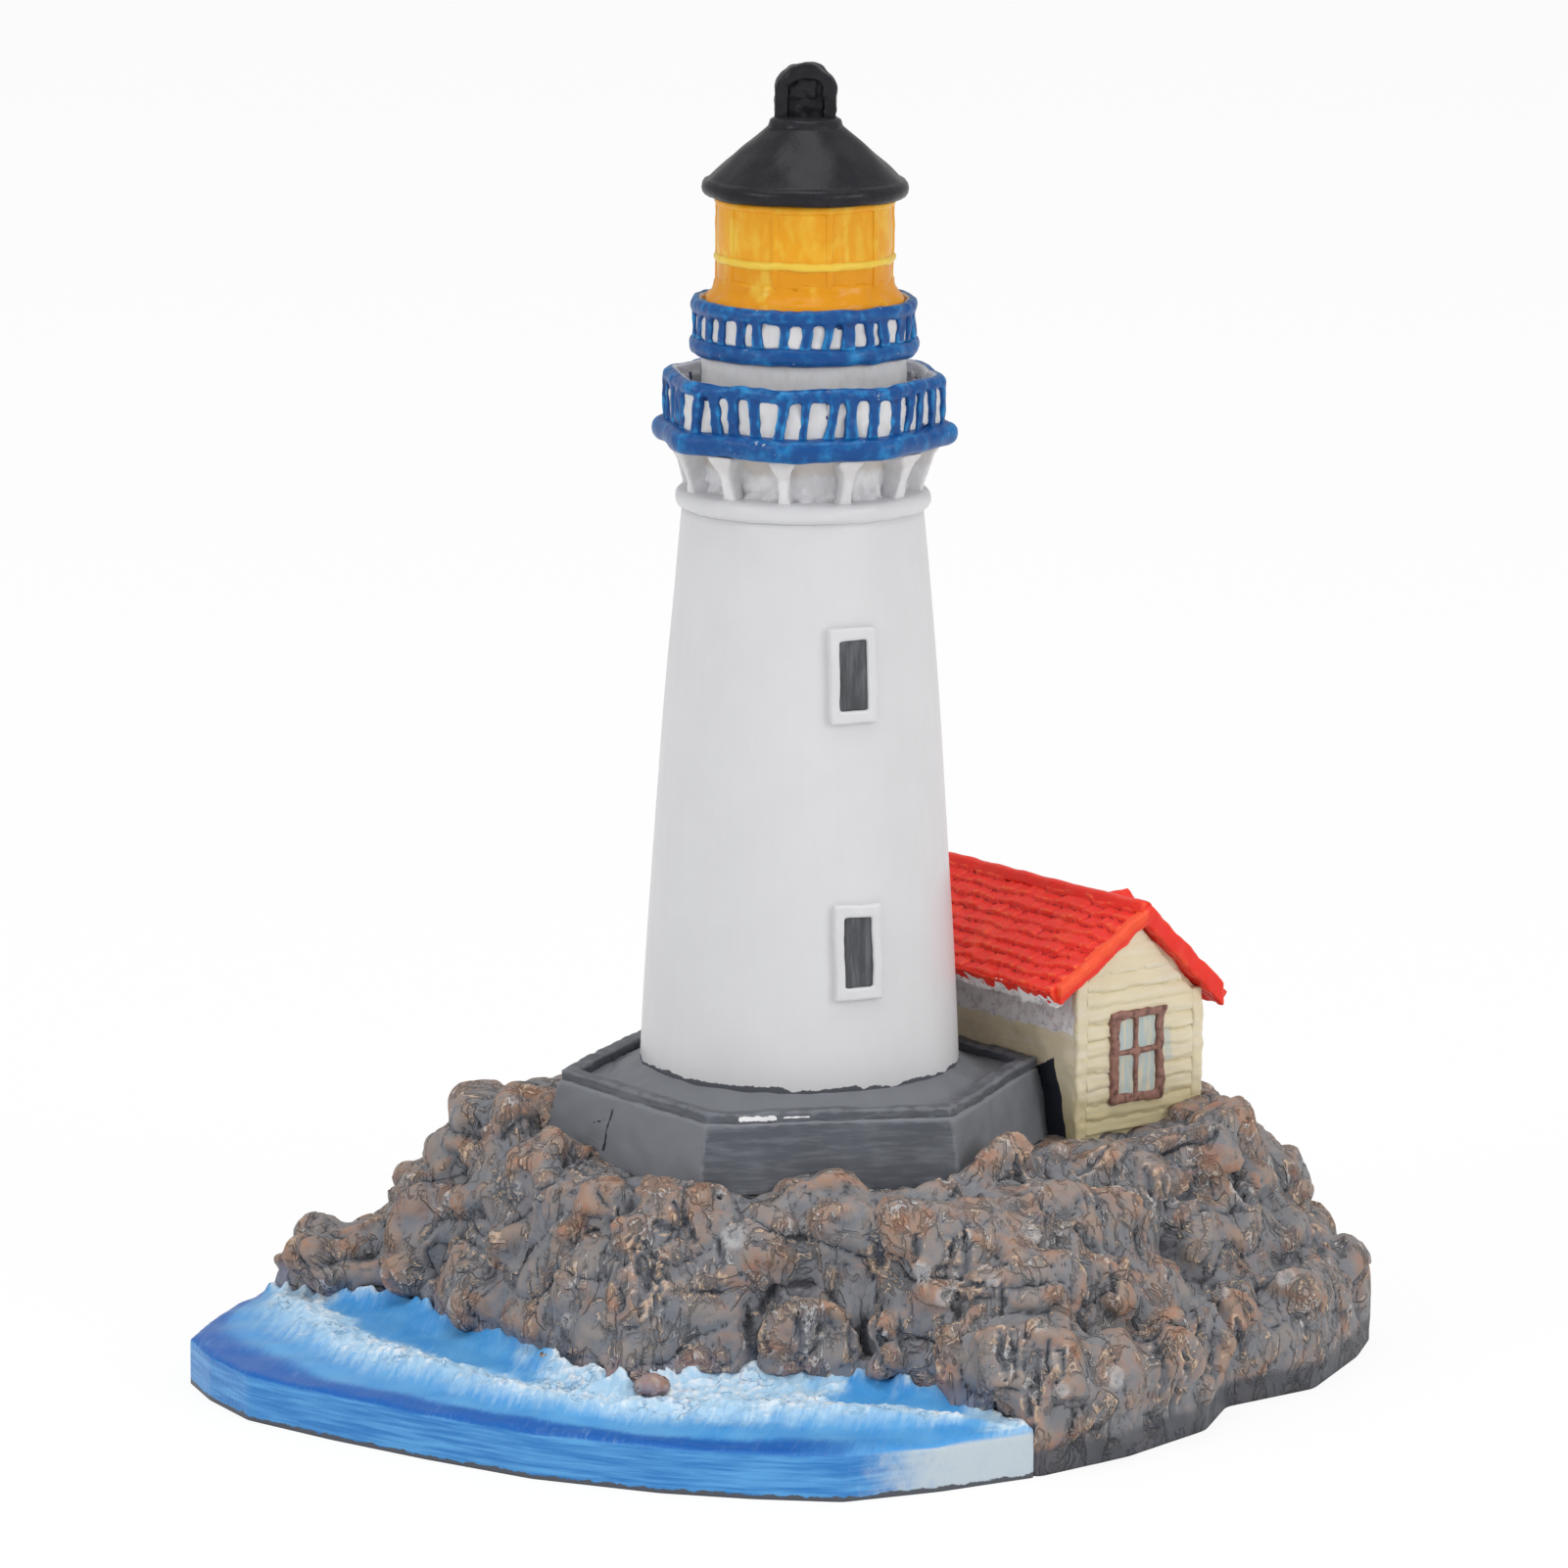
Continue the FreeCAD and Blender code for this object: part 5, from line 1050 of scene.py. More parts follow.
# Gouges as the photograph shows them: both ends in its pixels, then half the width in millimetres
GOUGE_PIXELS = (
    (642, 1265, 672, 1341, 0.55),
    (650, 1265, 680, 1335, 0.4),
    (658, 1267, 685, 1312, 0.5),
    (665, 1246, 695, 1261, 0.6),
    (687, 1228, 712, 1269, 0.6),
    (732, 1262, 740, 1304, 0.5),
    (703, 1318, 744, 1320, 0.4),
    (765, 1335, 771, 1392, 0.8),
    (780, 1338, 786, 1380, 0.45),
    (815, 1341, 819, 1382, 0.55),
    (868, 1347, 868, 1386, 0.6),
    (898, 1265, 899, 1297, 0.8),
    (937, 1260, 935, 1285, 0.7),
    (973, 1267, 970, 1285, 0.5),
    (960, 1193, 972, 1221, 0.7),
    (900, 1334, 900, 1392, 0.8),
    (918, 1345, 922, 1378, 0.45),
    (962, 1345, 963, 1404, 0.55),
    (1021, 1357, 1027, 1408, 0.7),
    (1034, 1361, 1038, 1406, 0.45),
    (1048, 1363, 1049, 1406, 0.45),
    (1058, 1363, 1060, 1433, 0.55),
    (1070, 1365, 1071, 1402, 0.4),
    (1084, 1375, 1086, 1406, 0.4),
    (958, 1295, 1034, 1287, 0.55),
    (978, 1314, 1011, 1308, 0.45),
    (978, 1327, 1015, 1324, 0.4),
    (1023, 1310, 1023, 1342, 0.5),
    (1097, 1283, 1108, 1336, 0.9),
    (1133, 1287, 1140, 1330, 0.5),
    (585, 1180, 600, 1200, 0.7),
    (470, 1262, 520, 1290, 0.6),
    (1040, 1184, 1060, 1216, 0.5),
    (1170, 1193, 1178, 1225, 0.7),
    (1186, 1196, 1190, 1222, 0.5),
    (1232, 1285, 1238, 1318, 0.6),
    (1262, 1345, 1268, 1380, 0.6),
    (1180, 1370, 1186, 1412, 0.7),
    (1208, 1375, 1212, 1410, 0.5),
)

# Bubbles in the casting: centre in the photograph's pixels, then radius in millimetres
BUBBLE_PIXELS = (
    (941, 1301, 0.85),
    (965, 1324, 0.85),
    (1014, 1310, 0.45),
    (1062, 1354, 0.45),
    (1140, 1406, 1.0),
    (1085, 1419, 0.5),
    (1052, 1258, 1.0),
    (749, 1263, 1.1),
    (821, 1251, 0.5),
    (1245, 1320, 0.7),
    (1313, 1305, 0.8),
    (528, 1212, 0.6),
    (579, 1349, 0.5),
)

# Half the depth of a main block, and the low block that stands apart in the sea: its middle and half size
MAIN_ROCK_DEPTH = 3.4
SEA_ROCK, SEA_ROCK_SIZE = (-15.1, -36.4, 7.3), (1.9, 1.2, 0.7)


def stack_blocks(bm, ground, sea, dice):
    """Fills the slopes of the headland with rows of rounded blocks, and sets the main ones in place."""
    gap = size("rocks", "block")
    for height, spacing, stand in ROCK_ROWS:
        azimuth = dice.uniform(0, 0.3)
        end = azimuth + math.tau
        while azimuth < end:
            spot, normal, _, _ = met_from_outside(ground, azimuth, height + dice.uniform(-1.1, 1.1))
            radius = math.hypot(spot.x, spot.y)
            azimuth += gap * spacing * dice.uniform(0.8, 1.25) / radius
            half = Vector((dice.uniform(0.5, 0.8), 0.42, dice.uniform(0.36, 0.5))) * gap
            facing = (normal + around(azimuth, 1, 0) * 0.5 + UP * 0.1).normalized()
            wet = met_from_outside(sea, azimuth, 3.0)[0]
            if wet is None or spot.z > 7.5:
                place = block_place(spot - facing * (half.y - stand), facing, half, dice, 0.2)
                knocked_block(bm, place, dice)
    for degrees, height, wide, tall, stand in MAIN_ROCKS:
        azimuth = math.radians(degrees)
        spot, normal, _, _ = met_from_outside(ground, azimuth, height)
        facing = (normal + around(azimuth, 1, 0) * 0.4 + UP * 0.1).normalized()
        half = (wide, MAIN_ROCK_DEPTH, tall)
        place = block_place(spot - facing * (MAIN_ROCK_DEPTH - stand), facing, half, dice, 0.12)
        knocked_block(bm, place, dice)
    for degrees, radius, height, *half in LEDGE_ROCKS:
        azimuth = math.radians(degrees)
        facing = around(azimuth, 1, 0.35).normalized()
        place = block_place(around(azimuth, radius, height), facing, half, dice, 0.2)
        knocked_block(bm, place, dice)
    knocked_block(bm, Matrix.Translation(SEA_ROCK) @ Matrix.Diagonal((*SEA_ROCK_SIZE, 1)), dice)


def flake_over(points, spacing, depth, dice):
    """How far each point stands out where a skin is broken into leaning flat flakes."""
    low, high = points.min(0) - spacing, points.max(0) + spacing
    steps = [np.arange(first, last, spacing) for first, last in zip(low, high)]
    centres = np.stack(np.meshgrid(*steps, indexing="ij"), -1).reshape(-1, 3)
    centres = centres + dice.uniform(-0.5, 0.5, centres.shape) * spacing
    lean = dice.normal(0, 0.5, centres.shape)
    stand = dice.uniform(-1, 1, len(centres))
    tree = tree_of(centres)
    height, seam = np.empty(len(points)), np.empty(len(points))
    for index, point in enumerate(points):
        (centre, nearest, near), (_, _, far) = tree.find_n(point, 2)
        away = point - np.array(centre)
        height[index] = depth * (0.6 * stand[nearest] + float(away @ lean[nearest]) / spacing)
        seam[index] = far - near
    return height, seam


def gouge_lines(skin, verts, dice):
    """The furrows dragged in the soft model: those of the photograph, then others at random."""
    lines = strokes_on(skin, GOUGE_PIXELS)
    for vert in dice.sample(verts, settings("rocks").gouges):
        if vert.co.z > 6 and vert.normal.z > -0.3:
            down = -UP - vert.normal * vert.normal.dot(-UP)
            across = vert.normal.cross(UP)
            along = (down + across * dice.uniform(-0.9, 0.9)).normalized()
            lines.append((vert.co.copy(), vert.co + along * dice.uniform(3.0, 8.0), dice.uniform(0.4, 0.9)))
    return lines


def carve(verts, skin, lines):
    """How deep each point lies in a furrow, and how close it is to the burr along it, both 0 to 1."""
    spots = []
    for start, end, half in lines:
        count = max(2, int((end - start).length / 0.4))
        for step in range(count + 1):
            spot = skin.find_nearest(start.lerp(end, step / count))[0]
            spots.append((spot, half * min(1.0, 0.35 + 1.6 * min(step, count - step) / count)))
    tree = tree_of([spot for spot, _ in spots])
    furrow, burr = [], []
    for vert in verts:
        _, nearest, distance = tree.find(vert.co)
        half = spots[nearest][1]
        share = distance / half
        furrow.append(max(0.0, 1 - share * share))
        broken = clamped(0.4 + 3 * noise.noise(vert.co / 1.4))
        burr.append(broken * math.exp(-(((distance - half - 0.2) / 0.24) ** 2)))
    return furrow, burr


def ring_bubbles(verts, skin):
    """How deep each point lies in a burst bubble and how close it is to the bubble's rim, 0 to 1."""
    hollow, rim = [0.0] * len(verts), [0.0] * len(verts)
    for across, down, radius in BUBBLE_PIXELS:
        centre = skin.ray_cast(*sight(across, down))[0]
        if centre is None:
            continue
        for index, vert in enumerate(verts):
            away = (vert.co - centre).length
            if away < 2 * radius:
                hollow[index] = max(hollow[index], 1 - (away / radius) ** 2)
                rim[index] = max(rim[index], math.exp(-(((away - radius) / 0.25) ** 2)))
    return hollow, rim


def splashed(sea, place):
    """How much blue the spray has left on a rock, over the sea's top face only."""
    spot, normal, _, _ = sea.find_nearest(place, 6)
    if spot is None or normal.z < 0.6 or place.x > 20:
        return 0.0
    return clamped(1 - (place.z - 5.5) / 4.5)


def humps(place):
    """How far the rocks bulge: rounded lumps with sharp creases between, upright ones low down."""
    stretched = Vector((place.x, place.y, 0.4 * min(place.z, 14) + 0.85 * max(place.z - 14, 0)))
    bent = place + noise.noise_vector(place / 5.0) * 2.0
    large = abs(noise.noise(bent / 8.5 + Vector((7, 0, 0))))
    small = abs(noise.noise((stretched + (bent - place) * 0.5) / 3.0))
    creases = 0.35 * math.exp(-((large / 0.05) ** 2)) + 0.12 * math.exp(-((small / 0.06) ** 2))
    return 1.55 * large + 0.17 * small - creases - 0.32 + 0.04 * noise.noise(place / 0.8)


def add_swollen_mound(bm):
    """Adds the mound of the solids, with its slopes grown to reach into the blocks."""
    mound = bmesh.new()
    solids(mound, "rock_mound")
    mound.normal_update()
    for vert in mound.verts:
        if 8.6 < vert.co.z < 24.9:
            vert.co += vert.normal * 0.8
    swollen = bpy.data.meshes.new("mound")
    mound.to_mesh(swollen)
    mound.free()
    bm.from_mesh(swollen)
    bpy.data.meshes.remove(swollen)


def roughness_of(verts, points, dice):
    """How far each point of the rocks is pushed out by flakes and humps."""
    warped = points + np.array([noise.noise_vector(vert.co / 5.0) * 1.2 for vert in verts])
    flake, depth = size("rocks", "flake"), size("rocks", "flake_depth")
    height, seam = flake_over(warped, flake, depth, dice)
    wide, wide_seam = flake_over(warped, flake * 2.1, depth * 2.0, dice)
    push = 0.7 * height + 0.8 * wide - 0.08 * np.exp(-seam / 0.4) - 0.25 * np.exp(-wide_seam / 0.6)
    for index, vert in enumerate(verts):
        push[index] += 0.4 * noise.noise(vert.co / 8.0) + humps(vert.co)
    return push


def headland_rocks():
    noise.seed_set(3)
    dice, fine_dice = random.Random(11), np.random.default_rng(5)
    sea = surface_of("sea_slab")
    bm = bmesh.new()
    solids(bm, *BOULDERS)
    add_swollen_mound(bm)
    sink_underside(bm)
    stack_blocks(bm, surface_of("rock_mound"), sea, dice)
    bm = cast(bm, size("rocks", "skin"), 9)
    verts = list(bm.verts)
    points = np.array([vert.co for vert in verts])
    flat_foot = np.clip((points[:, 2] - 1.4) / 2.0, 0, 1)
    for vert, amount, share in zip(verts, roughness_of(verts, points, fine_dice), flat_foot):
        vert.co += vert.normal * amount * share
    bm.normal_update()
    skin = BVHTree.FromBMesh(bm)
    furrow, burr = carve(verts, skin, gouge_lines(skin, verts, dice))
    hollow, rim = ring_bubbles(verts, skin)
    deep = size("rocks", "grooves")
    for index, vert in enumerate(verts):
        cut = furrow[index] * deep + 0.35 * hollow[index] - 0.16 * burr[index] - 0.3 * rim[index]
        vert.co -= vert.normal * cut * flat_foot[index]
    low, high = (corner / MM for corner in SOLID_BOX)
    for vert in verts:
        vert.co.x = min(max(vert.co.x, low.x + 0.1), high.x - 0.1)
        vert.co.y = min(max(vert.co.y, low.y + 0.1), high.y - 0.1)
    note_relief(bm, 3, 26, 0.2, 0.9)
    bm.verts.index_update()
    note(bm, "furrow", lambda vert: min(1.0, 1.6 * furrow[vert.index]))
    note(bm, "burr", lambda vert: burr[vert.index])
    note(bm, "bubble", lambda vert: max(rim[vert.index], min(1.0, 2 * hollow[vert.index])))
    stand_flat(bm)
    note(bm, "spray", lambda vert: splashed(sea, vert.co))
    note(bm, "foot", lambda vert: clamped((3.3 - vert.co.z) / 0.8))
    piece(bm, "headland_rocks", stone_paint(), "rock_paint", "rock_mound", *BOULDERS)


def edge_radius(skin):
    """Distance from the axis to the sea's outer edge, by whole degrees of azimuth."""
    found = []
    for degrees in range(360):
        spot = met_from_outside(skin, math.radians(degrees), 2.0)[0]
        found.append(math.hypot(spot.x, spot.y) if spot else 0.0)
    return found


# Pools of clear water behind the surf: middle across the sea and half width
POOLS = ((-38.0, 13.5), (11.0, 9.0))


def pool_share(across):
    """How clear of foam the water is between the surf and the rocks, by its place from left to right."""
    return max(1 - swell_up(abs(across - middle), half * 0.6, half) for middle, half in POOLS)


def foam_share(place, share, shore):
    """How white the water is by its share of the way in from the edge and its distance to the rocks."""
    clear = pool_share(place.x + 4 * noise.noise(place / 4.0))
    surf = swell_up(share, 0.25, 0.6) * (1 - clear * swell_up(share, 0.6, 0.74))
    lip = 0.75 * swell_up(-shore, -1.5, -0.4) * (0.55 + noise.noise(place / 3.0))
    flat_end = swell_up(place.x, 16.5, 21.5) * swell_up(share, -0.1, 0.1)
    return max(surf, lip, flat_end)


def deep_share(place, share):
    """How deep the blue is: a band behind the edge, widest at the round end and fading to the right."""
    width = 0.2 + 0.1 * swell_up(-place.x, 46, 60)
    fade = 1 - 0.85 * swell_up(place.x, -4, 13)
    return fade * (1 - swell_up(abs(share - 0.05), width * 0.2, width))


def measure_water(verts):
    """For each point: share of the way in, distance to the rocks, flatness, foam and depth of blue."""
    ground, reach = surface_of("rock_mound"), edge_radius(surface_of("sea_slab"))
    measured = []
    for vert in verts:
        azimuth = math.degrees(turn_of(vert)) % 360
        whole = int(azimuth)
        outer = reach[whole] + (reach[(whole + 1) % 360] - reach[whole]) * (azimuth - whole)
        edge = max(outer - math.hypot(vert.co.x, vert.co.y), 0.0)
        shore = ground.find_nearest(Vector((vert.co.x, vert.co.y, 6.0)))[3]
        bend = 1.3 * noise.noise(vert.co / 8.0 + Vector((0, 0, 4)))
        share = clamped((edge + bend) / (edge + shore + 0.001))
        top = clamped((vert.normal.z - 0.35) / 0.35)
        measured.append((share, shore, top, foam_share(vert.co, share, shore), deep_share(vert.co, share)))
    return measured


def sea_water():
    nodes = ("sea_slab", "surf_ridge", "shore_foam")
    bm = bmesh.new()
    solids(bm, *nodes)
    sink_underside(bm)
    bm = cast(bm, size("sea", "skin"), 4)
    measured = measure_water(bm.verts)
    foam, swell = size("sea", "foam"), size("sea", "swell")
    for vert, (share, shore, top, white, _) in zip(bm.verts, measured):
        curd = 1 - 2 * abs(noise.noise(vert.co / 1.9 + Vector((4, 4, 4))))
        lump = 0.7 * curd + 0.7 * noise.noise(vert.co / 0.8) + 0.3 * noise.noise(vert.co / 0.4)
        crest = white * swell_up(share, 0.3, 0.5)
        wave = noise.noise(Vector((vert.co.x / 7, vert.co.y / 4, 0)))
        inward = swell_up(vert.co.x, 14, 19)
        vert.co.z += top * (foam * crest * lump * (1 - 0.7 * inward) + swell * wave)
        if shore < 1.6:
            tongue = noise.noise(Vector((vert.co.x / 1.7, vert.co.y / 1.7, 2))) + 0.25
            vert.co.z += top * 1.3 * max(0.0, tongue) * swell_up(-shore, -1.6, -0.3)
    note_relief(bm, 3, 24, 0.1, 0.6)
    layers = [bm.verts.layers.float.new(name) for name in ("deep", "foam", "side", "height", "grey")]
    for vert, (_, _, top, white, deep) in zip(bm.verts, measured):
        values = (deep, white * top, 1 - top, vert.co.z, swell_up(vert.co.x, 1, 17))
        for layer, value in zip(layers, values):
            vert[layer] = value
    stand_flat(bm)
    piece(bm, "sea_water", sea_paint(), "sea_paint", *nodes)


# Plinth


# Angle in degrees at which the first corner of the plinth stands
PLINTH_TURN = 38


def six_corners(radius, height):
    return [around(math.radians(PLINTH_TURN + 60 * side), radius, height) for side in range(6)]


def six_sided(bm, foot, foot_height, head, head_height):
    """A six-sided block that narrows from foot to head."""
    for vert in drawn(bm, six_corners(foot, foot_height), (0, 0, head_height - foot_height)):
        vert.co.x *= head / foot
        vert.co.y *= head / foot


# Chips and scratches of the plinth: both ends in the photograph's pixels, half width in millimetres
CHIP_PIXELS = (
    (757, 1143, 790, 1142, 0.34),
    (800, 1141, 826, 1140, 0.14),
    (1063, 1088, 1044, 1100, 0.16),
)
SCRATCH_PIXELS = (
    (626, 1132, 618, 1158, 0.2),
    (619, 1160, 616, 1174, 0.26),
    (606, 1146, 617, 1144, 0.14),
)


def plinth_pieces():
    finish = plinth_paint()
    bm = bmesh.new()
    six_sided(bm, 27.6, 24.6, 25.8, 32.0)
    bm = worn(cast(bm, 0.3), (0.2, 9.0), (0.14, 2.2), (5, 20, 0.08, 0.5))
    # Painted light: faces turned away from the front are painted paler, as they catch more light than the
    # front
    shaded_front = around(math.radians(8), 1, 0)
    note(bm, "pale", lambda vert: 1 - swell_up(vert.normal.dot(shaded_front), 0.6, 0.9))
    mark(bm, "chipped", CHIP_PIXELS)
    mark(bm, "scratched", SCRATCH_PIXELS)
    piece(bm, "plinth_wall", finish, "plinth_paint", "plinth_block")
    bm = bmesh.new()
    corners, inner = six_corners(25.6, 31.6), six_corners(23.5, 31.6)
    for side in range(6):
        following = (side + 1) % 6
        outline = (corners[side], corners[following], inner[following], inner[side])
        drawn(bm, outline, (0, 0, 1.5))
    bm = worn(cast(bm, 0.25, 5), (0.2, 9.0), (0.16, 1.6), (4, 14, 0.07, 0.4))
    mark(bm, "chipped", CHIP_PIXELS)
    piece(bm, "plinth_rim", finish, "plinth_paint", "plinth_coping")
    bm = bmesh.new()
    six_sided(bm, 23.9, 31.0, 23.9, 31.8)
    step = rows((20.4, 31.9), (16.6, 34.0), 5, -0.2)
    turned(bm, [(0, 31.4), (21.0, 31.4), (20.6, 31.9)] + step + [(0, 34.0)], 72)
    bm = worn(cast(bm, 0.35, 3), (0.15, 8.0), (0.2, 2.4), (4, 14, 0.07, 0.4))
    # Painted light: the floor is painted paler, as it faces up to the light
    note(bm, "pale", lambda vert: 1.0)
    piece(bm, "plinth_floor", finish, "plinth_paint", "plinth_deck")


# Tower


# Heights of the plinth's top and of the tower's foot, and how tall the tower is from there
PLINTH_TOP, TOWER_FOOT, TOWER_HEIGHT = 31.0, 31.3, 61.8

# Windows of the tower: where each begins and ends above the ground
TOWER_WINDOWS = {"lower": (43.5, 53.5), "upper": (72.5, 82.5)}


def tower_piece(bm, name, finish, node):
    note(bm, "height", lambda vert: vert.co.z - PLINTH_TOP)
    piece(bm, name, finish, "tower_paint", node)


def tower_wall():
    wall = rows((size("tower", "foot"), 31.5), (size("tower", "top"), 93.4), 60, size("tower", "belly"))
    bm = lathe([(0, 31.5)] + wall + [(0, 93.4)], 128)
    sway(bm, 0.09, 14.0)
    tower_piece(bm, "tower_wall", tower_paint(), "tower_shaft")


def tower_face(height):
    """Distance from the axis to the tower's skin at a height."""
    share = (height - TOWER_FOOT) / TOWER_HEIGHT
    foot, top = size("tower", "foot"), size("tower", "top")
    return foot + (top - foot) * share + size("tower", "belly") * 4 * share * (1 - share)


def lean_on_tower(bm, middle, dish=0.0):
    """Leans part of a window with the tower's side, dishes it and turns it to its angle."""
    lean = (size("tower", "foot") - size("tower", "top")) / TOWER_HEIGHT
    for vert in bm.verts:
        vert.co.y += lean * (vert.co.z - middle)
        vert.co.y += dish * math.cos(vert.co.x * 2.6)
    turn = Matrix.Rotation(settings("tower").window_turn, 4, "Z")
    bmesh.ops.transform(bm, matrix=turn, verts=bm.verts)
    sway(bm, 0.12, 3.5)


def tower_windows():
    finish, glass = tower_paint(), window_grey()
    border, half = size("tower", "window_border"), size("tower", "window_width") / 2
    tall = border * 1.3
    for name, (low, high) in TOWER_WINDOWS.items():
        middle = (low + high) / 2
        face = tower_face(middle) + 0.75
        sides = ((-half, -half + border, low, high), (half - border, half, low, high))
        ends = ((-half, half, low, low + tall), (-half, half, high - tall, high))
        bm = bmesh.new()
        for left, right, bottom, top in sides + ends:
            block(bm, (left, -face, bottom), (right, -face + 3.0, top))
        bm = cast(bm, 0.14, 3)
        lean_on_tower(bm, middle)
        lumps(bm, 0.05, 1.0)
        tower_piece(bm, f"tower_window_border_{name}", finish, f"tower_window_frame_{name}")
        bm = bmesh.new()
        block(bm, (-half + 0.8, -face + 0.45, low + 1.1), (half - 0.8, -face + 3.0, high - 1.1))
        bm = cast(bm, 0.16, 3)
        lean_on_tower(bm, middle, 0.12)
        piece(bm, f"tower_window_glass_{name}", glass, "window_grey", f"tower_window_pane_{name}")


def neck_ring():
    ring = [(0, 93.0), (12.2, 93.0), (12.6, 93.05)] + bead(13.45, 93.2, 95.2, 0.7)
    bm = worn(lathe(ring + [(12.2, 95.3), (0, 95.3)], 128), (0.13, 5.0), (0.1, 1.3))
    tower_piece(bm, "tower_neck_bead", tower_paint(), "tower_neck_ring")


# Half the width of a bracket at each height
BRACKET_OUTLINE = (
    (0.95, 95.0),
    (0.7, 95.7),
    (0.55, 96.6),
    (0.6, 97.8),
    (0.9, 98.8),
    (1.35, 99.5),
    (1.4, 100.0),
)


def corbel_piece(bm, name, finish, recess_shade, node):
    note(bm, "height", lambda vert: vert.co.z)
    note(bm, "recess_shade", lambda vert: recess_shade)
    piece(bm, name, finish, "tower_paint", node)


def gallery_brackets():
    finish = corbel_paint()
    dice = random.Random(4)
    profile = rows((11.3, 94.9), (11.0, 97.5), 8) + rows((11.1, 97.8), (12.2, 100.0), 8, -0.3)
    bm = lathe([(0, 94.9)] + profile + [(0, 100.0)], 180)
    lumps(bm, 1.0, 0.9, lambda vert: swell_up(-vert.co.z, -97.4, -96.0))
    lumps(bm, 0.3, 2.0)
    # The wall between the brackets takes the full painted shade
    corbel_piece(bm, "corbel_wall", finish, 1.0, "corbel_drum")
    bm = bmesh.new()
    count = settings("tower").brackets
    for index in range(count):
        azimuth = math.radians(-8.5) + math.tau * index / count + dice.uniform(-0.02, 0.02)
        wide = dice.uniform(0.88, 1.1)
        left = [(-half * wide, -10.6, height) for half, height in BRACKET_OUTLINE]
        right = [(half * wide, -10.6, height) for half, height in reversed(BRACKET_OUTLINE)]
        turn = Matrix.Rotation(azimuth + dice.uniform(-0.01, 0.01), 4, "Z")
        for vert in drawn(bm, left + right, (0, -2.2, 0), turn):
            reach = 12.75 + 1.75 * max(0.0, (vert.co.z - 95.0) / 5.0) ** 1.6
            vert.co.xy = vert.co.xy * (reach / vert.co.xy.length)
    bm = cast(bm, 0.2, 3)
    lumps(bm, 0.16, 1.6)
    # The brackets take a lighter share of the painted shade
    corbel_piece(bm, "corbel_arms", finish, 0.35, "corbel_brackets")


# Galleries


# Angle in degrees at which the first corner of the eight-sided gallery stands
GALLERY_TURN = -9.6

# Radius inside which the galleries are hidden by the tower and stay round
TOWER_CORE = 11

# A post's outline: share of its height and how much wider than its waist it is there
POST_OUTLINE = ((0.0, 1.5), (0.07, 1.15), (0.2, 1.0), (0.8, 1.0), (0.93, 1.15), (1.0, 1.5))


def eight_sided(azimuth):
    """How far the lower gallery reaches at an angle, as a share of its corner radius."""
    step = math.tau / 8
    offset = (azimuth - math.radians(GALLERY_TURN)) % step - step / 2
    side = math.cos(step / 2) / math.cos(offset)
    return min(side, 0.5 * side + 0.5 * 0.975) if side > 0.975 else side


def round_sided(azimuth):
    """How far the upper gallery reaches, the same at every angle."""
    return 1.0


def set_reach(bm, reach):
    """Draws a ring in to the shape of its gallery, outside the tower."""
    for vert in bm.verts:
        if vert.co.xy.length > TOWER_CORE:
            vert.co.xy = vert.co.xy * reach(turn_of(vert))


def gallery_posts(bm, count, face, low, high, dice, reach):
    """Waisted posts, each a little different and leaning its own way."""
    for index in range(count):
        azimuth = math.tau * (index + dice.uniform(-0.1, 0.1)) / count
        wide = size("galleries", "post") * dice.uniform(0.85, 1.3) / 2
        outline = [(wide * flare, low + (high - low) * share) for share, flare in POST_OUTLINE]
        lean = dice.uniform(-0.16, 0.16)
        left = [(-half + lean * (level - low), 0, level) for half, level in outline]
        right = [(half + lean * (level - low), 0, level) for half, level in reversed(outline)]
        place = Matrix.Rotation(azimuth, 4, "Z") @ Matrix.Translation((0, -face * reach(azimuth) + 0.8, 0))
        drawn(bm, left + right, (0, -0.8 - dice.uniform(0.28, 0.5), 0), place)


def slopped_wall(bm, count, low, high, dice):
    """Marks where the railing's blue ran over the white wall, space by space."""
    filled = [dice.random() for _ in range(count)]

    def slop(vert):
        place = (turn_of(vert) / math.tau * count) % count
        gap = abs(place % 1.0 - 0.5) * 2
        up = clamped((vert.co.z - low) / (high - low))
        space = filled[int(place) % count]
        value = 0.62 * gap**2.5 + 0.2 * abs(2 * up - 1) ** 4
        if space > 0.8:
            value += 0.55 * (up if space > 0.9 else 1 - up)
        return value

    note(bm, "slop", slop)


def gallery_floor(tier, blue, profile, reach, voxel, drift, dents):
    bm = lathe(profile)
    set_reach(bm, reach)
    bm = worn(cast(bm, size("galleries", "skin") * voxel), drift, dents, (8, 30, 0.1, 0.6))
    piece(bm, f"{tier}_gallery_floor", blue, "gallery_blue", f"{tier}_gallery_deck")


def gallery_wall(tier, white, profile, steps, reach, low, high, dice):
    bm = lathe(profile, steps)
    set_reach(bm, reach)
    worn(bm, (0.12, 3.0), (0.2, 1.1))
    slopped_wall(bm, getattr(settings("galleries"), f"{tier}_posts"), low, high, dice)
    piece(bm, f"{tier}_gallery_wall", white, "gallery_white", f"{tier}_gallery_parapet")


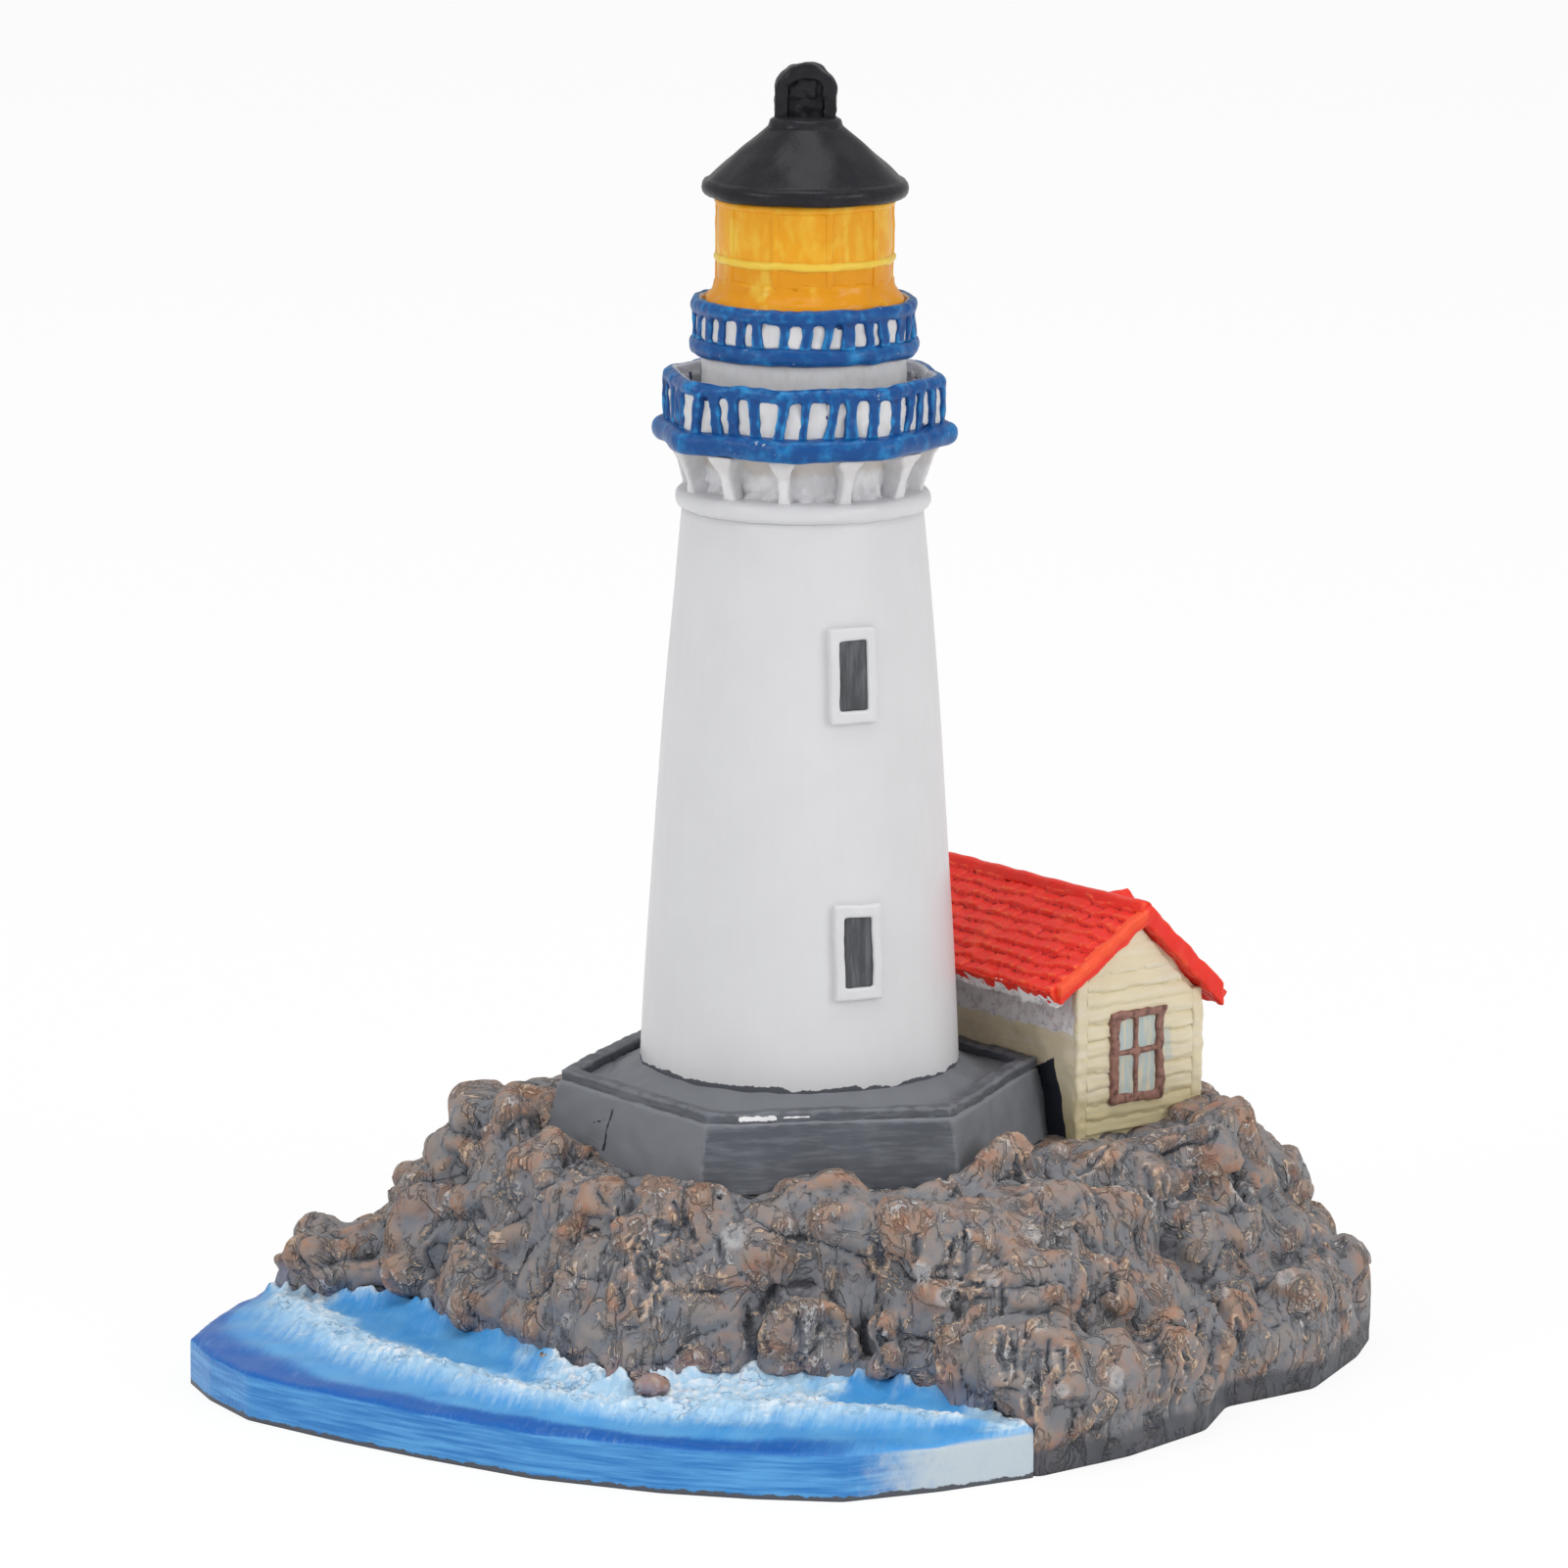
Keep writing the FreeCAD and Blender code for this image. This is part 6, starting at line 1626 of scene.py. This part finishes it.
def gallery_railing(tier, blue, profile, posts, reach, spacing, inside, dice):
    """The handrail and its posts; posts gives their face and the heights of both ends."""
    bm = lathe(profile)
    set_reach(bm, reach)
    gallery_posts(bm, getattr(settings("galleries"), f"{tier}_posts"), *posts, dice, reach)
    bm = worn(cast(bm, size("galleries", "skin")), (0.2, spacing), (0.1, 1.0), (6, 24, 0.08, 0.6))
    note(bm, "inside", lambda vert: swell_up(-vert.co.xy.length / reach(turn_of(vert)), *inside))
    nodes = (f"{tier}_gallery_handrail", f"{tier}_gallery_balusters")
    piece(bm, f"{tier}_gallery_railing", blue, "gallery_blue", *nodes)


def lower_gallery():
    blue, white = gallery_blue(), gallery_white()
    dice = random.Random(21)
    deck = [(0, 99.9), (14.4, 99.9), (15.0, 99.95)] + bead(16.5, 100.0, 102.35, 0.75)
    deck += [(14.8, 102.5), (0, 102.4)]
    gallery_floor("lower", blue, deck, eight_sided, 1.2, (0.22, 4.5), (0.1, 1.6))
    wall = [(13.3, 102.2)] + rows((14.9, 102.2), (14.9, 106.6), 14)
    wall += rows((13.5, 106.6), (13.3, 102.2), 8) + [(13.3, 102.2)]
    gallery_wall("lower", white, wall, 360, eight_sided, 102.4, 106.2, dice)
    rail = [(13.4, 106.1), (15.0, 106.1), (15.35, 106.5), (15.3, 107.1), (14.9, 107.5), (13.9, 107.5)]
    posts = (14.9, 102.1, 106.4)
    gallery_railing("lower", blue, rail + rail[:1], posts, eight_sided, 2.6, (-14.35, -14.1), dice)


def upper_gallery():
    blue, white = gallery_blue(), gallery_white()
    dice = random.Random(8)
    bm = lathe([(0, 102.3)] + rows((10.9, 102.3), (10.7, 109.6), 14) + [(0, 109.6)], 120)
    worn(bm, (0.15, 4.0), (0.12, 1.5))
    note(bm, "slop", lambda vert: max(0.0, 0.42 - abs(vert.co.z - 109.4) / 2.0))
    piece(bm, "watch_room_wall", white, "tower_paint", "watch_room_drum")
    deck = [(0, 109.3), (11.0, 109.3)] + bead(12.15, 109.45, 111.4, 0.8) + [(11.2, 111.5), (0, 111.5)]
    gallery_floor("upper", blue, deck, round_sided, 1.1, (0.2, 3.6), (0.1, 1.4))
    wall = [(10.3, 111.3)] + rows((11.3, 111.3), (11.3, 114.2), 12) + rows((10.3, 114.2), (10.3, 111.3), 4)
    gallery_wall("upper", white, wall, 300, round_sided, 111.4, 113.8, dice)
    rail = [(10.5, 113.9), (11.6, 113.8), (11.95, 114.3), (11.9, 115.0), (11.5, 115.4), (10.8, 115.3)]
    posts = (11.3, 111.1, 114.1)
    gallery_railing("upper", blue, rail + rail[:1], posts, round_sided, 2.4, (-11.05, -10.85), dice)


# Lantern and roof


def lantern_piece(bm, name, finish, node, belt=0.0):
    worn(bm, (0.14, 4.0), (0.06, 1.2))
    note(bm, "height", lambda vert: vert.co.z)
    note(bm, "belt", lambda vert: belt)
    piece(bm, name, finish, "lantern_yellow", node)


def lantern():
    finish = lantern_yellow()
    foot = [(0, 111.6), (10.3, 111.6), (10.45, 115.2)] + rows((10.3, 115.6), (9.35, 117.2), 6, -0.25)
    bm = lathe(foot + [(9.2, 117.6), (0, 117.6)])
    lumps(bm, 0.3, 1.6)
    lantern_piece(bm, "lantern_foot", finish, "lantern_sill")
    bm = lathe([(0, 117.0)] + rows((9.2, 117.0), (9.15, 126.6), 24, 0.05) + [(0, 126.6)], 160)
    lantern_piece(bm, "lantern_glass", finish, "lantern_glazing")
    bm = lathe([(8.8, 118.9)] + bead(9.55, 119.1, 120.0, 0.9) + [(8.8, 120.2), (8.8, 118.9)], 160)
    sway(bm, 0.1, 1.6)
    lantern_piece(bm, "lantern_belt", finish, "lantern_belt_rail", 1.0)
    bm = lathe([(8.8, 125.0)] + bead(9.5, 125.1, 126.0, 0.6) + [(8.8, 126.3), (8.8, 125.0)], 160)
    lantern_piece(bm, "lantern_head_bead", finish, "lantern_head_ring")
    bm = bmesh.new()
    dice = random.Random(3)
    for index in range(10):
        turn = Matrix.Rotation(math.radians(17 + 36 * index) + dice.uniform(-0.02, 0.02), 4, "Z")
        block(bm, (-0.45, -9.4, 117.0), (0.45, -8.4, 125.6), turn)
    lantern_piece(cast(bm, 0.22, 4), "lantern_bars", finish, "lantern_mullions")


# Heights of the finial: where it stands on the roof and its highest point
FINIAL_FOOT, FINIAL_TOP = 134, 139.95


def lantern_roof_shell(finish):
    lip = [(0, 126.0), (9.0, 126.0), (10.3, 125.95)] + bead(10.85, 126.0, 127.7, 0.7, 6)
    cone = rows((10.15, 127.75), (3.9, 133.3), 24, 0.12)
    bm = lathe(lip + cone + [(0, 133.4)], 160)
    worn(bm, (0.16, 5.0), (0.16, 3.0), (4, 16, 0.1, 0.6))
    piece(bm, "lantern_roof_shell", finish, "roof_black", "lantern_roof")
    bm = lathe([(0, 133.0), (4.1, 133.0), (3.9, 133.4), (3.75, 133.9), (3.3, 134.2), (0, 134.3)], 96)
    sway(bm, 0.14, 2.0)
    note_relief(bm, 4, 16, 0.1, 0.6)
    piece(bm, "roof_neck", finish, "roof_black", "roof_collar")


def finial(finish):
    bm = bmesh.new()
    for near, far in ((-3.2, -1.75), (1.75, 3.2)):
        block(bm, (near, -1.3, 133.9), (far, 1.3, 137.0))
    flat = Matrix.Translation((2.5, 0, 136.9)) @ Matrix.Diagonal((1.5, 2.6, 0.02, 1))
    start = bmesh.ops.create_cube(bm, size=1, matrix=flat)["verts"]
    faces = {face for vert in start for face in vert.link_faces}
    top = max(faces, key=lambda face: face.calc_center_median().z)
    arch = {"cent": (0, 0, 136.9), "axis": FRONT, "dvec": (0, 0, 0), "angle": math.pi, "steps": 16}
    bmesh.ops.spin(bm, geom=[top], use_merge=False, **arch)
    bmesh.ops.recalc_face_normals(bm, faces=bm.faces)
    bm = worn(cast(bm, 0.18, 4), (0.3, 1.9), (0.16, 1.1))
    highest = max(vert.co.z for vert in bm.verts)
    for vert in bm.verts:
        share = max(0.0, vert.co.z - FINIAL_FOOT) / (highest - FINIAL_FOOT)
        vert.co.z -= share * (highest - FINIAL_TOP)
    note_relief(bm, 5, 20, 0.12, 0.6)
    piece(bm, "finial_arch", finish, "roof_black", "finial_loop")
    bm = bmesh.new()
    block(bm, (-1.9, -0.65, 134.0), (1.9, 0.65, 138.3))
    block(bm, (-0.9, -1.0, 136.3), (1.1, 1.0, 138.4))
    bm = cast(bm, 0.18, 4)
    lumps(bm, 0.3, 0.9)
    note_relief(bm, 5, 20, 0.12, 0.6)
    piece(bm, "finial_fill", finish, "roof_black", "finial_web")


def lantern_top():
    finish = roof_black()
    lantern_roof_shell(finish)
    finial(finish)


# Cottage, drawn in its own frame: X along the gable wall, Y away along the ridge, Z up from the ledge


# Height of the ledge that the cottage stands on
LEDGE = 25


def settle_cottage(bm):
    """Sets a piece drawn in the cottage's frame in its place beside the tower."""
    turn = Matrix.Rotation(settings("cottage").turn, 4, "Z")
    corner = turn @ Vector((size("tower", "foot") + 5.3, -18.9, 0))
    place = Matrix.Translation(corner + UP * LEDGE) @ turn
    bmesh.ops.transform(bm, matrix=place, verts=bm.verts)


def cream_piece(bm, name, finish, node, relief, smears=()):
    settle_cottage(bm)
    note_relief(bm, *relief)
    note(bm, "height", lambda vert: vert.co.z)
    if smears:
        mark(bm, "smear", smears)
    piece(bm, name, finish, "cottage_cream", node)


def red_piece(bm, name, finish, node):
    settle_cottage(bm)
    note_relief(bm, 4, 16, 0.14, 0.6)
    piece(bm, name, finish, "roof_red", node)


def gable(inset=0.0, foot=0.0):
    """Corners of the gable wall, with its slopes and sides drawn in by inset."""
    across, middle = size("cottage", "width"), size("cottage", "width") / 2
    left, right, ridge = (size("cottage", name) for name in ("left_wall", "right_wall", "ridge"))
    return [
        (inset, 0, foot),
        (across - inset, 0, foot),
        (across - inset, 0, right),
        (middle, 0, ridge - inset * 0.2),
        (inset, 0, left),
    ]


# Pale smear beside the cottage's window: both ends in the photograph's pixels, half width in millimetres
SMEAR_PIXELS = ((1190, 1052, 1193, 1078, 0.55),)


def side_splash(vert):
    """How much of the eave's white has run down a point of the side wall."""
    return (vert.co.z - 9.8) / 2.8 if vert.normal.x < -0.4 else 0.0


def in_gap_shadow(vert):
    """How deep a point of the side wall lies in the painted shadow of the gap beside the plinth."""
    behind = min(vert.co.y - 1.2 - 0.25 * vert.co.z, 7.2 - vert.co.y, 1.0)
    return min((10.2 - vert.co.z - 0.5 * vert.co.y) / 2, behind) + 0.5 if vert.normal.x < -0.4 else 0.0


def cut_boards(bm, dice):
    """Steps the gable back board by board, except behind the window."""
    board = size("cottage", "board")
    starts = [dice.uniform(-0.12, 0.12) for _ in range(40)]
    for vert in bm.verts:
        behind_window = 4.9 < vert.co.x < 11.5 and 3.6 < vert.co.z < 12.9
        if vert.co.y < -0.1 and not behind_window:
            wave = 0.3 * noise.noise(Vector((vert.co.x / 3.2, 0, vert.co.z / 1.8)))
            level = (vert.co.z + wave) / board
            order = math.floor(level)
            share = level - order + starts[order]
            smooth_top = clamped((vert.co.z - 16.5) / 3)
            groove = math.exp(-((min(share, abs(1 - share)) / 0.13) ** 2))
            vert.co.y -= (0.22 * (1 - share) - 0.2 * groove) * (1 - 0.8 * smooth_top)
            vert.co.y -= 0.1 * noise.noise(Vector((vert.co.x / 2.5, 3, vert.co.z / 0.6)))


def cottage_walls():
    finish = cottage_cream()
    dice = random.Random(9)
    bm = bmesh.new()
    drawn(bm, gable(foot=-1.5), (0, size("cottage", "length"), 0))
    bm = cast(bm, 0.32)
    lumps(bm, 0.35, 3.0)
    lumps(bm, 0.1, 1.0)
    sway(bm, 0.15, 6.0)
    note(bm, "splash", side_splash)
    # Painted shadow where the side wall runs into the gap beside the plinth
    note(bm, "gap_shadow", in_gap_shadow)
    cream_piece(bm, "cottage_wall_block", finish, "cottage_walls", (3, 12, 0.14, 0.6))
    bm = bmesh.new()
    drawn(bm, gable(1.3, 0.2), (0, -0.35, 0))
    bm = cast(bm, 0.17)
    cut_boards(bm, dice)
    cream_piece(bm, "cottage_boards", finish, "cottage_clapboards", (4, 16, 0.12, 0.5), SMEAR_PIXELS)
    bm = bmesh.new()
    width, left, right = (size("cottage", name) for name in ("width", "left_wall", "right_wall"))
    for low_x, high_x, top in ((-0.1, 1.45, left), (width - 1.45, width + 0.1, right)):
        block(bm, (low_x, -0.5, 0.0), (high_x, 0.3, top + 0.3))
    bm = worn(cast(bm, 0.2, 4), (0.22, 2.4), (0.14, 0.9))
    cream_piece(bm, "cottage_corners", finish, "cottage_corner_boards", (4, 16, 0.12, 0.5))


def cottage_window():
    brown, glass = window_brown(), pale_pane()
    bm = bmesh.new()
    left, right, low, high = 4.5, 11.9, 3.2, 13.3
    bars = (
        (left, left + 1.0, low, high),
        (right - 1.0, right, low + 0.2, high),
        (left, right - 0.2, low, low + 0.95),
        (left + 0.2, right + 0.25, high - 0.95, high),
    )
    for first, last, bottom, top in bars:
        block(bm, (first, -0.95, bottom), (last, 0.0, top))
    bm = worn(cast(bm, 0.17, 3), (0.22, 2.4), (0.12, 0.8))
    settle_cottage(bm)
    piece(bm, "cottage_window_border", brown, "window_brown", "cottage_window_frame")
    bm = bmesh.new()
    block(bm, (left + 0.7, -0.5, low + 0.7), (right - 0.7, 0.0, high - 0.7))
    bm = cast(bm, 0.25)
    lumps(bm, 0.12, 1.2)
    settle_cottage(bm)
    piece(bm, "cottage_window_glass", glass, "window_pale_blue", "cottage_window_pane")
    bm = bmesh.new()
    middle, level = (left + right) / 2 - 0.1, (low + high) / 2 + 0.5
    block(bm, (middle - 0.32, -0.86, low + 0.4), (middle + 0.28, -0.1, high - 0.5))
    block(bm, (left + 0.5, -0.86, level - 0.28), (right - 0.5, -0.1, level + 0.3))
    block(bm, (middle - 0.5, -0.88, level - 0.45), (middle + 0.45, -0.1, level + 0.42))
    bm = cast(bm, 0.15, 3)
    sway(bm, 0.16, 2.2)
    settle_cottage(bm)
    piece(bm, "cottage_window_cross", brown, "window_brown", "cottage_window_muntins")


def slope(side):
    """Where a slope of the roof runs: its top and bottom edge, across and up."""
    middle, ridge = size("cottage", "width") / 2, size("cottage", "ridge")
    wall = size("cottage", "left_wall" if side < 0 else "right_wall")
    run = middle + (3.3 if side < 0 else 2.1)
    pitch = (ridge - wall) / middle
    return Vector((middle, 0, ridge)), Vector((middle + side * run, 0, ridge - pitch * run))


def lay_shingles(bm, head, down, out, side):
    """Steps a slope of the roof shingle by shingle, each with its own tilt."""
    course = size("cottage", "course")
    dice = random.Random(14)
    shift = [dice.uniform(0, 2.4) for _ in range(20)]
    tilt = [dice.uniform(-1, 1) for _ in range(640)]
    for vert in bm.verts:
        if vert.normal.dot(out) < 0.5:
            continue
        along = vert.co.y
        fall = (vert.co - head).dot(down)
        fine = 0.14 * noise.noise(Vector((along / 0.9, 0, 7)))
        fall += 0.4 * noise.noise(Vector((along / 3.5, fall / 3, side))) + fine
        order = int(max(fall, 0) / course)
        place = (along + shift[order % 20]) / 2.3 + 0.25 * noise.noise(Vector((along, order * 3, 1)))
        joint = abs(place % 1.0 - 0.5) * 2
        each = tilt[(order * 31 + int(place + 50)) % 640]
        share = (fall + 0.14 * each) / course
        share -= math.floor(share)
        lip = 1.0 if share < 0.86 else max(0.0, (1 - share) / 0.14)
        stand = 0.46 * (share - 0.45) * lip - 0.1 * max(0.0, (joint - 0.8) / 0.2) + 0.1 * each
        vert.co += out * (stand - 0.1)


def roof_slope(name, side, finish, node):
    head, foot = slope(side)
    down = (foot - head).normalized()
    out = Vector((-down.z * side, 0, down.x * side)) if side > 0 else Vector((down.z, 0, -down.x))
    thick = 1.9
    top = head + UP * (thick / abs(out.z))
    bm = bmesh.new()
    drawn(bm, [point + FRONT * 0.8 for point in (head, foot, foot + out * thick, top)], (0, 38.5, 0))
    bm = cast(bm, 0.25)
    lay_shingles(bm, head, down, out, side)
    lumps(bm, 0.14, 1.1)
    settle_cottage(bm)
    sway(bm, 0.15, 6.0)
    note_relief(bm, 4, 16, 0.16, 0.6)
    piece(bm, name, finish, "roof_red", node)


def rake_edge(finish):
    bm = bmesh.new()
    for side in (-1, 1):
        head, foot = slope(side)
        low, high = (UP * 0.2, UP * 2.2) if side < 0 else (UP * -0.1, UP * 2.6)
        outline = [head + low, foot + low, foot + high, head + high]
        drawn(bm, [point + FRONT * 1.7 for point in outline], (0, 1.2, 0))
    bm = worn(cast(bm, 0.2, 5), (0.22, 2.6), (0.15, 1.3))
    head, foot = slope(-1)
    pitch = (head.z - foot.z) / (head.x - foot.x)

    # Painted highlight: orange along the upper edge of the left rake board
    def on_left_edge(vert):
        rise = vert.co.z - foot.z - pitch * (vert.co.x - foot.x)
        return swell_up(rise, 0.9, 1.3) if vert.co.x < head.x - 0.3 else 0.0

    note(bm, "bright", on_left_edge)
    red_piece(bm, "cottage_rake_edge", finish, "cottage_rake_boards")


def cottage_roof():
    finish, white = roof_red(), cottage_white()
    roof_slope("cottage_shingles_left", -1, finish, "cottage_roof_left")
    roof_slope("cottage_shingles_right", 1, finish, "cottage_roof_right")
    rake_edge(finish)
    middle, ridge = size("cottage", "width") / 2, size("cottage", "ridge") + 2.2
    bm = bmesh.new()
    outline = ((-1.0, -0.9), (1.0, -1.0), (0.5, 0.35), (-0.5, 0.4))
    points = [Vector((middle + across, 0, ridge + up)) + FRONT * 1.4 for across, up in outline]
    drawn(bm, points, (0, 39.0, 0))
    bm = worn(cast(bm, 0.2, 5), (0.14, 3.0), (0.1, 1.6))
    red_piece(bm, "cottage_ridge_roll", finish, "cottage_ridge_cap")
    bm = bmesh.new()
    outline = ((3.6, -4.0), (8.2, -4.0), (8.2, -1.6), (5.9, 0.0), (3.6, -1.6))
    points = [Vector((0, along, up)) + Vector((middle, 0, ridge + 0.35)) for along, up in outline]
    drawn(bm, points, (3.6, 0, 0))
    bm = cast(bm, 0.22, 5)
    lumps(bm, 0.3, 1.6)
    red_piece(bm, "cottage_dormer_hump", finish, "cottage_dormer")
    bm = bmesh.new()
    _, foot = slope(-1)
    outline = ((-0.35, -0.2), (0.9, -0.1), (1.0, 1.1), (-0.45, 1.5))
    drawn(bm, [foot + Vector((across, -0.7, up)) for across, up in outline], (0, 38.2, 0))
    bm = cast(bm, 0.22, 3)
    lumps(bm, 0.45, 1.3)
    lumps(bm, 0.3, 0.7, seed=4)
    settle_cottage(bm)
    piece(bm, "cottage_eave_board", white, "cottage_white", "cottage_eave_fascia")


# Stage


def studio_floor():
    """A pale floor that the camera sees close to white."""
    bm = bmesh.new()
    bmesh.ops.create_circle(bm, cap_ends=True, segments=96, radius=4.0)
    mesh = bpy.data.meshes.new("studio_floor")
    bm.to_mesh(mesh)
    bm.free()
    floor = bpy.data.objects.new("studio_floor", mesh)
    material = bpy.data.materials.new("pale_floor")
    material.use_nodes = True
    tree = material.node_tree
    shader = node_of(tree, "BSDF_PRINCIPLED")
    shader.inputs["Base Color"].default_value = (0.93, 0.93, 0.93, 1)
    shader.inputs["Roughness"].default_value = 0.9
    white = add(tree, "ShaderNodeEmission", {"Color": (1, 1, 1, 1), "Strength": 1.0})
    seen = add(tree, "ShaderNodeLightPath").outputs["Is Camera Ray"]
    inputs = {0: Wiring(tree).times(seen, 0.9), 1: shader.outputs[0], 2: white.outputs[0]}
    mix = add(tree, "ShaderNodeMixShader", inputs)
    tree.links.new(mix.outputs[0], node_of(tree, "OUTPUT_MATERIAL").inputs["Surface"])
    mesh.materials.append(material)
    bpy.context.scene.collection.objects.link(floor)


def studio_world():
    """White behind the object, and softer as a light."""
    world = bpy.data.worlds.new("studio")
    world.use_nodes = True
    tree = world.node_tree
    seen = add(tree, "ShaderNodeLightPath").outputs
    shown = Wiring(tree).math("MAXIMUM", seen["Is Camera Ray"], seen["Is Transmission Ray"])
    level = add(tree, "ShaderNodeMapRange", {"Value": shown, "To Min": 0.56, "To Max": 1.0}).outputs["Result"]
    background = node_of(tree, "BACKGROUND")
    background.inputs["Color"].default_value = (1, 1, 1, 1)
    tree.links.new(level, background.inputs["Strength"])
    bpy.context.scene.world = world


# Lamps: name, place in metres, width in metres and power in watts
LAMPS = (
    ("left_softbox", (-1.15, -0.9, 0.8), 0.6, 6.6),
    ("right_softbox", (1.15, -0.8, 0.6), 0.6, 6.4),
    ("top_softbox", (0.0, -0.1, 1.5), 0.9, 8.0),
)
LAMP_AIM = Vector((0, 0, 0.06))


def studio():
    """A pale floor, soft even light and the camera at the photograph's angle."""
    scene = bpy.context.scene
    scene.view_settings.view_transform = "Standard"
    studio_floor()
    studio_world()
    for name, place, width, power in LAMPS:
        light = bpy.data.lights.new(name, "AREA")
        light.size, light.energy = width, power
        lamp = bpy.data.objects.new(name, light)
        lamp.location = place
        lamp.rotation_euler = (LAMP_AIM - Vector(place)).to_track_quat("-Z", "Y").to_euler()
        scene.collection.objects.link(lamp)
    camera = bpy.data.cameras.new("photograph_camera")
    camera.lens, camera.sensor_width = LENS, SENSOR
    camera.clip_start, camera.clip_end = 0.01, 20
    viewer = bpy.data.objects.new("photograph_camera", camera)
    place = camera_place()
    place.translation *= MM
    viewer.matrix_world = place
    scene.collection.objects.link(viewer)
    scene.camera = viewer


# Operators


class Step:
    """What every step of the build shares: it can be undone."""

    bl_options = {"REGISTER", "UNDO"}


class LIGHTHOUSE_OT_rocks(Step, bpy.types.Operator):
    """Build the blocks of rock that the lighthouse stands on"""

    bl_idname = "lighthouse.rocks"
    bl_label = "Headland rocks"

    def execute(self, context):
        headland_rocks()
        return {"FINISHED"}


class LIGHTHOUSE_OT_sea(Step, bpy.types.Operator):
    """Build the streaked sea and its foam along the shore"""

    bl_idname = "lighthouse.sea"
    bl_label = "Sea"

    def execute(self, context):
        sea_water()
        return {"FINISHED"}


class LIGHTHOUSE_OT_plinth(Step, bpy.types.Operator):
    """Build the six-sided plinth with its rim and floor"""

    bl_idname = "lighthouse.plinth"
    bl_label = "Plinth"

    def execute(self, context):
        plinth_pieces()
        return {"FINISHED"}


class LIGHTHOUSE_OT_tower(Step, bpy.types.Operator):
    """Build the tower with its windows and neck ring"""

    bl_idname = "lighthouse.tower"
    bl_label = "Tower"

    def execute(self, context):
        tower_wall()
        tower_windows()
        neck_ring()
        return {"FINISHED"}


class LIGHTHOUSE_OT_brackets(Step, bpy.types.Operator):
    """Build the brackets that carry the lower gallery"""

    bl_idname = "lighthouse.brackets"
    bl_label = "Brackets"

    def execute(self, context):
        gallery_brackets()
        return {"FINISHED"}


class LIGHTHOUSE_OT_galleries(Step, bpy.types.Operator):
    """Build both galleries, their walls and their railings"""

    bl_idname = "lighthouse.galleries"
    bl_label = "Galleries"

    def execute(self, context):
        lower_gallery()
        upper_gallery()
        return {"FINISHED"}


class LIGHTHOUSE_OT_lantern(Step, bpy.types.Operator):
    """Build the yellow lantern with its bars and belt"""

    bl_idname = "lighthouse.lantern"
    bl_label = "Lantern"

    def execute(self, context):
        lantern()
        return {"FINISHED"}


class LIGHTHOUSE_OT_roof(Step, bpy.types.Operator):
    """Build the black roof and the finial"""

    bl_idname = "lighthouse.roof"
    bl_label = "Lantern roof"

    def execute(self, context):
        lantern_top()
        return {"FINISHED"}


class LIGHTHOUSE_OT_cottage(Step, bpy.types.Operator):
    """Build the cottage's walls, boards and window"""

    bl_idname = "lighthouse.cottage"
    bl_label = "Cottage"

    def execute(self, context):
        cottage_walls()
        cottage_window()
        return {"FINISHED"}


class LIGHTHOUSE_OT_cottage_roof(Step, bpy.types.Operator):
    """Build the shingled red roof of the cottage"""

    bl_idname = "lighthouse.cottage_roof"
    bl_label = "Cottage roof"

    def execute(self, context):
        cottage_roof()
        return {"FINISHED"}


class LIGHTHOUSE_OT_stage(Step, bpy.types.Operator):
    """Set up the floor, the lights and the camera"""

    bl_idname = "lighthouse.stage"
    bl_label = "Studio"

    def execute(self, context):
        studio()
        return {"FINISHED"}


STEPS = (
    LIGHTHOUSE_OT_rocks,
    LIGHTHOUSE_OT_sea,
    LIGHTHOUSE_OT_plinth,
    LIGHTHOUSE_OT_tower,
    LIGHTHOUSE_OT_brackets,
    LIGHTHOUSE_OT_galleries,
    LIGHTHOUSE_OT_lantern,
    LIGHTHOUSE_OT_roof,
    LIGHTHOUSE_OT_cottage,
    LIGHTHOUSE_OT_cottage_roof,
    LIGHTHOUSE_OT_stage,
)


class LIGHTHOUSE_PT_panel(bpy.types.Panel):
    """Buttons for every part of the lighthouse, and its sizes and colours"""

    bl_label = "Lighthouse figurine"
    bl_space_type = "VIEW_3D"
    bl_region_type = "UI"
    bl_category = "Lighthouse"

    def draw(self, context):
        buttons = self.layout.column(align=True)
        for step in STEPS:
            buttons.operator(step.bl_idname)
        for name, kind in SETTINGS.items():
            box = self.layout.box()
            box.label(text=name.replace("_", " ").capitalize())
            for field in kind.__annotations__:
                box.prop(getattr(context.scene, name), field)


def register():
    for kind in SETTINGS.values():
        bpy.utils.register_class(kind)
    for kind in (*STEPS, LIGHTHOUSE_PT_panel):
        bpy.utils.register_class(kind)
    for name, kind in SETTINGS.items():
        setattr(bpy.types.Scene, name, PointerProperty(type=kind))


def unregister():
    for name in SETTINGS:
        delattr(bpy.types.Scene, name)
    for kind in (LIGHTHOUSE_PT_panel, *reversed(STEPS), *SETTINGS.values()):
        bpy.utils.unregister_class(kind)


def main():
    register()
    for make in (make_brushing, make_dry_brush_highlight_and_shade, make_pits, make_ragged_edge):
        make()
    bpy.ops.lighthouse.rocks()
    bpy.ops.lighthouse.sea()
    bpy.ops.lighthouse.plinth()
    bpy.ops.lighthouse.tower()
    bpy.ops.lighthouse.brackets()
    bpy.ops.lighthouse.galleries()
    bpy.ops.lighthouse.lantern()
    bpy.ops.lighthouse.roof()
    bpy.ops.lighthouse.cottage()
    bpy.ops.lighthouse.cottage_roof()
    bpy.ops.lighthouse.stage()


if __name__ == "__main__":
    main()
